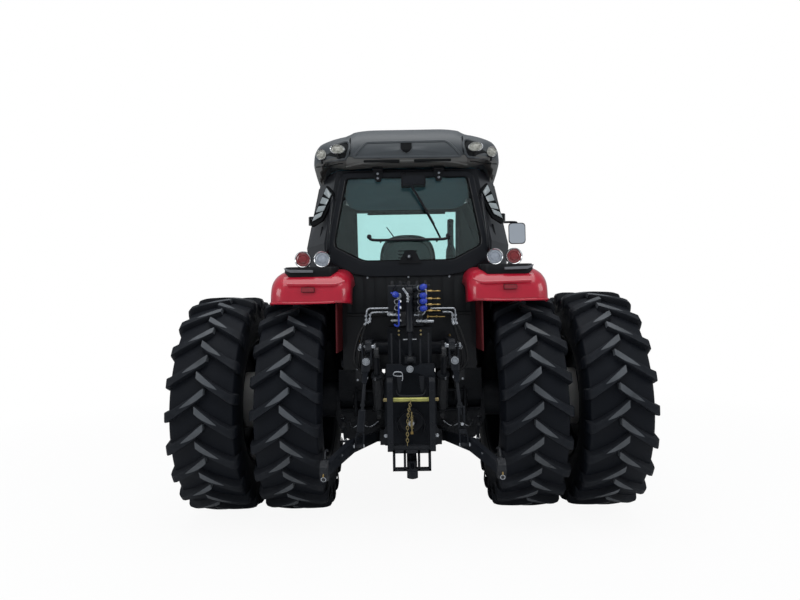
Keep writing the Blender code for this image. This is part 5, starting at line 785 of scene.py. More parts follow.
def roofShell(material, lining):
    loops = roofLoops(34)
    arch = np.interp(np.abs(loops[..., 0]), (0.0, 0.38, 0.486, 0.58, 0.655, 0.7, 0.742),
            (2.778, 2.768, 2.757, 2.795, 2.82, 2.765, 2.69))
    middleY = 0.68
    onEnds = np.abs(loops[..., 1] - middleY) > 0.63
    loops[..., 2] = np.where(onEnds, np.maximum(loops[..., 2], arch), loops[..., 2])
    shoulder = np.interp(np.abs(loops[..., 0]), (0.5, 0.62, 0.72, 0.775), (0.0, 0.018, 0.034, 0.018))
    loops[..., 2] += shoulder * np.interp(loops[..., 2], (2.84, 2.9), (0.0, 1.0))
    crest = np.interp(np.abs(loops[..., 0]), (0.43, 0.449, 0.456), (0.012, 0.011, -0.004)) * np.interp(loops[..., 2],
            (2.9, 2.99), (0.0, 1.0))
    loops[..., 2] += crest
    lowest = loops[0]
    centre = np.array((0, middleY, 0))
    inner = (lowest - centre) * (0.955, 0.975, 1) + centre + (0, 0, 0.004)
    deeper = (lowest - centre) * (0.93, 0.95, 0) + centre + (0, 0, 2.792)
    shell, faces, _ = surface(loops, material, closeColumns=True)
    middle = np.array([shell[list(face)].mean(axis=0) for face in faces])
    rim = (middle[:, 1] < 0.12) & (middle[:, 2] < np.interp(np.abs(middle[:, 0]), (0.44, 0.5), (2.798, 2.818)))
    return [(shell, [face for face, low in zip(faces, rim) if not low], material),
            (shell, [face for face, low in zip(faces, rim) if low], "roofPale"),
            (loops[-1], [list(range(len(lowest)))], material),
            surface(np.array([deeper, inner, lowest]), material, closeColumns=True),
            (deeper, [list(range(len(lowest)))[::-1]], lining)]


def ovalLamp(x, y, z, wide, tall, depth, lens, rim, shell, tilt=0.0):
    # housing bowl, bright rim and crowned lens, turned about the line of sight and flattened to the lamp's height
    bowl = ((0, depth), (0.55, depth * 0.96), (0.86, depth * 0.55), (1.0, 0.01), (1.04, 0.0), (1.0, -0.008), (0.96, -0.008))
    ring = ((0.99, -0.004), (1.01, -0.013), (0.95, -0.019), (0.86, -0.014), (0.84, 0.0))
    cover = ((0.87, -0.006), (0.7, -0.012), (0.58, -0.014), (0.56, -0.01), (0.5, -0.01), (0.47, -0.015), (0.3, -0.018),
            (0.0, -0.019))
    parts = []
    flat = np.diag((1.0, 1.0, tall / wide))
    lean = np.array(Matrix.Rotation(tilt, 3, "Y"))
    for profile, material in ((bowl, shell), (ring, rim), (cover, lens)):
        scaled = [(radius * wide, along) for radius, along in profile]
        part = turned(scaled, (0, 0, 0), ahead, material, 36)
        parts.append(moved(moved(part, lean @ flat), None, (x, y, z)))
    return parts


def roofParts():
    grey, pale, dark, black = "roofGrey", "roofPale", "recessDark", "mouldBlack"
    parts = roofShell(grey, "liningGrey")
    add = parts.append
    rod = mm((-6, 0), (0, 5), (6, 0), (0, -5))
    frameEdge = mm((-320, 2930), (320, 2932), (440, 2808), (-430, 2812))
    add(laidPanel(frameEdge, 0.008, grey, 5))
    band = softCorners(frameEdge, 0.03, 5)
    ridge = mirrored((-11, -10), (-11, 6), (-6, 12))
    add(sweepAlong(onRoof(band, 0.006), ridge[:, ::-1], grey, closed=True, across=rearward))
    for start, end in ((-0.341, -0.055), (0.059, 0.352)):
        slot = softBox(start, 2.788, end, 2.77, 0.007)
        add(plate(slot, "Y", float(roofRear(0, 2.78)) - 0.022, -0.2, "gasket"))
    lip = mirrored((-483, 2752), (-350, 2768), (-120, 2779))
    valance = mm((-470, 2818), (-330, 2800), (-120, 2806), (120, 2806), (330, 2800), (470, 2818), (486, 2752),
            (360, 2766), (120, 2779), (-120, 2779), (-360, 2766), (-486, 2752))
    add(laidPanel(valance, 0.014, pale, 3))
    lipPath = onRoof(curveThrough(lip, 30), 0.01)
    add(sweepAlong(lipPath, circleOf(0.009, 8), pale, across=rearward))
    shield = softCorners(mm((-48, 2928), (44, 2928), (44, 2870), (26, 2848), (-2, 2836), (-30, 2848), (-48, 2870)), 0.008)
    add(laidPanel(shield, 0.012, "gasket", 2))
    add(sweepAlong(onRoof(shield, 0.011), rod * 0.55, grey, closed=True, across=rearward))
    crest = mm((-449, 2800), (-449, 2860), (-449, 2930), (-449, 2985))
    for sign in (1, -1):
        seam = onRoof(curveThrough(crest, 16), 0.001)
        add(sweepAlong(seam * (sign, 1, 1), rod * (0.8, 0.8), "gasket", across=rearward))
        recess = mm((-458, 2945), (-449, 2890), (-483, 2797), (-721, 2826), (-735, 2870), (-660, 2935)) * (sign, 1)
        # painted shade: the lamp recess is filled with near-black to stand in for its shade
        add(laidPanel(recess, 0.002, dark, 4))
        border = softCorners(recess, 0.03, 5)
        add(sweepAlong(onRoof(border, 0.002), ridge[:, ::-1] * 0.85, grey, closed=True, across=rearward))
        inner = (sign * 0.543, float(roofRear(0.543, 2.867)) - 0.03, 2.867)
        outer = (sign * 0.69, float(roofRear(0.69, 2.865)) - 0.03, 2.865)
        parts += ovalLamp(*inner, 0.06, 0.037, 0.045, "lensClear", "chrome", black, sign * -0.1)
        parts += ovalLamp(*outer, 0.043, 0.043, 0.045, "lensClear", "chrome", black)
        for place in (inner, outer):
            add(bar(np.array(place) + (0, 0.03, 0), np.array(place) + (0, 0.09, -0.015), 0.014, black, 10))
            add(bar(np.array(place) + (0, 0.035, -0.03), np.array(place) + (0, 0.035, -0.062), 0.009, black, 10))
        skirt = mm((-505, 2770), (-600, 2775), (-700, 2790), (-752, 2800)) * (sign, 1)
        add(sweepAlong(onRoof(curveThrough(skirt, 16), 0.0), rod * 0.8, "gasket", across=rearward))
        for across, wide in ((0.6, 0.055), (0.4, 0.055)):
            front = roofForm["rearY"] + roofForm["length"] - 0.035
            lamp = ovalLamp(0, 0, 0, wide, 0.038, 0.05, "lensClear", "chrome", black)
            back = np.diag((1.0, -1.0, 1.0))
            parts += [moved(part, back, (sign * across, front - (0.1 if across > 0.5 else 0.0), 2.845)) for part in lamp]
    hatch = softCorners(mm((-200, 300), (200, 300), (220, 920), (-220, 920)), 0.07, 6)
    top = roofForm["bottomZ"] + roofForm["height"]
    rows = [setAt((hatch - (0, 0.61)) * share + (0, 0.61), "Z", top + rise) for share, rise in
            ((1.0, -0.02), (0.99, 0.003), (0.95, 0.009), (0.9, 0.01), (0.88, 0.006), (0.5, 0.006), (0.05, 0.006))]
    add(loft(rows, grey))
    return parts


makePiece("roofPanel", roofParts(), "chassis", ("cab_roof",), angle=32)
print("roof built")


# rear of the cab

def cabRear(z):
    # the rear wall leans from the belt up to the top
    return np.interp(z, (1.12, 2.15, 2.75), (-0.17, -0.2, -0.15))


def onCabRear(outline, proud=0.0):
    outline = np.asarray(outline, float)
    return np.column_stack([outline[:, 0], cabRear(outline[:, 1]) - proud, outline[:, 1]])


def rearWindowParts():
    black, gasket, mould = "cabBlack", "gasket", "mouldBlack"
    outline = softCorners(mirrored((518, 2705), (618, 2150), (608, 2095), (372, 1972)), 0.045, 6)
    ring = onCabRear(outline, 0.014)
    band = mirrored((-26, -14), (-26, 6), (-18, 12))
    parts = [sweepAlong(ring, band[:, ::-1], black, closed=True, across=rearward)]
    add = parts.append
    inner = (outline - (0, 2.35)) * (0.955, 0.935) + (0, 2.35)
    add(sweepAlong(onCabRear(inner, 0.018), circleOf(0.007, 8), gasket, closed=True, across=rearward))
    under = softCorners(mirrored((375, 1962), (600, 2085), (630, 2130), (662, 2020), (610, 1985), (450, 1900),
            (310, 1872)), 0.035, 5)
    add(plate(under, "Y", -0.226, -0.19, black))
    for x in (-0.236, 0.261):
        hinge = softCorners(((x - 0.044, 2.764), (x + 0.044, 2.764), (x + 0.036, 2.7), (x + 0.02, 2.648),
                (x - 0.02, 2.648), (x - 0.036, 2.7)), 0.01)
        add(plate(hinge, "Y", -0.205, -0.165, mould))
        add(bar((x - 0.036, -0.207, 2.742), (x + 0.036, -0.207, 2.742), 0.01, mould))
        for height in (2.708, 2.672):
            parts += bolt((x, -0.205, height), rearward, 0.007, "zincBright")
    add(slab(mm((-46, 2594), (152, 2600), (152, 2694), (-46, 2690)), 0.012, "Y", -0.245, -0.165, mould))
    add(slab(mm((-30, 2606), (136, 2612), (136, 2680), (-30, 2676)), 0.01, "Y", -0.25, -0.243, black))
    wiperEnd = onCabRear(((0.215, 2.285),), 0.035)[0]
    add(tube(((-0.025, -0.225, 2.69), (0.04, -0.24, 2.588), (0.15, -0.244, 2.4), wiperEnd),
            (0.014, 0.011, 0.009, 0.008), black, 8, smooth=14))
    blade = mm((95, 2500), (215, 2275), (262, 2175))
    add(tube(onCabRear(blade, 0.03), 0.008, gasket, 8))
    add(turned(mm((0, 0), (22, 0), (22, 20), (14, 32), (0, 34)), (-0.025, -0.2, 2.69), rearward, mould, 20))
    latch = softCorners(mm((-22, 2078), (52, 2078), (110, 1974), (-78, 1974)), 0.008)
    add(plate(latch, "Y", -0.238, -0.2, mould))
    add(turned(mm((0, 0), (19, 0), (21, 12), (15, 26), (0, 28)), (0.008, -0.236, 2.024), rearward, black, 20))
    parts += bolt((0.008, -0.264, 2.024), rearward, 0.008, "zincBright")
    handle = mm((-310, -248, 2192), (-285, -250, 2164), (-150, -252, 2160), (0, -252, 2160), (150, -252, 2160),
            (295, -250, 2163), (325, -246, 2185))
    add(tube(handle, 0.0115, black, smooth=36))
    for x in (-0.31, 0.325):
        add(ballOf(0.02, (x, -0.24, 2.19), black, 18))
    for x in (-0.22, 0.235):
        add(bar((x, -0.252, 2.16), (x, -0.205, 2.15), 0.008, black, 8))
    for x in (-0.52, 0.52):
        height = 2.515
        add(turned(mm((0, 0), (17, 0), (17, 8), (10, 14), (10, 22), (0, 24)), (x, cabRear(height) - 0.004, height),
                rearward, gasket, 16))
        add(bar((x, cabRear(height) + 0.03, height), (x * 0.95, cabRear(height) + 0.05, 2.68), 0.008, gasket, 10))
        add(bar((x, cabRear(height) + 0.03, height), (x * 0.98, cabRear(height) + 0.04, 2.6), 0.012, gasket, 10))
    return parts


def rearPillarParts():
    # pale striped strip, black slot cover and grab rod on the right rear pillar
    dark, strip = "gasket", "paleStripe"
    outerTop, outerLow = np.array((0.652, -0.15, 2.612)), np.array((0.792, -0.045, 2.345))
    innerTop, innerLow = np.array((0.61, -0.172, 2.552)), np.array((0.702, -0.15, 2.372))
    parts = []
    add = parts.append
    out = np.array((0.46, -0.89, 0.0))
    base = softCorners(np.array((outerTop + (0.0, 0, 0.02), innerTop + (-0.012, 0, 0.02), innerTop + (-0.018, 0, -0.02),
            innerLow + (-0.012, 0, -0.03),
                                 outerLow + (0.0, 0, -0.04), outerLow + (0.012, 0.01, 0.0))), 0.012)
    middle = base.mean(axis=0)
    rows = [base - out * 0.01, base + out * 0.012, middle + (base - middle) * 0.94 + out * 0.016,
            middle + (base - middle) * 0.05 + out * 0.016]
    add(loft(rows, dark))
    for high in (0.0, 0.27, 0.54, 0.8):
        low = min(high + 0.175, 1.0)
        corners = np.array([outerTop + (outerLow - outerTop) * high, outerTop + (outerLow - outerTop) * low,
                            innerTop + (innerLow - innerTop) * min(low + 0.02, 1.0),
                            innerTop + (innerLow - innerTop) * max(high - 0.04, 0.0)])
        loop = softCorners(corners, 0.005, 3)
        middle = loop.mean(axis=0)
        rows = [loop + out * 0.015, loop + out * 0.0195, middle + (loop - middle) * 0.9 + out * 0.021,
                middle + (loop - middle) * 0.05 + out * 0.021]
        add(loft(rows, strip))
    slot = mm((705, -100, 2300), (722, -85, 2240), (733, -75, 2165), (707, -105, 2142), (690, -125, 2200))
    middle = slot.mean(axis=0)
    rows = [slot, slot + out * 0.01, middle + (slot - middle) * 0.8 + out * 0.014,
            middle + (slot - middle) * 0.05 + out * 0.014]
    add(loft(rows, dark))
    rail = mm((596, -200, 2515), (600, -262, 2495), (620, -292, 2300), (640, -292, 2095), (640, -235, 2070))
    add(tube(rail, 0.0095, "cabBlack", smooth=30))
    return parts


def lowerRearParts():
    # black lining below the window, drawn up in upright folds: depth follows a raised sine across the width
    across = np.linspace(-0.5, 0.5, 181)
    heights = np.linspace(1.885, 1.56, 14)
    x, z = np.meshgrid(across, heights)
    fold = 0.01 * np.abs(np.sin(x * 34.0)) ** 0.7 * np.interp(z, (1.56, 1.62, 1.85, 1.885), (0.4, 1.0, 1.0, 0.4))
    y = np.interp(z, (1.6, 1.965), (-0.196, -0.206)) - fold - 0.004
    front = np.stack([x, y, z], -1)
    parts = [surface(front, "seatBorder")]
    sill = mm((-14, -12), (-14, 10), (-6, 18), (10, 18), (14, 10), (14, -12))
    for x in (-0.33, 0.0, 0.33):
        parts += bolt((x, -0.218, 1.862), rearward, 0.006, "zincBright")
    parts.append(sweepAlong(mm((-500, -210, 1560), (0, -211, 1560), (500, -210, 1560)), sill * 0.8, "mouldBlack",
            across=upward))
    return parts


makePiece("rearWindowFittings", rearWindowParts(), "chassis", bevel=0.0015)
makePiece("rearLining", lowerRearParts(), "chassis", shell=0.004)
for side, sign in bothSides:
    makePiece(f"rearPillarTrim_{side}", onSide(rearPillarParts(), sign), "chassis")
print("rear of cab built")


# fenders and lamps

fenderForm = {
    "line": ((-0.629, 0.802), (-0.619, 0.939), (-0.518, 1.036), (-0.305, 1.081), (0.061, 1.096), (0.345, 1.02),
            (0.589, 0.868),
             (0.812, 0.675), (0.964, 0.482)),  # ahead and up of the axle as shares of the arch radius
    "arch": 0.985, "tailX": 0.43, "wallX": 0.54, "outerX": 1.05, "outerRound": 0.13, "innerRound": 0.11, "axleZ": 0.865,
}


def fenderRadial(count):
    form = fenderForm
    line = np.array(form["line"]) * form["arch"]
    dense = softCorners(line, 0.09, 6, closed=False)
    steps = np.concatenate([[0], np.cumsum(np.linalg.norm(np.diff(dense, axis=0), axis=1))])
    place = np.linspace(0, steps[-1], count)
    return np.column_stack([np.interp(place, steps, dense[:, 0]), np.interp(place, steps, dense[:, 1])])


def fenderSkin(red, lining):
    # the top line carried across the wheel; both edges fold over along a quarter ellipse, square to the line:
    # down on the deck, forward on the tail
    form = fenderForm
    line = fenderRadial(90)
    reach = np.linalg.norm(line, axis=1)
    along = np.gradient(line, axis=0)
    inward = np.column_stack([along[:, 1], -along[:, 0]]) / np.linalg.norm(along, axis=1)[:, None]
    padded = np.pad(inward, ((4, 4), (0, 0)), mode="edge")
    inward = np.column_stack([np.convolve(padded[:, k], np.ones(9) / 9, mode="valid") for k in (0, 1)])
    inward /= np.linalg.norm(inward, axis=1)[:, None]
    tail = line[:, 0] < -0.205
    innerX = np.where(tail, form["tailX"], form["wallX"])
    t = np.linspace(0, 1, 9)
    arc = np.column_stack([1 - np.sqrt(1 - t**2), t])  # drop from the deck, way in from the edge
    depth = np.where(line[:, 0] < -0.5, 0.13, np.minimum(0.13, reach - form["arch"] + 0.02))
    columns, drops = [], []
    for drop, edge in arc[::-1]:
        columns.append(innerX + (1 - edge) * np.where(tail, form["innerRound"] * 0.9, 0.01))
        drops.append(drop * np.where(tail, depth, 0.02))
    left, right = columns[8], form["outerX"] - form["outerRound"]
    for share in np.linspace(0.12, 0.92, 10):
        columns.append(left + (right - left) * share)
        drops.append(np.zeros(len(line)))
    for drop, edge in arc:
        columns.append(np.full(len(line), form["outerX"]) - (1 - edge) * form["outerRound"])
        drops.append(drop * depth)
    low = np.maximum(reach - form["arch"] - 0.004, depth + 0.01)
    for back, more in ((0.0, 0.0), (0.012, 0.006), (0.02, -0.002)):
        columns.append(np.full(len(line), form["outerX"] - back))
        drops.append(low + more)
    x, drop = np.array(columns).T, np.array(drops).T
    y = line[:, 0:1] + inward[:, 0:1] * drop
    z = line[:, 1:2] + inward[:, 1:2] * drop + form["axleZ"]
    points = np.stack([x, y, z], -1)
    inCab = (y > -0.19) & (x < np.interp(y, (-0.19, 0.1), (0.66, 0.85)))
    rows, columnsCount = x.shape
    quads = gridFaces(rows, columnsCount)
    hidden = inCab.reshape(-1)[quads].all(axis=1)
    flat = points.reshape(-1, 3)
    return [(flat, quads[~hidden].tolist(), red), (flat, quads[hidden].tolist(), lining)]


def fenderParts():
    form = fenderForm
    skin = fenderSkin("redPaint", "mouldBlack")
    line = fenderRadial(90)
    keep = line[:, 0] > -0.56
    top = line[keep] * (1 - 0.012 / np.linalg.norm(line[keep], axis=1))[:, None]
    outline = np.concatenate([top, [(0.945, 0.415)], [(-0.55, 0.415)]]) + (0, form["axleZ"])
    # painted shade: the inner wall takes the dark red copy
    wall = plate(outline, "X", form["wallX"], form["wallX"] + 0.012, "redInner")
    return skin, wall


def rearPanelParts():
    # flat tail between the lobe and the cab: embossed step line, reflector, rolled lower lip
    # inner carries the dark red copy, painted shade
    red, inner = "redPaint", "redInner"
    tailY = -0.6196
    parts = []
    add = parts.append
    lip = np.array(((0.5, tailY + 0.03, 1.668), (0.56, tailY + 0.006, 1.66), (0.62, tailY, 1.657),
            (0.8, tailY - 0.001, 1.655), (0.92, tailY + 0.0, 1.656), (0.985, tailY + 0.017, 1.657),
            (1.03, tailY + 0.062, 1.658),
                    (1.048, tailY + 0.12, 1.66)))
    add(tube(curveThrough(lip, 30), 0.009, red))
    step = np.array(((0.478, tailY + 0.06, 1.815), (0.52, tailY + 0.022, 1.792), (0.56, tailY + 0.005, 1.787),
            (0.78, tailY + 0.003, 1.791), (0.9, tailY + 0.004, 1.794)))
    ridge = mm((-12, -3), (-6, 3.5), (6, 3.5), (12, -3))
    add(sweepAlong(softCorners(step, 0.03, 6, closed=False), ridge, red, across=upward))
    reflector = softBox(0.7, 1.738, 0.788, 1.766, 0.005)
    add(plate(reflector, "Y", tailY - 0.014, tailY + 0.004, "reflectorRed"))
    # painted shade: the frame round the reflector is the dark red copy
    frameOutline = softBox(0.695, 1.733, 0.793, 1.771, 0.006)
    add(plate(frameOutline, "Y", tailY - 0.008, tailY + 0.004, inner))
    return parts


def lampParts():
    black, mould = "cabBlack", "mouldBlack"
    parts = []
    add = parts.append
    # console: a six-sided tray lofted from its foot to its rim
    def tray(z, grow, lean=0.0):
        outline = mm((545, -470), (585, -545), (905, -545), (948, -470), (948, -315), (545, -315))
        outline = softCorners(np.array(outline), 0.018)
        middle = np.array((0.7465, -0.425))
        outline = middle + (outline - middle) * grow
        return np.column_stack([outline, np.full(len(outline), z) + lean * (outline[:, 1] + 0.43)])
    rows = [tray(1.868, 0.93, 0.35), tray(1.885, 0.985, 0.3), tray(1.912, 1.0, 0.2), tray(1.932, 0.99, 0.12),
            tray(1.938, 0.955, 0.1), tray(1.925, 0.9, 0.1), tray(1.922, 0.05)]
    add(loft(rows, mould))
    marker = softCorners(mm((715, 1884), (885, 1886), (925, 1902), (935, 1922), (895, 1908), (715, 1902)), 0.006)
    add(plate(marker, "Y", -0.562, -0.535, "markerGrey"))
    for x, lens in ((0.652, "lampGlow"), (0.796, "lensRed")):
        parts += ovalLamp(x, -0.515, 1.986, 0.062, 0.062, 0.055, lens, "chrome", black)
        add(bar((x, -0.49, 1.918), (x, -0.49, 1.95), 0.016, mould))
        parts += bolt((x, -0.49, 1.924), upward, 0.01, "zincBright")
    add(tube(mm((652, -465, 1985), (660, -430, 1970), (690, -420, 1925)), 0.006, "hoseBlack", 8, smooth=12))
    add(tube(mm((796, -465, 1985), (790, -430, 1970), (760, -420, 1925)), 0.006, "hoseBlack", 8, smooth=12))
    return parts


for side, sign in bothSides:
    skin, wall = fenderParts()
    makePiece(f"fenderSkin_{side}", onSide(skin, sign), "chassis", (f"fender_{side}",), shell=0.008, angle=40)
    makePiece(f"fenderWall_{side}", onSide([wall], sign), "chassis", bevel=0.002)
    makePiece(f"fenderTail_{side}", onSide(rearPanelParts(), sign), "chassis")
    makePiece(f"fenderLamps_{side}", onSide(lampParts(), sign), "chassis", (f"lamp_console_{side}",), bevel=0.001)
print("fenders and lamps built")


# hydraulic couplers and their pipes

def couplerParts():
    iron, steel, brass, blue, black = "castBlack", "zincBright", "brass", "capBlue", "frameBlack"
    parts = []
    add = parts.append
    for number in range(5):  # valve slices bolted side by side
        left = -0.158 + number * 0.064
        outline = softCorners(mm((-535, 1582), (-325, 1582), (-305, 1600), (-305, 1775), (-380, 1783), (-535, 1783)), 0.012)
        add(plate(outline, "X", left, left + 0.06, iron))
        add(turned(mm((0, 0), (12, 0), (12, 30), (8, 36), (0, 38)), (left + 0.03, -0.42, 1.782), upward, black, 12))
        parts += bolt((left + 0.03, -0.36, 1.782), upward, 0.009, steel)
    add(slab(mm((-600, 1475), (-340, 1475), (-360, 1585), (-540, 1585)), 0.01, "X", -0.1, 0.1, black))
    sleeve = mm((0, 0), (19, 0), (19, 24), (15, 28), (15, 52), (20, 56), (20, 75), (16, 79), (0, 79))
    cap = mm((0, 0), (17, 0), (21, 4), (23, 20), (21, 36), (13, 46), (0, 48))
    for z, tip in ((1.742, 1.757), (1.686, 1.696), (1.642, 1.654), (1.596, 1.602)):
        start, end = np.array((0.036, -0.6, z)), np.array((0.104, -0.67, tip))
        along = unit(end - start)
        add(bar((0.03, -0.53, z - 0.004), start, 0.014, steel, 14))
        add(turned(sleeve, start, along, black, 20))
        add(turned(mm((16, 0), (22.5, 2), (22.5, 10), (16, 12)), start + along * 0.052, along, steel, 20))
        add(turned(cap, end - along * 0.022, along, blue, 20))
        add(bar(end + (0.004, 0.02, 0.012), end + (0.024, 0.008, 0.014), 0.005, blue, 8))
        add(bar((0.12, -0.585, z - 0.01), (0.232, -0.575, z - 0.011), 0.0036, brass, 8))
        add(disc(0.0075, 0.026, (0.142, -0.586, z - 0.01), (1, 0.04, 0), brass))
        add(disc(0.0055, 0.014, (0.205, -0.578, z - 0.0105), (1, 0.04, 0), brass))
    add(bar((0.128, -0.6, 1.543), (0.262, -0.6, 1.54), 0.0036, brass, 8))
    for x, size in ((0.13, 0.013), (0.196, 0.009)):
        add(disc(size, 0.01, (x, -0.6, 1.542), rightward, brass))
    start, end = np.array((-0.07, -0.6, 1.695)), np.array((-0.104, -0.66, 1.708))
    along = unit(end - start)
    add(bar((-0.066, -0.53, 1.69), start, 0.014, steel, 14))
    add(turned(mm((16, 0), (22, 2), (22, 14), (16, 16)), start, along, steel, 20))
    add(turned(cap, end - along * 0.03, along, blue, 20))
    add(bar(end, end + (-0.03, 0.0, 0.012), 0.006, blue, 8))
    for z in (1.654, 1.609):
        add(bar((-0.08, -0.53, z), (-0.08, -0.62, z), 0.014, black, 14))
        add(turned([(0.017 + 0.0035 * cos(a), 0.0035 * sin(a)) for a in np.linspace(0, tau, 9)[:-1]], (-0.092, -0.64, z),
                            (0.35, -1, 0), steel, 24, closed=True))
        add(bar((-0.078, -0.63, z), (-0.066, -0.655, z + 0.004), 0.011, steel))
    strap = mm((-72, -664, 1664), (-76, -672, 1620), (-78, -672, 1550), (-80, -668, 1482), (-104, -664, 1482),
            (-110, -664, 1492))
    add(sweepAlong(curveThrough(strap, 30), stripOf(0.002, 0.006), blue, across=rearward))
    for start, end, radius in (((-0.163, 1.561), (-0.064, 1.556), 0.0095), ((-0.137, 1.516), (-0.058, 1.515), 0.0085),
            ((0.047, 1.51), (0.179, 1.506), 0.0115)):
        add(bar((start[0], -0.6, start[1]), (end[0], -0.6, end[1]), radius, steel, 14))
        for share in (0.08, 0.55):
            place = np.array((start[0] + (end[0] - start[0]) * share, -0.6, start[1]))
            add(disc(radius * 1.5, 0.012, place, rightward, steel))
    bail = mm((34, -610, 1558), (66, -610, 1553), (100, -640, 1560), (122, -660, 1600), (120, -670, 1660),
            (124, -680, 1720), (106, -680, 1775))
    add(tube(bail, 0.0055, steel, smooth=40))
    for x in (0.034, 0.062):
        add(disc(0.011, 0.012, (x, -0.61, 1.556), rightward, steel))
    loop = mm((-112, -560, 1690), (-116, -620, 1745), (-85, -660, 1782), (-47, -670, 1792), (-18, -670, 1782),
            (-6, -660, 1757))
    add(tube(loop, 0.0035, black, 8, smooth=36))
    add(bar((-0.046, -0.724, 1.748), (-0.01, -0.728, 1.699), 0.0085, steel))
    for step in range(5):
        add(disc(0.0095, 0.008, (-0.012 + 0.004 * (step % 2), -0.728, 1.692 - step * 0.011), upward, steel))
    pipes = (
        mm((128, 1602), (300, 1603), (345, 1603), (347, 1560), (347, 1505)),
        mm((252, 1575), (290, 1575), (322, 1572), (324, 1545), (325, 1504)),
        mm((-100, 1610), (-270, 1609), (-318, 1608), (-324, 1560), (-325, 1508)),
        mm((-180, 1580), (-250, 1580), (-288, 1577), (-294, 1550), (-296, 1516)),
    )
    for pipe in pipes:
        path = np.array([(x, -0.515, z) for x, z in pipe])
        add(tube(softCorners(path, 0.035, 7, closed=False), 0.0065, steel, 12))
        for place, radius in ((path[-1] + (0, 0, 0.038), 0.0105), (path[-1] + (0, 0, 0.008), 0.012)):
            add(disc(radius, 0.016, place, upward, steel))
        near = path[0] + (np.sign(path[0][0]) * 0.03, 0, 0)
        add(disc(0.01, 0.014, near, rightward, steel))
    add(bar((-0.2, -0.515, 1.58), (-0.12, -0.515, 1.58), 0.0065, steel))
    return parts


makePiece("couplers", couplerParts(), "chassis", ("remote_valves",), bevel=0.0008)

hoseRuns = (  # fall from the steel pipes and come in to the lift cylinders
    ("hose_leftOuter", mm((-325, -515, 1505), (-376, -535, 1420), (-412, -560, 1270), (-408, -580, 1200),
            (-368, -580, 1150), (-338, -570, 1128))),
    ("hose_leftInner", mm((-296, -515, 1514), (-336, -520, 1470), (-374, -545, 1300), (-378, -560, 1190),
            (-350, -550, 1120), (-322, -540, 1090))),
    ("hose_rightOuter", mm((347, -515, 1503), (385, -535, 1420), (422, -560, 1270), (420, -580, 1200),
            (380, -580, 1150), (338, -570, 1128))),
    ("hose_rightInner", mm((325, -515, 1502), (346, -520, 1440), (384, -545, 1290), (388, -560, 1190),
            (356, -550, 1120), (322, -540, 1090))),
)
for name, points in hoseRuns:
    line = curveThrough(points, 60)
    ends = []
    for start, toward in ((line[0], line[3]), (line[-1], line[-5])):
        way = unit(toward - start)
        ends.append(turned(mm((0, -4), (12.5, -4), (12.5, 20), (11.5, 26), (0, 26)), start, way,
                "zincYellow" if start is line[-1] else "zincBright", 12))
    fittings = makePiece(name + "_fittings", ends, "chassis")
    hose = makePiece(name, [tube(line, 0.0095, "hoseBlack", 12)], "chassis")
print("couplers and hoses built")


# hitch, drawbar and power take-off

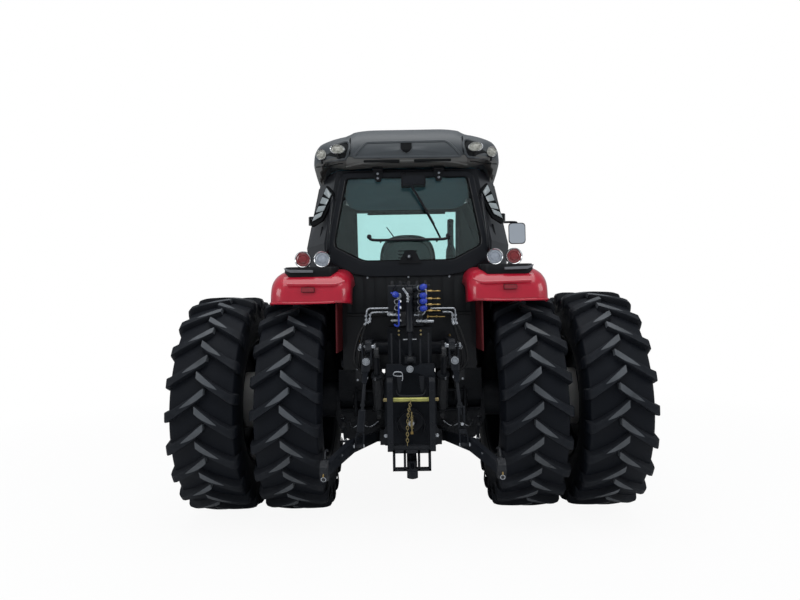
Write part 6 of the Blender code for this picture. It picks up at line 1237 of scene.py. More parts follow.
def hitchParts():
    iron, black, steel, yellow, gold = "castBlack", "frameBlack", "zincBright", "zincYellow", "goldChain"
    parts = []
    add = parts.append
    side = softCorners(mm((-800, 600), (-690, 600), (-690, 1115), (-770, 1115), (-800, 1085)), 0.008)
    for sign in (1, -1):
        low, high = sorted((sign * 0.127, sign * 0.169))
        add(plate(side, "X", low, high, iron))
        flange = softCorners(mm((166, 640), (196, 660), (196, 740), (166, 780)), 0.008) * (sign, 1)
        add(plate(flange, "Y", -0.735, -0.705, black))
        parts += bolt((sign * 0.182, -0.735, 0.7), rearward, 0.01, steel)
        for height in (0.66, 0.8, 1.02):
            parts += bolt((sign * 0.148, -0.8, height), rearward, 0.009, black)
        add(bar((sign * 0.168, -0.76, 0.958), (sign * 0.196, -0.76, 0.958), 0.0135, gold, 16))
        add(disc(0.012, 0.012, (sign * 0.178, -0.76, 0.958), (sign, 0, 0), gold))
        strap = softCorners(mm((60, 1120), (98, 1120), (92, 1030), (80, 1000), (68, 1030)), 0.008) * (sign, 1)
        add(plate(strap, "Y", -0.745, -0.715, black))
        for height in (1.442, 1.414):
            add(turned(mm((0, 0), (8.5, 0), (8.5, 10), (5, 16), (0, 17)), (sign * 0.079, -0.688, height), rearward,
                    gold, 10))
        for x, top, radius in ((0.133, 1.425, 0.0075), (0.074, 1.38, 0.0065)):
            add(bar((sign * x, -0.705, 1.125), (sign * x, -0.7, top), radius, black, 10))
            add(disc(0.011, 0.012, (sign * x, -0.7045, 1.15), upward, steel))
        leg = softBox(0.116, 0.47, 0.134, 0.612, 0.004, 3) * (sign, 1)
        add(plate(leg, "Y", -0.8, -0.745, iron))
        cheek = softBox(0.041, 0.47, 0.058, 0.612, 0.004, 3) * (sign, 1)
        add(plate(cheek, "Y", -0.8, -0.745, iron))
    head = softCorners(mirrored((50, 1190), (70, 1205), (172, 1205), (172, 1115), (118, 1108), (52, 1142)), 0.006, 5)
    add(plate(head, "Y", -0.735, -0.692, iron))
    for low, high in ((0.59, 0.612), (0.466, 0.482)):
        add(box((-0.134, -0.8, low), (0.134, -0.745, high), iron))
    add(box((-0.134, -0.79, 0.612), (0.134, -0.742, 0.64), iron))
    add(tube(mm((-126, -760, 958), (126, -760, 958)), 0.0165, yellow, 20))
    parts += bolt((-0.004, -0.735, 1.17), rearward, 0.019, steel, 0.018)
    clip = mm((-60, -800, 1128), (-100, -806, 1130), (-121, -806, 1140), (-112, -806, 1156), (-80, -806, 1158),
            (-60, -806, 1150), (-56, -802, 1120), (-60, -800, 1095))
    add(tube(clip, 0.0038, steel, smooth=48))
    sway = mm((-105, -735, 1022), (-95, -752, 995), (-60, -762, 985), (60, -762, 985), (95, -752, 995), (105, -735, 1022))
    add(tube(sway, 0.006, black, smooth=30))
    link = [(0.0085 * cos(a), 0.014 * sin(a)) for a in np.linspace(0, tau, 13)[:-1]]
    run = curveThrough(mm((-4, -782, 940), (-20, -792, 860), (-28, -800, 760), (-30, -812, 660)), 15)
    for number, place in enumerate(run):
        ring = np.array([(u, 0, v) if number % 2 else (0, u, v) for u, v in link]) + place
        add(tube(ring, 0.003, gold, 6, closed=True))
    spring = np.linspace(0, 9 * tau, 160)
    coil = np.column_stack([0.003 + 0.01 * np.cos(spring), -0.806 + 0.01 * np.sin(spring),
            0.85 - 0.085 * spring / spring[-1]])
    add(tube(coil, 0.0024, gold, 6))
    add(bar((0.003, -0.806, 0.88), (0.003, -0.806, 0.735), 0.005, gold, 8))
    add(disc(0.012, 0.016, (0.003, -0.806, 0.725), upward, "brass"))
    guard = [(0.098 * cos(a), 0.76 + 0.098 * sin(a)) for a in np.linspace(-0.45, pi + 0.45, 26)]
    shield = np.array([(x, -0.64, z) for x, z in guard])
    add(sweepAlong(shield, stripOf(0.052, 0.003), black, across=ahead))
    flange = mm((0, 0), (88, 0), (90, 6), (90, 16), (70, 24), (44, 26), (40, 18), (0, 18))
    add(turned(flange, (0, -0.46, 0.76), rearward, black, 40))
    return parts


def drawbarParts():
    iron, gold = "castBlack", "goldChain"
    y0, y1 = -0.985, -0.82
    slotEnd = 0.012  # radius of the slot's round ends
    around = np.linspace(0, tau, 25)[:-1] + 0.001
    hole = np.array([(slotEnd * cos(a), (y1 - slotEnd if sin(a) > 0 else y0 + slotEnd) + slotEnd * sin(a)) for a in around])
    turns = np.unwrap(np.arctan2(hole[:, 1] - (y0 + y1) / 2, hole[:, 0]))
    # each point of the slot's edge looks outward to the bar's edge along its own direction
    near = np.array([(0.036 * np.sign(c) * min(1, abs(c) * 3.0), y) for (_, y), c in zip(hole, np.cos(turns))])
    near[:, 1] = np.where(np.abs(near[:, 0]) < 0.0355, np.where(hole[:, 1] > (y0 + y1) / 2, -0.79, -1.02), hole[:, 1])
    top, low = 0.53, 0.486
    rows = [setAt(loop, "Z", z) for loop, z in ((hole, top), (near, top), (near, low), (hole, low))]
    parts = [surface(np.array(rows), iron, closeRows=True, closeColumns=True)]
    parts.append(plate(softBox(-0.036, -0.79, 0.036, -0.05, 0.004, 3), "Z", low, top, iron))
    tip = curveThrough(mm((-36, -1020), (-34, -1038), (-18, -1058), (0, -1062), (18, -1058), (34, -1038), (36, -1020)), 18)
    parts.append(plate(tip, "Z", low, top, iron))
    parts.append(bar((0.0, -1.035, 0.48), (0.0, -1.035, 0.5), 0.01, gold, 10))
    return parts


makePiece("hitchFrame", hitchParts(), "chassis", ("hitch_frame",), bevel=0.002)
makePiece("drawbarSlotted", drawbarParts(), "chassis", ("drawbar",), bevel=0.0015)


# lift linkage

def liftArmFittings():
    steel, iron = "zincBright", "castBlack"
    parts = [bar((0.254, -0.76, 1.335), (0.35, -0.76, 1.335), 0.0135, steel, 16)]
    for x, way in ((0.258, -1), (0.346, 1)):
        parts.append(turned(mm((0, 0), (21, 0), (21, 12), (12, 16), (0, 16)), (x, -0.76, 1.335), (way, 0, 0), steel, 6))
    parts.append(ringOf(0.014, 0.002, 0.002, (0.354, -0.775, 1.325), (0.3, 1, 0), steel, 18))
    boss = mm((0, -50), (52, -50), (56, -42), (56, 34), (50, 42), (0, 42))
    parts.append(turned(boss, (0.295, -0.36, 1.3), rightward, iron, 28))
    parts += bolt((0.337, -0.36, 1.3), rightward, 0.02, steel)
    return parts


def liftRodParts(slotted):
    # upper block on the arm's pin, screwed rod, adjuster box or slotted strap, and the fork on the lower link
    steel, iron, black = "zincBright", "castBlack", "frameBlack"
    top, foot = np.array((0.302, -0.76, 1.335)), np.array((0.362, -0.86, 0.66))
    def at(z):
        return top + (foot - top) * (1.335 - z) / 0.675
    def rows(stations):
        loops = []
        for z, wide, deep in stations:
            loop = softBox(-wide, -deep, wide, deep, min(wide, deep) * 0.5, 4)
            loops.append(np.column_stack([loop, np.zeros(len(loop))]) + at(z))
        return surface(np.array(loops), iron, closeColumns=True, caps=True)
    parts = []
    add = parts.append
    for sign in (1, -1):
        cheek = at(1.28) + (sign * 0.03, 0, 0)
        outline = softCorners(mm((-26, 85), (26, 85), (24, -80), (-24, -80)), 0.022, 6) + (cheek[1], cheek[2])
        add(plate(outline, "X", *sorted((cheek[0] - 0.005, cheek[0] + 0.005)), iron))
    add(rows(mm((1262, 30, 22), (1255, 34, 26), (1165, 30, 30), (1155, 22, 22), (1120, 18, 18), (1085, 18, 18),
            (1080, 13, 13))))
    face = at(1.232) + (0, -0.03, 0)
    parts += bolt(face, (0, -1, 0.1), 0.02, steel, 0.02)
    add(bar(at(1.255) + (-0.03, 0, 0), at(1.255) + (0.03, 0, 0), 0.01, steel))
    add(bar(at(1.09), at(0.86), 0.0125, black, 14))
    add(disc(0.019, 0.018, at(0.925), (0, 0.15, 1), iron))
    if slotted:
        for sign in (1, -1):
            strap = at(0.83)
            add(plate(softCorners(mm((-10, 90), (10, 90), (12, -90), (-12, -90)), 0.008) + (strap[1], strap[2]), "X",
                    strap[0] + sign * 0.018 - 0.006,
                               strap[0] + sign * 0.018 + 0.006, iron))
        add(rows(mm((925, 24, 14), (905, 24, 14))))
        add(rows(mm((765, 26, 16), (735, 26, 16))))
        add(bar(at(0.8) + (0, 0.02, 0), at(0.8) + (0, -0.028, 0), 0.011, steel))
    else:
        add(rows(mm((905, 18, 14), (898, 26, 22), (760, 28, 24), (750, 20, 16))))
    for sign in (1, -1):
        arm = np.array([at(0.755) + (sign * 0.01, 0, 0), at(0.735) + (sign * 0.024, 0, 0),
                at(0.7) + (sign * 0.027, 0, 0), at(0.645) + (sign * 0.025, 0, 0)])
        add(sweepAlong(curveThrough(arm, 12), stripOf(0.016, 0.005), iron, across=ahead))
    add(bar((0.326, -0.86, 0.66), (0.396, -0.86, 0.66), 0.012, steel, 14))
    add(disc(0.018, 0.01, (0.392, -0.86, 0.66), rightward, steel))
    return parts


def lowerLinkFittings():
    # bright bolts along the bar, the claw hook at its end with a brass latch
    steel, iron, brass, black = "zincBright", "castBlack", "brass", "frameBlack"
    parts = []
    add = parts.append
    for x, y, z in ((0.445, -0.93, 0.655), (0.478, -1.045, 0.638)):
        parts += bolt((x - 0.004, y, z + 0.008), (-0.3, -1, 0.3), 0.015, steel, 0.014)
    claw = [(-1.25 + 0.052 * cos(a), 0.6 + 0.056 * sin(a)) for a in np.linspace(-2.6, 2.15, 30)]
    inner = [(-1.25 + 0.028 * cos(a), 0.6 + 0.028 * sin(a)) for a in np.linspace(2.0, -2.4, 26)]
    add(plate(np.array(claw + inner), "X", 0.531, 0.561, iron))
    add(plate(softCorners(mm((-1300, 640), (-1262, 668), (-1222, 662), (-1215, 630), (-1262, 622)), 0.012, 5), "X",
            0.536, 0.556, iron))
    add(ringOf(0.029, 0.004, 0.0115, (0.546, -1.25, 0.6), rightward, brass, 30, 10))
    lever = mm((545, -1235, 665), (548, -1200, 700), (546, -1150, 704), (542, -1120, 690))
    add(tube(lever, 0.006, black, 8, smooth=16))
    add(slab(mm((-1292, 556), (-1266, 536), (-1240, 540), (-1262, 562)), 0.006, "X", 0.5285, 0.5635, iron))
    add(bar((0.526, -1.285, 0.64), (0.566, -1.285, 0.64), 0.0065, brass, 10))
    add(bar((0.546, -1.3, 0.61), (0.546, -1.312, 0.575), 0.005, brass, 8))
    add(ringOf(0.014, 0.0025, 0.0025, (0.546, -1.306, 0.56), (0, 1, 0.3), steel, 20))
    ridge = mm((300, -400, 650), (350, -600, 668), (405, -800, 690))
    add(tube(curveThrough(ridge, 12), 0.007, iron, 8))
    return parts


def checkParts():
    # check rod from the axle housing to the lower link, and the loose pull ring beside it
    iron, steel, black = "castBlack", "zincBright", "frameBlack"
    parts = [bar((0.535, -0.3, 0.745), (0.47, -0.72, 0.66), 0.011, iron)]
    parts.append(turned(mm((0, 0), (20, 0), (20, 70), (12, 76), (0, 78)), (0.52, -0.42, 0.725), (-0.15, -1, -0.2),
            black, 16))
    for place in ((0.535, -0.3, 0.745), (0.472, -0.712, 0.662)):
        parts.append(ringOf(0.018, 0.006, 0.006, place, upward, iron, 18))
        parts += bolt(np.array(place) + (0, 0, 0.006), upward, 0.011, steel)
    return parts


def cylinderFittings():
    iron, steel = "castBlack", "zincBright"
    foot, eye = np.array((0.247, -0.3, 0.78)), np.array((0.247, -0.63, 1.285))
    along = unit(eye - foot)
    collar = mm((0, 0), (47, 0), (49, 4), (49, 22), (40, 30), (0, 30))
    parts = [turned(collar, foot + along * 0.375, along, iron, 28),
            disc(0.047, 0.014, foot + along * 0.06, along, iron, 28)]
    parts.append(bar(foot + along * 0.36 + (0.0, -0.036, 0), foot + along * 0.36 + (0.02, -0.06, 0.0), 0.011, steel))
    return parts


for side, sign in bothSides:
    makePiece(f"liftArmFittings_{side}", onSide(liftArmFittings(), sign), "lift_arms")
    makePiece(f"liftRod_{side}", onSide(liftRodParts(sign > 0), sign), "lift_rods", (f"lift_rod_{side}",),
            bevel=0.0015)
    makePiece(f"lowerLinkFittings_{side}", onSide(lowerLinkFittings(), sign), "lower_links")
    makePiece(f"checkRod_{side}", onSide(checkParts(), sign), "lower_links")
    makePiece(f"liftCylinderFittings_{side}", onSide(cylinderFittings(), sign), "lift_cylinders")


def topLinkParts():
    # eye, threaded ends, turned sleeve with its grip and the tommy bar, stowed upright
    black, steel = "frameBlack", "zincBright"
    foot, lean = np.array((0.0, -0.66, 1.229)), radians(4)
    along = np.array((0, sin(lean), cos(lean)))
    profile = mm((0, 26), (14, 26), (17.5, 50), (18, 190), (18, 195), (23, 200), (28, 206), (28, 235), (26.5, 240),
            (26.5, 430), (28, 435), (28, 465), (23, 470), (18, 474), (18, 478), (14, 480), (0, 480))
    parts = [turned(profile, foot, along, black, 24)]
    for distance in (0.0, 0.505):
        place = foot + along * distance
        ring = mm((12.5, -24), (25, -24), (27.5, -20), (27.5, 20), (25, 24), (12.5, 24))
        parts.append(turned(ring, place, rightward, black, 26, closed=True))
        parts.append(ringOf(0.0125, 0.004, 0.02, place, rightward, steel, 22, 12))
    parts.append(bar(foot + along * 0.15 + (-0.05, 0.0, 0), foot + along * 0.15 + (0.05, 0.0, 0), 0.005, steel, 8))
    return parts


makePiece("topLink", topLinkParts(), "top_link", ("top_link",))


def axleDetails():
    # cover plates, ribs and rings of bolts on the rear housing and on both axle trumpets
    iron, black, steel = "castBlack", "frameBlack", "zincBright"
    parts = []
    add = parts.append
    for sign in (1, -1):
        flange = mm((200, 0), (226, 0), (230, 6), (230, 20), (205, 26))
        add(turned([(r * 0.86, a) for r, a in flange], (sign * 0.43, 0.0, 0.865), (sign, 0, 0), iron, 48))
        for turn in np.arange(14) * tau / 14:
            parts += bolt((sign * 0.456, sin(turn) * 0.188, 0.865 + cos(turn) * 0.188), (sign, 0, 0), 0.01, black)
        for height, depth in ((0.945, -0.165), (0.785, -0.165)):
            add(bar((sign * 0.3, depth, height), (sign * 0.56, depth + 0.02, height), 0.012, iron, 10))
        sideBox = softBox(0.335, 1.04, 0.425, 1.155, 0.012) * (sign, 1)
        add(plate(sideBox, "Y", -0.34, -0.18, black))
        for x, z in ((0.35, 1.055), (0.41, 1.055), (0.35, 1.14), (0.41, 1.14)):
            parts += bolt((sign * x, -0.34, z), rearward, 0.006, steel)
        pair = ((sign * 0.385, 1.405), (sign * 0.392, 1.36)) if sign < 0 else ((0.305, 1.395),)
        for x, z in pair:
            add(turned(mm((0, 0), (10, 0), (10, 20), (6, 26), (0, 26)), (x, -0.4, z), (0.2 * sign, -1, 0.1), "brass", 8))
    for sign in (1, -1):
        under = softCorners(mm((190, 800), (605, 800), (605, 715), (570, 640), (520, 560), (440, 545), (380, 575),
                (300, 545), (190, 560)), 0.02, 5) * (sign, 1)
        add(plate(under, "Y", -0.15, 0.02, iron))
        for x, z in ((0.26, 0.655), (0.36, 0.685), (0.47, 0.71), (0.56, 0.745)):
            parts += bolt((sign * x, -0.15, z), rearward, 0.01, black)
        brake = mm((500, -160, 700), (470, -200, 660), (400, -210, 690), (330, -190, 660), (260, -170, 700))
        add(tube(np.array(brake) * (sign, 1, 1), 0.005, steel, 8, smooth=30))
    return parts


makePiece("axleDetails", axleDetails(), "chassis")
print("hitch and linkage built")


# cab inside

def pad(centre, half, square, material, grooves=0, grooveDepth=0.006, lean=0.0, rows=56, columns=72):
    # a crowned cushion: a rounded box |x|^p + |y|^p + |z|^p = 1 with sewn channels pressed in across its face
    v = np.linspace(-pi / 2, pi / 2, rows)[:, None]
    u = np.linspace(-pi, pi, columns, endpoint=False)[None, :]
    def power(values, share):
        return np.sign(values) * np.abs(values) ** share
    a, b = square
    x = power(np.cos(v), a) * power(np.cos(u), b)
    y = power(np.cos(v), a) * power(np.sin(u), b)
    z = power(np.sin(v), a) * np.ones_like(u)
    if grooves:
        press = np.maximum(0, np.cos(y * grooves * pi)) ** 14 * grooveDepth / half[2]
        z = z * (1 - press * (np.abs(x) < 0.66) * (z > 0))
    points = np.stack([x * half[0], y * half[1], z * half[2]], -1)
    points = points @ np.array(Matrix.Rotation(lean, 3, "X")).T + np.asarray(centre)
    return surface(points, material, closeColumns=True)


def seatPieces():
    cloth, border, shell = "seatCloth", "seatBorder", "seatShell"
    cushion = makePiece("seatCushion", [pad((0, 0.6, 1.615), (0.245, 0.265, 0.06), (0.35, 0.3), cloth, 2.5)], "chassis",
            ("seat",), angle=80)
    back = makePiece("seatBackPad", [pad((0, 0.345, 1.93), (0.205, 0.3, 0.06), (0.4, 0.32), cloth, 2.5, 0.008,
            radians(98))], "chassis", angle=80)
    head = makePiece("seatHeadPad", [pad((0, 0.3, 2.205), (0.12, 0.044, 0.036), (0.45, 0.45), cloth, 0, 0,
            radians(98))], "chassis", angle=80)
    # shell behind the back pad: a dished plate with a darker rolled border
    outline = curveThrough(mm((-215, 1660), (-238, 1800), (-248, 1980), (-240, 2120), (-195, 2215), (-110, 2258),
            (0, 2268), (110, 2258), (195, 2215), (240, 2120), (248, 1980), (238, 1800), (215, 1660), (0, 1645)), 72,
            closed=True)
    def leaning(loop, depth):
        return np.column_stack([loop[:, 0], 0.325 - (loop[:, 1] - 1.65) * 0.135 - depth, loop[:, 1]])
    middle = np.array((0.0, 1.95))
    rows = [leaning(middle + (outline - middle) * share, depth) for share, depth in
            ((1.0, -0.03), (1.0, 0.0), (0.95, 0.016), (0.86, 0.02), (0.82, 0.01), (0.6, 0.016), (0.3, 0.02), (0.03, 0.021))]
    shellPart = loft(rows, shell)
    trim = tube(leaning(middle + (outline - middle) * 0.955, 0.013), 0.011, border, closed=True)
    slots = []
    for height in (2.125, 2.095, 2.065):
        slot = softBox(-0.085, height - 0.008, 0.085, height + 0.008, 0.006)
        slots.append(plate(slot, "Y", 0.325 - (height - 1.65) * 0.135 - 0.022, 0.27, "gasket"))
    makePiece("seatShell", [shellPart, trim, *slots], "chassis")
    rests = []
    for sign in (1, -1):
        rests.append(pad((sign * 0.275, 0.56, 1.835), (0.042, 0.17, 0.03), (0.4, 0.35), border, 0))
        rests.append(bar((sign * 0.262, 0.4, 1.7), (sign * 0.272, 0.46, 1.82), 0.018, "mouldBlack"))
    armrests = makePiece("seatArmrests", rests[::2], "chassis", angle=80)
    makePiece("seatArmPosts", rests[1::2], "chassis")
    parts = []
    boot = curveThrough(mm((200, 1180), (215, 1220), (195, 1260), (215, 1300), (195, 1340), (215, 1380), (195, 1420),
            (210, 1460), (200, 1530), (215, 1550)), 60)
    square = softBox(-1, -0.86, 1, 0.86, 0.35, 6)
    rows = np.array([setAt(square * half + (0, 0.52), "Z", z) for half, z in boot])
    parts.append(loft(rows, "hoseBlack"))
    makePiece("seatBoot", parts, "chassis", ("seat_base",))


def consoleInside():
    mould, black, grey = "mouldBlack", "cabBlack", "seatShell"
    parts = []
    add = parts.append
    side = softCorners(mm((20, 1160), (950, 1160), (1020, 1500), (950, 1720), (550, 1800), (200, 1800), (20, 1720)),
            0.05, 6)
    add(plate(side, "X", 0.355, 0.515, mould))
    add(plate(softCorners(mm((220, 1795), (600, 1795), (880, 1735), (880, 1745), (600, 1808), (220, 1808)), 0.004, 3),
            "X", 0.37, 0.5, grey))
    for x, y, tall, kind in ((0.4, 0.62, 0.1, "lensAmber"), (0.435, 0.62, 0.1, "capBlue"),
            (0.47, 0.62, 0.1, "markerGrey"), (0.42, 0.76, 0.13, "gasket")):
        add(bar((x, y, 1.77), (x, y + 0.02, 1.79 + tall), 0.005, black, 8))
        ball = [(0.014 * sin(a), -0.014 * cos(a)) for a in np.linspace(0, pi, 8)]
        add(turned(ball, (x, y + 0.02, 1.8 + tall), upward, kind, 14))
    grip = curveThrough(mm((0, -50), (20, -45), (24, -10), (19, 30), (24, 60), (18, 80), (0, 85)), 24)
    add(turned(np.abs(grip) * (1, 1) * np.sign(np.column_stack([np.ones(24), grip[:, 1] + 1e-6])), (0.44, 0.86, 1.9),
            (0, -0.15, 1), black, 18))
    display = softBox(0.3, 1.98, 0.5, 2.12, 0.012)
    add(plate(display, "Y", 1.085, 1.115, mould))
    # the screen face, in the same near-black as the painted-shade recesses
    add(plate(softBox(0.312, 1.992, 0.488, 2.108, 0.006, 3), "Y", 1.081, 1.087, "recessDark"))
    add(bar((0.4, 1.1, 1.74), (0.4, 1.1, 1.99), 0.012, black, 10))
    return parts


def steeringParts():
    mould, black, grey = "mouldBlack", "gasket", "seatShell"
    parts = []
    add = parts.append
    rows = []
    for z, wide, back, front in ((1.162, 0.19, 1.23, 1.42), (1.5, 0.18, 1.25, 1.425), (1.74, 0.19, 1.235, 1.425),
            (1.83, 0.205, 1.205, 1.425), (1.885, 0.2, 1.21, 1.42), (1.905, 0.17, 1.25, 1.4)):
        loop = softBox(-wide, back, wide, front, 0.05, 5)
        rows.append(setAt(loop, "Z", z))
    add(loft(rows, mould))
    # the instrument panel face, in the same near-black as the painted-shade recesses
    add(plate(softCorners(mm((-150, 1780), (150, 1780), (165, 1865), (-165, 1865)), 0.02, 5), "Y", 1.198, 1.23,
            "recessDark"))
    for x in (-0.085, 0.0, 0.085):
        add(turned(mm((0, 0), (32, 0), (34, 3), (30, 6), (27, 3), (0, 3)), (x, 1.198, 1.822), (0, -1, 0.1), grey, 28))
    hub, along = np.array((0.0, 1.08, 2.02)), np.array((0.0, -0.14, 0.12)) / hypot(0.14, 0.12)
    add(bar(hub - along * 0.22, hub - along * 0.01, 0.026, mould, 18, 0.02))
    _, first, second = squareAxes(along)
    turn = np.linspace(0, tau, 64, endpoint=False)
    rim = hub + 0.178 * (np.cos(turn)[:, None] * first + np.sin(turn)[:, None] * second)
    add(tube(rim, 0.0135, black, 14, closed=True))
    add(turned(mm((0, -20), (45, -20), (52, -5), (48, 12), (30, 20), (0, 22)), hub, along, mould, 30))
    for angle in (0.5, 2.6, 4.71):
        way = cos(angle) * first + sin(angle) * second
        spoke = np.array([hub + way * reach - along * sink for reach, sink in ((0.035, 0.006), (0.1, 0.016),
                (0.165, 0.004))])
        add(sweepAlong(curveThrough(spoke, 10), circleOf(1, 10) * (0.016, 0.006), mould, across=np.cross(way, along)))
    add(tube((hub - along * 0.08, hub - along * 0.06 + (0.08, 0, 0.01), hub - along * 0.05 + (0.15, 0, 0.02)),
            (0.006, 0.006, 0.009), black, 8, smooth=10))
    for x, z in ((-0.12, 1.2), (0.1, 1.2), (0.16, 1.2)):
        add(plate(softBox(x - 0.035, z, x + 0.035, z + 0.09, 0.012), "Y", 1.145, 1.16, "rubberMat"))
        add(bar((x, 1.155, z + 0.05), (x, 1.24, z + 0.16), 0.01, mould, 8))
    return parts


def cabInsideTrim():
    # headliner with a raised middle, sun blind across the front, hand rails on the pillars, lining on the wheel boxes
    lining, mould = "liningGrey", "mouldBlack"
    parts = []
    add = parts.append
    outline = softCorners(mirrored((500, -60), (600, 120), (600, 1200), (520, 1320)), 0.07, 5)
    middle = outline.mean(axis=0)
    rows = [setAt(middle + (outline - middle) * share, "Z", z) for share, z in ((1.0, 2.735), (0.99, 2.7),
            (0.93, 2.685), (0.8, 2.69), (0.74, 2.705), (0.05, 2.708))]
    add(loft(rows, lining))
    blind = np.array([(x, 1.335, 2.665) for x in (-0.42, 0.0, 0.42)])
    add(tube(blind, 0.02, "seatBorder", 14))
    for sign in (1, -1):
        rail = mm((560, 1300, 2450), (545, 1275, 2430), (545, 1285, 2200), (562, 1330, 2170)) * (sign, 1, 1)
        add(tube(rail, 0.011, mould, smooth=20))
        lining = softCorners(mm((-130, 1165), (900, 1165), (860, 1550), (560, 1740), (0, 1845), (-130, 1845)), 0.05, 5)
        add(plate(lining, "X", *sorted((sign * 0.524, sign * 0.5395)), mould))
    return parts


seatPieces()
makePiece("sideConsole", consoleInside(), "chassis", bevel=0.003)
makePiece("steeringStand", steeringParts(), "chassis", ("steering_console",), bevel=0.0015)
makePiece("cabLining", cabInsideTrim(), "chassis")
print("cab inside built")


# doors, mirrors and pillars

def cabSideX(z):
    return np.interp(z, (1.12, 2.15, 2.75), (0.78, 0.865, 0.745))


def doorFittings():
    mould, gasket, steel = "mouldBlack", "gasket", "zincBright"
    def onSideWall(points, proud):
        points = np.asarray(points, float)
        return np.column_stack([cabSideX(points[:, 1]) + proud, points])
    outline = softCorners(mm((590, 2655), (590, 1775), (812, 1775), (912, 1575), (1015, 1385), (1325, 1385),
            (1325, 2150), (1218, 2655)), 0.05, 6)
    parts = [sweepAlong(onSideWall(outline, 0.004), circleOf(1, 8) * (0.006, 0.01), gasket, closed=True, across=rightward)]
    add = parts.append
    handle = onSideWall(mm((645, 1800), (645, 1860), (645, 1920)), 0.006)
    add(sweepAlong(handle, mm((0, -34), (14, -34), (20, -24), (20, 24), (14, 34), (0, 34)), mould, across=rightward))
    grab = onSideWall(mm((650, 1810), (662, 1870), (650, 1930)), 0.03)
    add(tube(grab, 0.008, "cabBlack", smooth=14))
    add(turned(mm((0, 0), (12, 0), (12, 4), (0, 5)), (float(cabSideX(1.83)) + 0.022, 0.628, 1.83), rightward, steel, 16))
    rail = onSideWall(mm((1200, 1500), (1205, 1750), (1215, 2050)), -0.085)
    add(tube(rail, 0.01, mould, smooth=16))
    return parts


def mirrorParts(folded):
    # arm of bent tube, rounded housing, mirror face set into its rim
    mould, face = "mouldBlack", "mirrorFace"
    if folded:
        arm = ((-0.69, 1.385, 2.45), (-0.716, 1.42, 2.5), (-0.722, 1.52, 2.54), (-0.722, 1.66, 2.585), (-0.722, 1.68, 2.55))
        centre, wide, axis = np.array((-0.72, 1.68, 2.443)), ahead, np.array((1.0, 0, 0))
    else:
        arm = ((0.7, 1.385, 2.5), (0.8, 1.42, 2.545), (1.0, 1.46, 2.563), (1.2, 1.49, 2.568), (1.222, 1.495, 2.545))
        centre, wide, axis = np.array((1.222, 1.5, 2.443)), rightward, np.array((0, -1.0, 0))
    parts = [tube(arm, 0.0125, mould, 12, smooth=36)]
    outline = softBox(-0.094, -0.118, 0.094, 0.118, 0.045, 7)
    wide = np.array(wide, float)
    def loop(share, depth):
        return centre + outline[:, :1] * wide * share + outline[:, 1:] * share * np.array((0, 0, 1.0)) + axis * depth
    rows = [loop(share, depth) for share, depth in ((0.05, -0.028), (0.55, -0.027), (0.85, -0.02), (0.97, -0.004),
            (1.0, 0.012), (0.985, 0.024), (0.945, 0.025), (0.925, 0.018))]
    parts.append(loft(rows, mould))
    parts.append(surface(np.array([loop(share, depth) for share, depth in ((0.935, 0.017), (0.92, 0.0205),
            (0.5, 0.0205), (0.04, 0.0205))]), face, closeColumns=True, caps=True))
    return parts


def cabOutsideTrim():
    # front wiper, grab rails by the doors, seals round the side panes
    mould, gasket, black = "mouldBlack", "gasket", "cabBlack"
    parts = []
    add = parts.append
    add(tube(mm((100, 1560, 2020), (50, 1552, 2150), (-120, 1528, 2400)), (0.01, 0.008, 0.006), mould, 8, smooth=14))
    add(tube(mm((-20, 1545, 2260), (-120, 1530, 2400), (-220, 1512, 2540)), 0.006, gasket, 8))
    add(turned(mm((0, 0), (20, 0), (20, 18), (0, 22)), (0.1, 1.525, 2.02), ahead, mould, 18))
    for sign in (1, -1):
        rail = mm((790, 1370, 1500), (850, 1395, 1520), (862, 1395, 1800), (830, 1385, 2080),
                (760, 1370, 2100)) * (sign, 1, 1)
        add(tube(rail, 0.012, black, 12, smooth=40))
        quarter = softCorners(mm((170, 2655), (135, 2160), (135, 2035), (485, 2035), (485, 2655)), 0.03, 5)
        loop = np.column_stack([sign * (cabSideX(quarter[:, 1]) + 0.003), quarter])
        add(sweepAlong(loop, circleOf(1, 8) * (0.005, 0.011), gasket, closed=True, across=rightward))
    return parts


for side, sign in bothSides:
    makePiece(f"doorFittings_{side}", onSide(doorFittings(), sign), f"door_{side}")
    makePiece(f"mirror_{side}Visual", mirrorParts(sign < 0), "chassis", (f"mirror_{side}",))
makePiece("cabTrim", cabOutsideTrim(), "chassis")
print("doors and mirrors built")


# hood, exhaust, weights, tanks

def hoodSection(y, half, top, bottom, shoulder):
    # upright sides joined over the top by rounded shoulders, with a slight crown across the middle
    outline = np.array(((-half, bottom), (-half - 0.001, (bottom + top) / 2), (-half + shoulder * 0.18, top - shoulder),
            (-half + shoulder, top - 0.006), (0.0, top + 0.004),
                        (half - shoulder, top - 0.006), (half - shoulder * 0.18, top - shoulder),
                        (half + 0.001, (bottom + top) / 2), (half, bottom)))
    line = softCorners(outline, 0.1, 7, closed=False)
    return setAt(line, "Y", y)


def hoodParts():
    red = "redPaint"
    stations = np.array(((1.622, 0.4, 1.955, 0.1), (2.1, 0.388, 1.893, 0.1), (2.7, 0.366, 1.81, 0.1),
            (3.2, 0.344, 1.722, 0.1), (3.38, 0.33, 1.675, 0.1), (3.5, 0.302, 1.612, 0.09),
                         (3.548, 0.27, 1.565, 0.08)))
    dense = curveThrough(stations, 60)
    rows = np.array([hoodSection(y, half, top, 1.205, shoulder) for y, half, top, shoulder in dense])
    skin = surface(rows, red)
    last, middle = rows[-1], np.array((0.0, 3.556, 1.36))
    shares = np.array(((1.0, 1.0, 1.0), *((share, 0.2, share) for share in (0.97, 0.9, 0.6, 0.3, 0.03))))
    return [skin, surface(middle + (last - middle) * shares[:, None], red)]


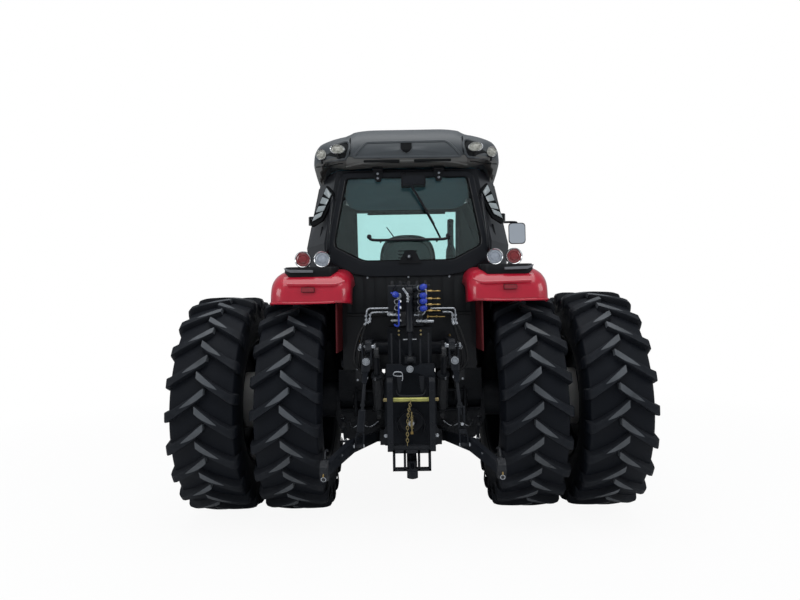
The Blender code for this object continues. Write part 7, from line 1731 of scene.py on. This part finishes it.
def onHood(y, z, proud):
    # a line on the hood's right side, its distance out read from the side's measured half width
    half = np.interp(y, (1.622, 2.1, 2.7, 3.2, 3.38), (0.401, 0.3905, 0.3675, 0.3455, 0.3305))
    return np.column_stack([half + proud, y, z])


def hoodTrim():
    black, clear, chrome, gasket = "mouldBlack", "lensClear", "chrome", "gasket"
    parts = []
    add = parts.append
    grille = softCorners(mirrored((185, 1245), (200, 1400), (165, 1475)), 0.03, 5)
    # painted shade: a near-black plate behind the grille slats stands in for the shade inside the grille
    add(plate(grille, "Y", 3.53, 3.56, "recessDark"))
    rim = setAt(grille, "Y", 3.56)
    add(tube(rim, 0.009, black, closed=True))
    for height in np.linspace(1.262, 1.455, 11):
        half = float(np.interp(height, (1.245, 1.4, 1.475), (0.18, 0.195, 0.16)))
        slat = np.array(((-half, 3.558, height), (0.0, 3.562, height), (half, 3.558, height)))
        add(sweepAlong(slat, stripOf(0.006, 0.0025), black, across=(0, 0.9, 0.4)))
    for sign in (1, -1):
        mirror = (sign, 1, 1)
        lamp = softCorners(mm((205, 1485), (275, 1500), (292, 1455), (270, 1395), (215, 1400)), 0.018, 5) * (sign, 1)
        middle = lamp.mean(axis=0)
        back = 3.548 - 0.9 * np.maximum(np.abs(lamp[:, 0]) - 0.24, 0)
        for material, stations in ((chrome, ((1.06, -0.02), (1.06, 0.01), (1.0, 0.016), (0.94, 0.012))),
                                   (clear, ((0.96, 0.01), (0.8, 0.016), (0.4, 0.019), (0.04, 0.02)))):
            rows = [setAt(middle + (lamp - middle) * share, "Y", back + rise) for share, rise in stations]
            add(surface(np.array(rows), material, closeColumns=True, caps=material is clear))
        vent = softCorners(mm((1900, 1320), (3020, 1320), (3100, 1400), (3020, 1560), (2000, 1660), (1900, 1600)), 0.05, 6)
        middle = vent.mean(axis=0)
        rows = [onHood(*(middle + (vent - middle) * share).T, proud) * mirror for share, proud in ((1.0, -0.012),
                (1.0, 0.006), (0.7, 0.006), (0.3, 0.006), (0.02, 0.006))]
        # painted shade: the vent's floor is near-black to stand in for the shade behind the slats
        add(loft(rows, "recessDark"))
        add(tube(onHood(vent[:, 0], vent[:, 1], 0.003) * mirror, 0.008, black, 8, closed=True))
        for height in np.linspace(1.355, 1.6, 8):
            y = np.linspace(1.925, float(np.interp(height, (1.32, 1.4, 1.56, 1.66), (3.0, 3.07, 2.98, 2.02))), 12)
            slat = onHood(y, np.full(len(y), height), 0.009) * mirror
            add(sweepAlong(slat, mm((-9, -2), (9, -2), (9, 3), (-9, 3)), black, across=(0.5, 0, 0.8)))
        y = np.linspace(1.66, 3.4, 24)
        seam = onHood(y, np.interp(y, (1.66, 3.4), (1.78, 1.56)), 0.0015) * mirror
        add(sweepAlong(seam, circleOf(0.004, 6), gasket))
        top = np.column_stack([np.full(24, sign * 0.16), y, np.interp(y, (1.622, 2.1, 2.7, 3.2, 3.38, 3.5),
                (1.955, 1.893, 1.81, 1.722, 1.675, 1.612)) + 0.002])
        add(sweepAlong(top, circleOf(1, 8) * (0.012, 0.004), "redPaint", across=rightward))
    return parts


def exhaustParts():
    steel, guard = "exhaustSteel", "mouldBlack"
    x, y = 0.5, 1.66  # where the stack stands
    pipe = mm((0, 1120), (40, 1120), (42, 1600), (52, 1640), (55, 1660), (55, 2260), (50, 2300), (36, 2340), (34, 2500))
    parts = [turned(pipe, (x, y, 0), upward, steel, 36)]
    add = parts.append
    path = curveThrough(((x, y, 2.48), (x, y, 2.54), (x, y - 0.012, 2.585), (x, y - 0.04, 2.62)), 16)
    add(tube(path, 0.036, steel, 28))
    add(tube(path[-2:] + (0, -0.001, 0.002), 0.03, "gasket", 28))
    for height in (1.7, 2.22):
        add(turned(mm((54, -12), (58, -10), (58, 10), (54, 12)), (x, y, height), upward, guard, 36, closed=True))
    for turn in np.linspace(0.15, 1.85, 9) * pi + pi * 0.5:
        way = np.array((cos(turn), sin(turn), 0)) * 0.0575
        add(bar(np.array((x, y, 1.72)) + way, np.array((x, y, 2.2)) + way, 0.004, guard, 6))
    elbow = ((0.27, y, 1.135), (0.4, y, 1.135), (0.5, y, 1.15), (0.5, y, 1.22))
    add(tube(elbow, 0.036, steel, 20, smooth=20))
    return parts


def weightParts():
    # eight suitcase weights: one rounded side outline with a grip opening notched in its top, repeated across
    iron, steel = "castBlack", "zincBright"
    outline = mm((3625, 640), (3700, 622), (3940, 622), (4018, 700), (4018, 1060), (3960, 1138), (3880, 1138),
            (3875, 1085), (3790, 1085), (3785, 1138), (3700, 1138), (3625, 1100), (3618, 980), (3660, 960), (3660, 860),
            (3618, 840))
    outline = softCorners(outline, 0.022, 5)
    parts = []
    for number in range(8):
        left = -0.276 + number * 0.07
        parts.append(plate(outline, "X", left, left + 0.062, iron))
    beam = softCorners(mm((3485, 905), (3625, 905), (3655, 930), (3655, 1060), (3625, 1085), (3485, 1085)), 0.012)
    parts.append(plate(beam, "X", -0.262, 0.262, "frameBlack"))
    parts.append(bar((-0.276, 3.83, 0.84), (0.276, 3.83, 0.84), 0.013, steel))
    return parts


def tankParts(left):
    mould, steel, black = "mouldBlack", "zincBright", "frameBlack"
    outer = 0.66 if left else 0.56
    section = softCorners(((0.3, 0.535), (0.3, 1.035), (0.36, 1.05), (outer - 0.05, 1.05), (outer, 0.99), (outer, 0.61),
            (outer - 0.07, 0.521), (0.36, 0.521)), 0.05, 6)
    middle = section.mean(axis=0)
    rows = []
    for y, share in ((0.932, 0.86), (0.945, 0.955), (0.965, 0.99), (0.99, 1.0), (1.15, 1.0), (1.16, 0.985),
            (1.18, 0.985), (1.19, 1.0), (1.45, 1.0), (1.46, 0.985), (1.48, 0.985), (1.49, 1.0), (1.66, 1.0),
                     (1.685, 0.99), (1.705, 0.955), (1.718, 0.86)):
        loop = middle + (section - middle) * share
        rows.append(setAt(loop, "Y", y))
    parts = [loft(rows, mould)]
    add = parts.append
    if left:
        add(turned(mm((0, 0), (45, 0), (48, 6), (46, 28), (40, 34), (0, 34)), (0.56, 1.6, 1.045), (0.15, 0, 1), black, 30))
    else:
        add(plate(softBox(0.97, 0.6, 1.68, 0.98, 0.03, 5), "X", outer - 0.002, outer + 0.006, black))
        for y in (1.1, 1.55):
            add(plate(softBox(y - 0.02, 0.955, y + 0.02, 1.0, 0.006, 3), "X", outer + 0.004, outer + 0.016, steel))
    for y in (1.17, 1.47):
        strap = middle + (section - middle) * 1.004
        loop = setAt(strap, "Y", y)
        add(sweepAlong(loop, stripOf(0.014, 0.002), black, closed=True, across=ahead))
    add(box((0.205, 1.02, 0.7), (0.31, 1.24, 0.9), black))
    for level, reach in ((0.452, 0.198), (0.735, 0.17)):
        tread = softCorners(((outer - 0.004, 1.022), (outer + reach, 1.032), (outer + reach, 1.408),
                (outer - 0.004, 1.418)), 0.02, 5)
        add(plate(tread, "Z", level, level + 0.018, black))
        for y in np.linspace(1.05, 1.39, 12):
            add(box((outer + 0.02, y - 0.005, level + 0.017), (outer + reach - 0.015, y + 0.005, level + 0.026), black))
    for y in (1.024, 1.402):
        side = softCorners(((outer - 0.003, 0.45), (outer + 0.198, 0.45), (outer + 0.172, 0.755),
                (outer - 0.003, 0.755)), 0.02)
        add(plate(side, "Y", y, y + 0.012, black))
    return parts


makePiece("hoodSkin", hoodParts(), "hood", ("hood_shell",), shell=0.01, angle=50)
makePiece("hoodTrim", hoodTrim(), "hood", ("hood_grille",))
makePiece("exhaustPipe", exhaustParts(), "chassis", ("exhaust_stack",))
makePiece("noseWeights", weightParts(), "chassis", ("front_weights",), bevel=0.003)
makePiece("fuelTank", onSide(tankParts(True), -1), "chassis", ("fuel_tank_left",), bevel=0.0015)
makePiece("batteryBox", tankParts(False), "chassis", ("battery_box_right",), bevel=0.0015)
print("hood, exhaust, weights and tanks built")


# finishes on the solids that stay

cadFinishes = {
    "cabBlack": ("cab_frame", "door_frame_left", "door_frame_right"),
    "castBlack": ("transmission_case", "engine_block", "front_weights", "front_axle_beam", "front_knuckle_left",
                  "front_knuckle_right", "hitch_frame", "drawbar", "remote_valves", "lift_arm_left", "lift_arm_right",
                  "lower_link_left", "lower_link_right"),
    "mouldBlack": ("engine_cowl", "radiator_pack", "fuel_tank_left", "battery_box_right", "seat_base", "steering_console",
                   "hood_grille", "mirror_left", "mirror_right"),
    "frameBlack": ("front_frame", "tie_rod", "top_link", "lift_rod_left", "lift_rod_right", "lift_cylinder_left",
                   "lift_cylinder_right", "lift_piston_left", "lift_piston_right"),
    "rubberMat": ("cab_floor",), "zincBright": ("pto_shaft",), "seatCloth": ("seat",), "redPaint": ("hood_shell",),
    "exhaustSteel": ("exhaust_stack",), "glassTeal": ("windscreen", "rear_window"),
    "glassSide": ("quarter_glass_left", "quarter_glass_right", "door_glass_left", "door_glass_right"),
}
edgeWidths = {"transmission_case": 0.012, "engine_block": 0.01, "front_frame": 0.006, "front_axle_beam": 0.01,
        "cab_frame": 0.005,
              "fuel_tank_left": 0.018, "battery_box_right": 0.018, "engine_cowl": 0.006, "radiator_pack": 0.004}
unbevelled = ("glassTeal", "glassSide")
for finishName, names in cadFinishes.items():
    for name in names:
        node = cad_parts[name]
        for slot in node.material_slots:
            slot.material = finishes[finishName]
        if not node.material_slots:
            node.data.materials.append(finishes[finishName])
        if finishName not in unbevelled:
            edge = node.modifiers.new("edge", "BEVEL")
            edge.width = edgeWidths.get(name, 0.003)
            edge.segments = 2
            edge.limit_method = "ANGLE"
            edge.angle_limit = radians(35)
print("finishes set on kept solids")
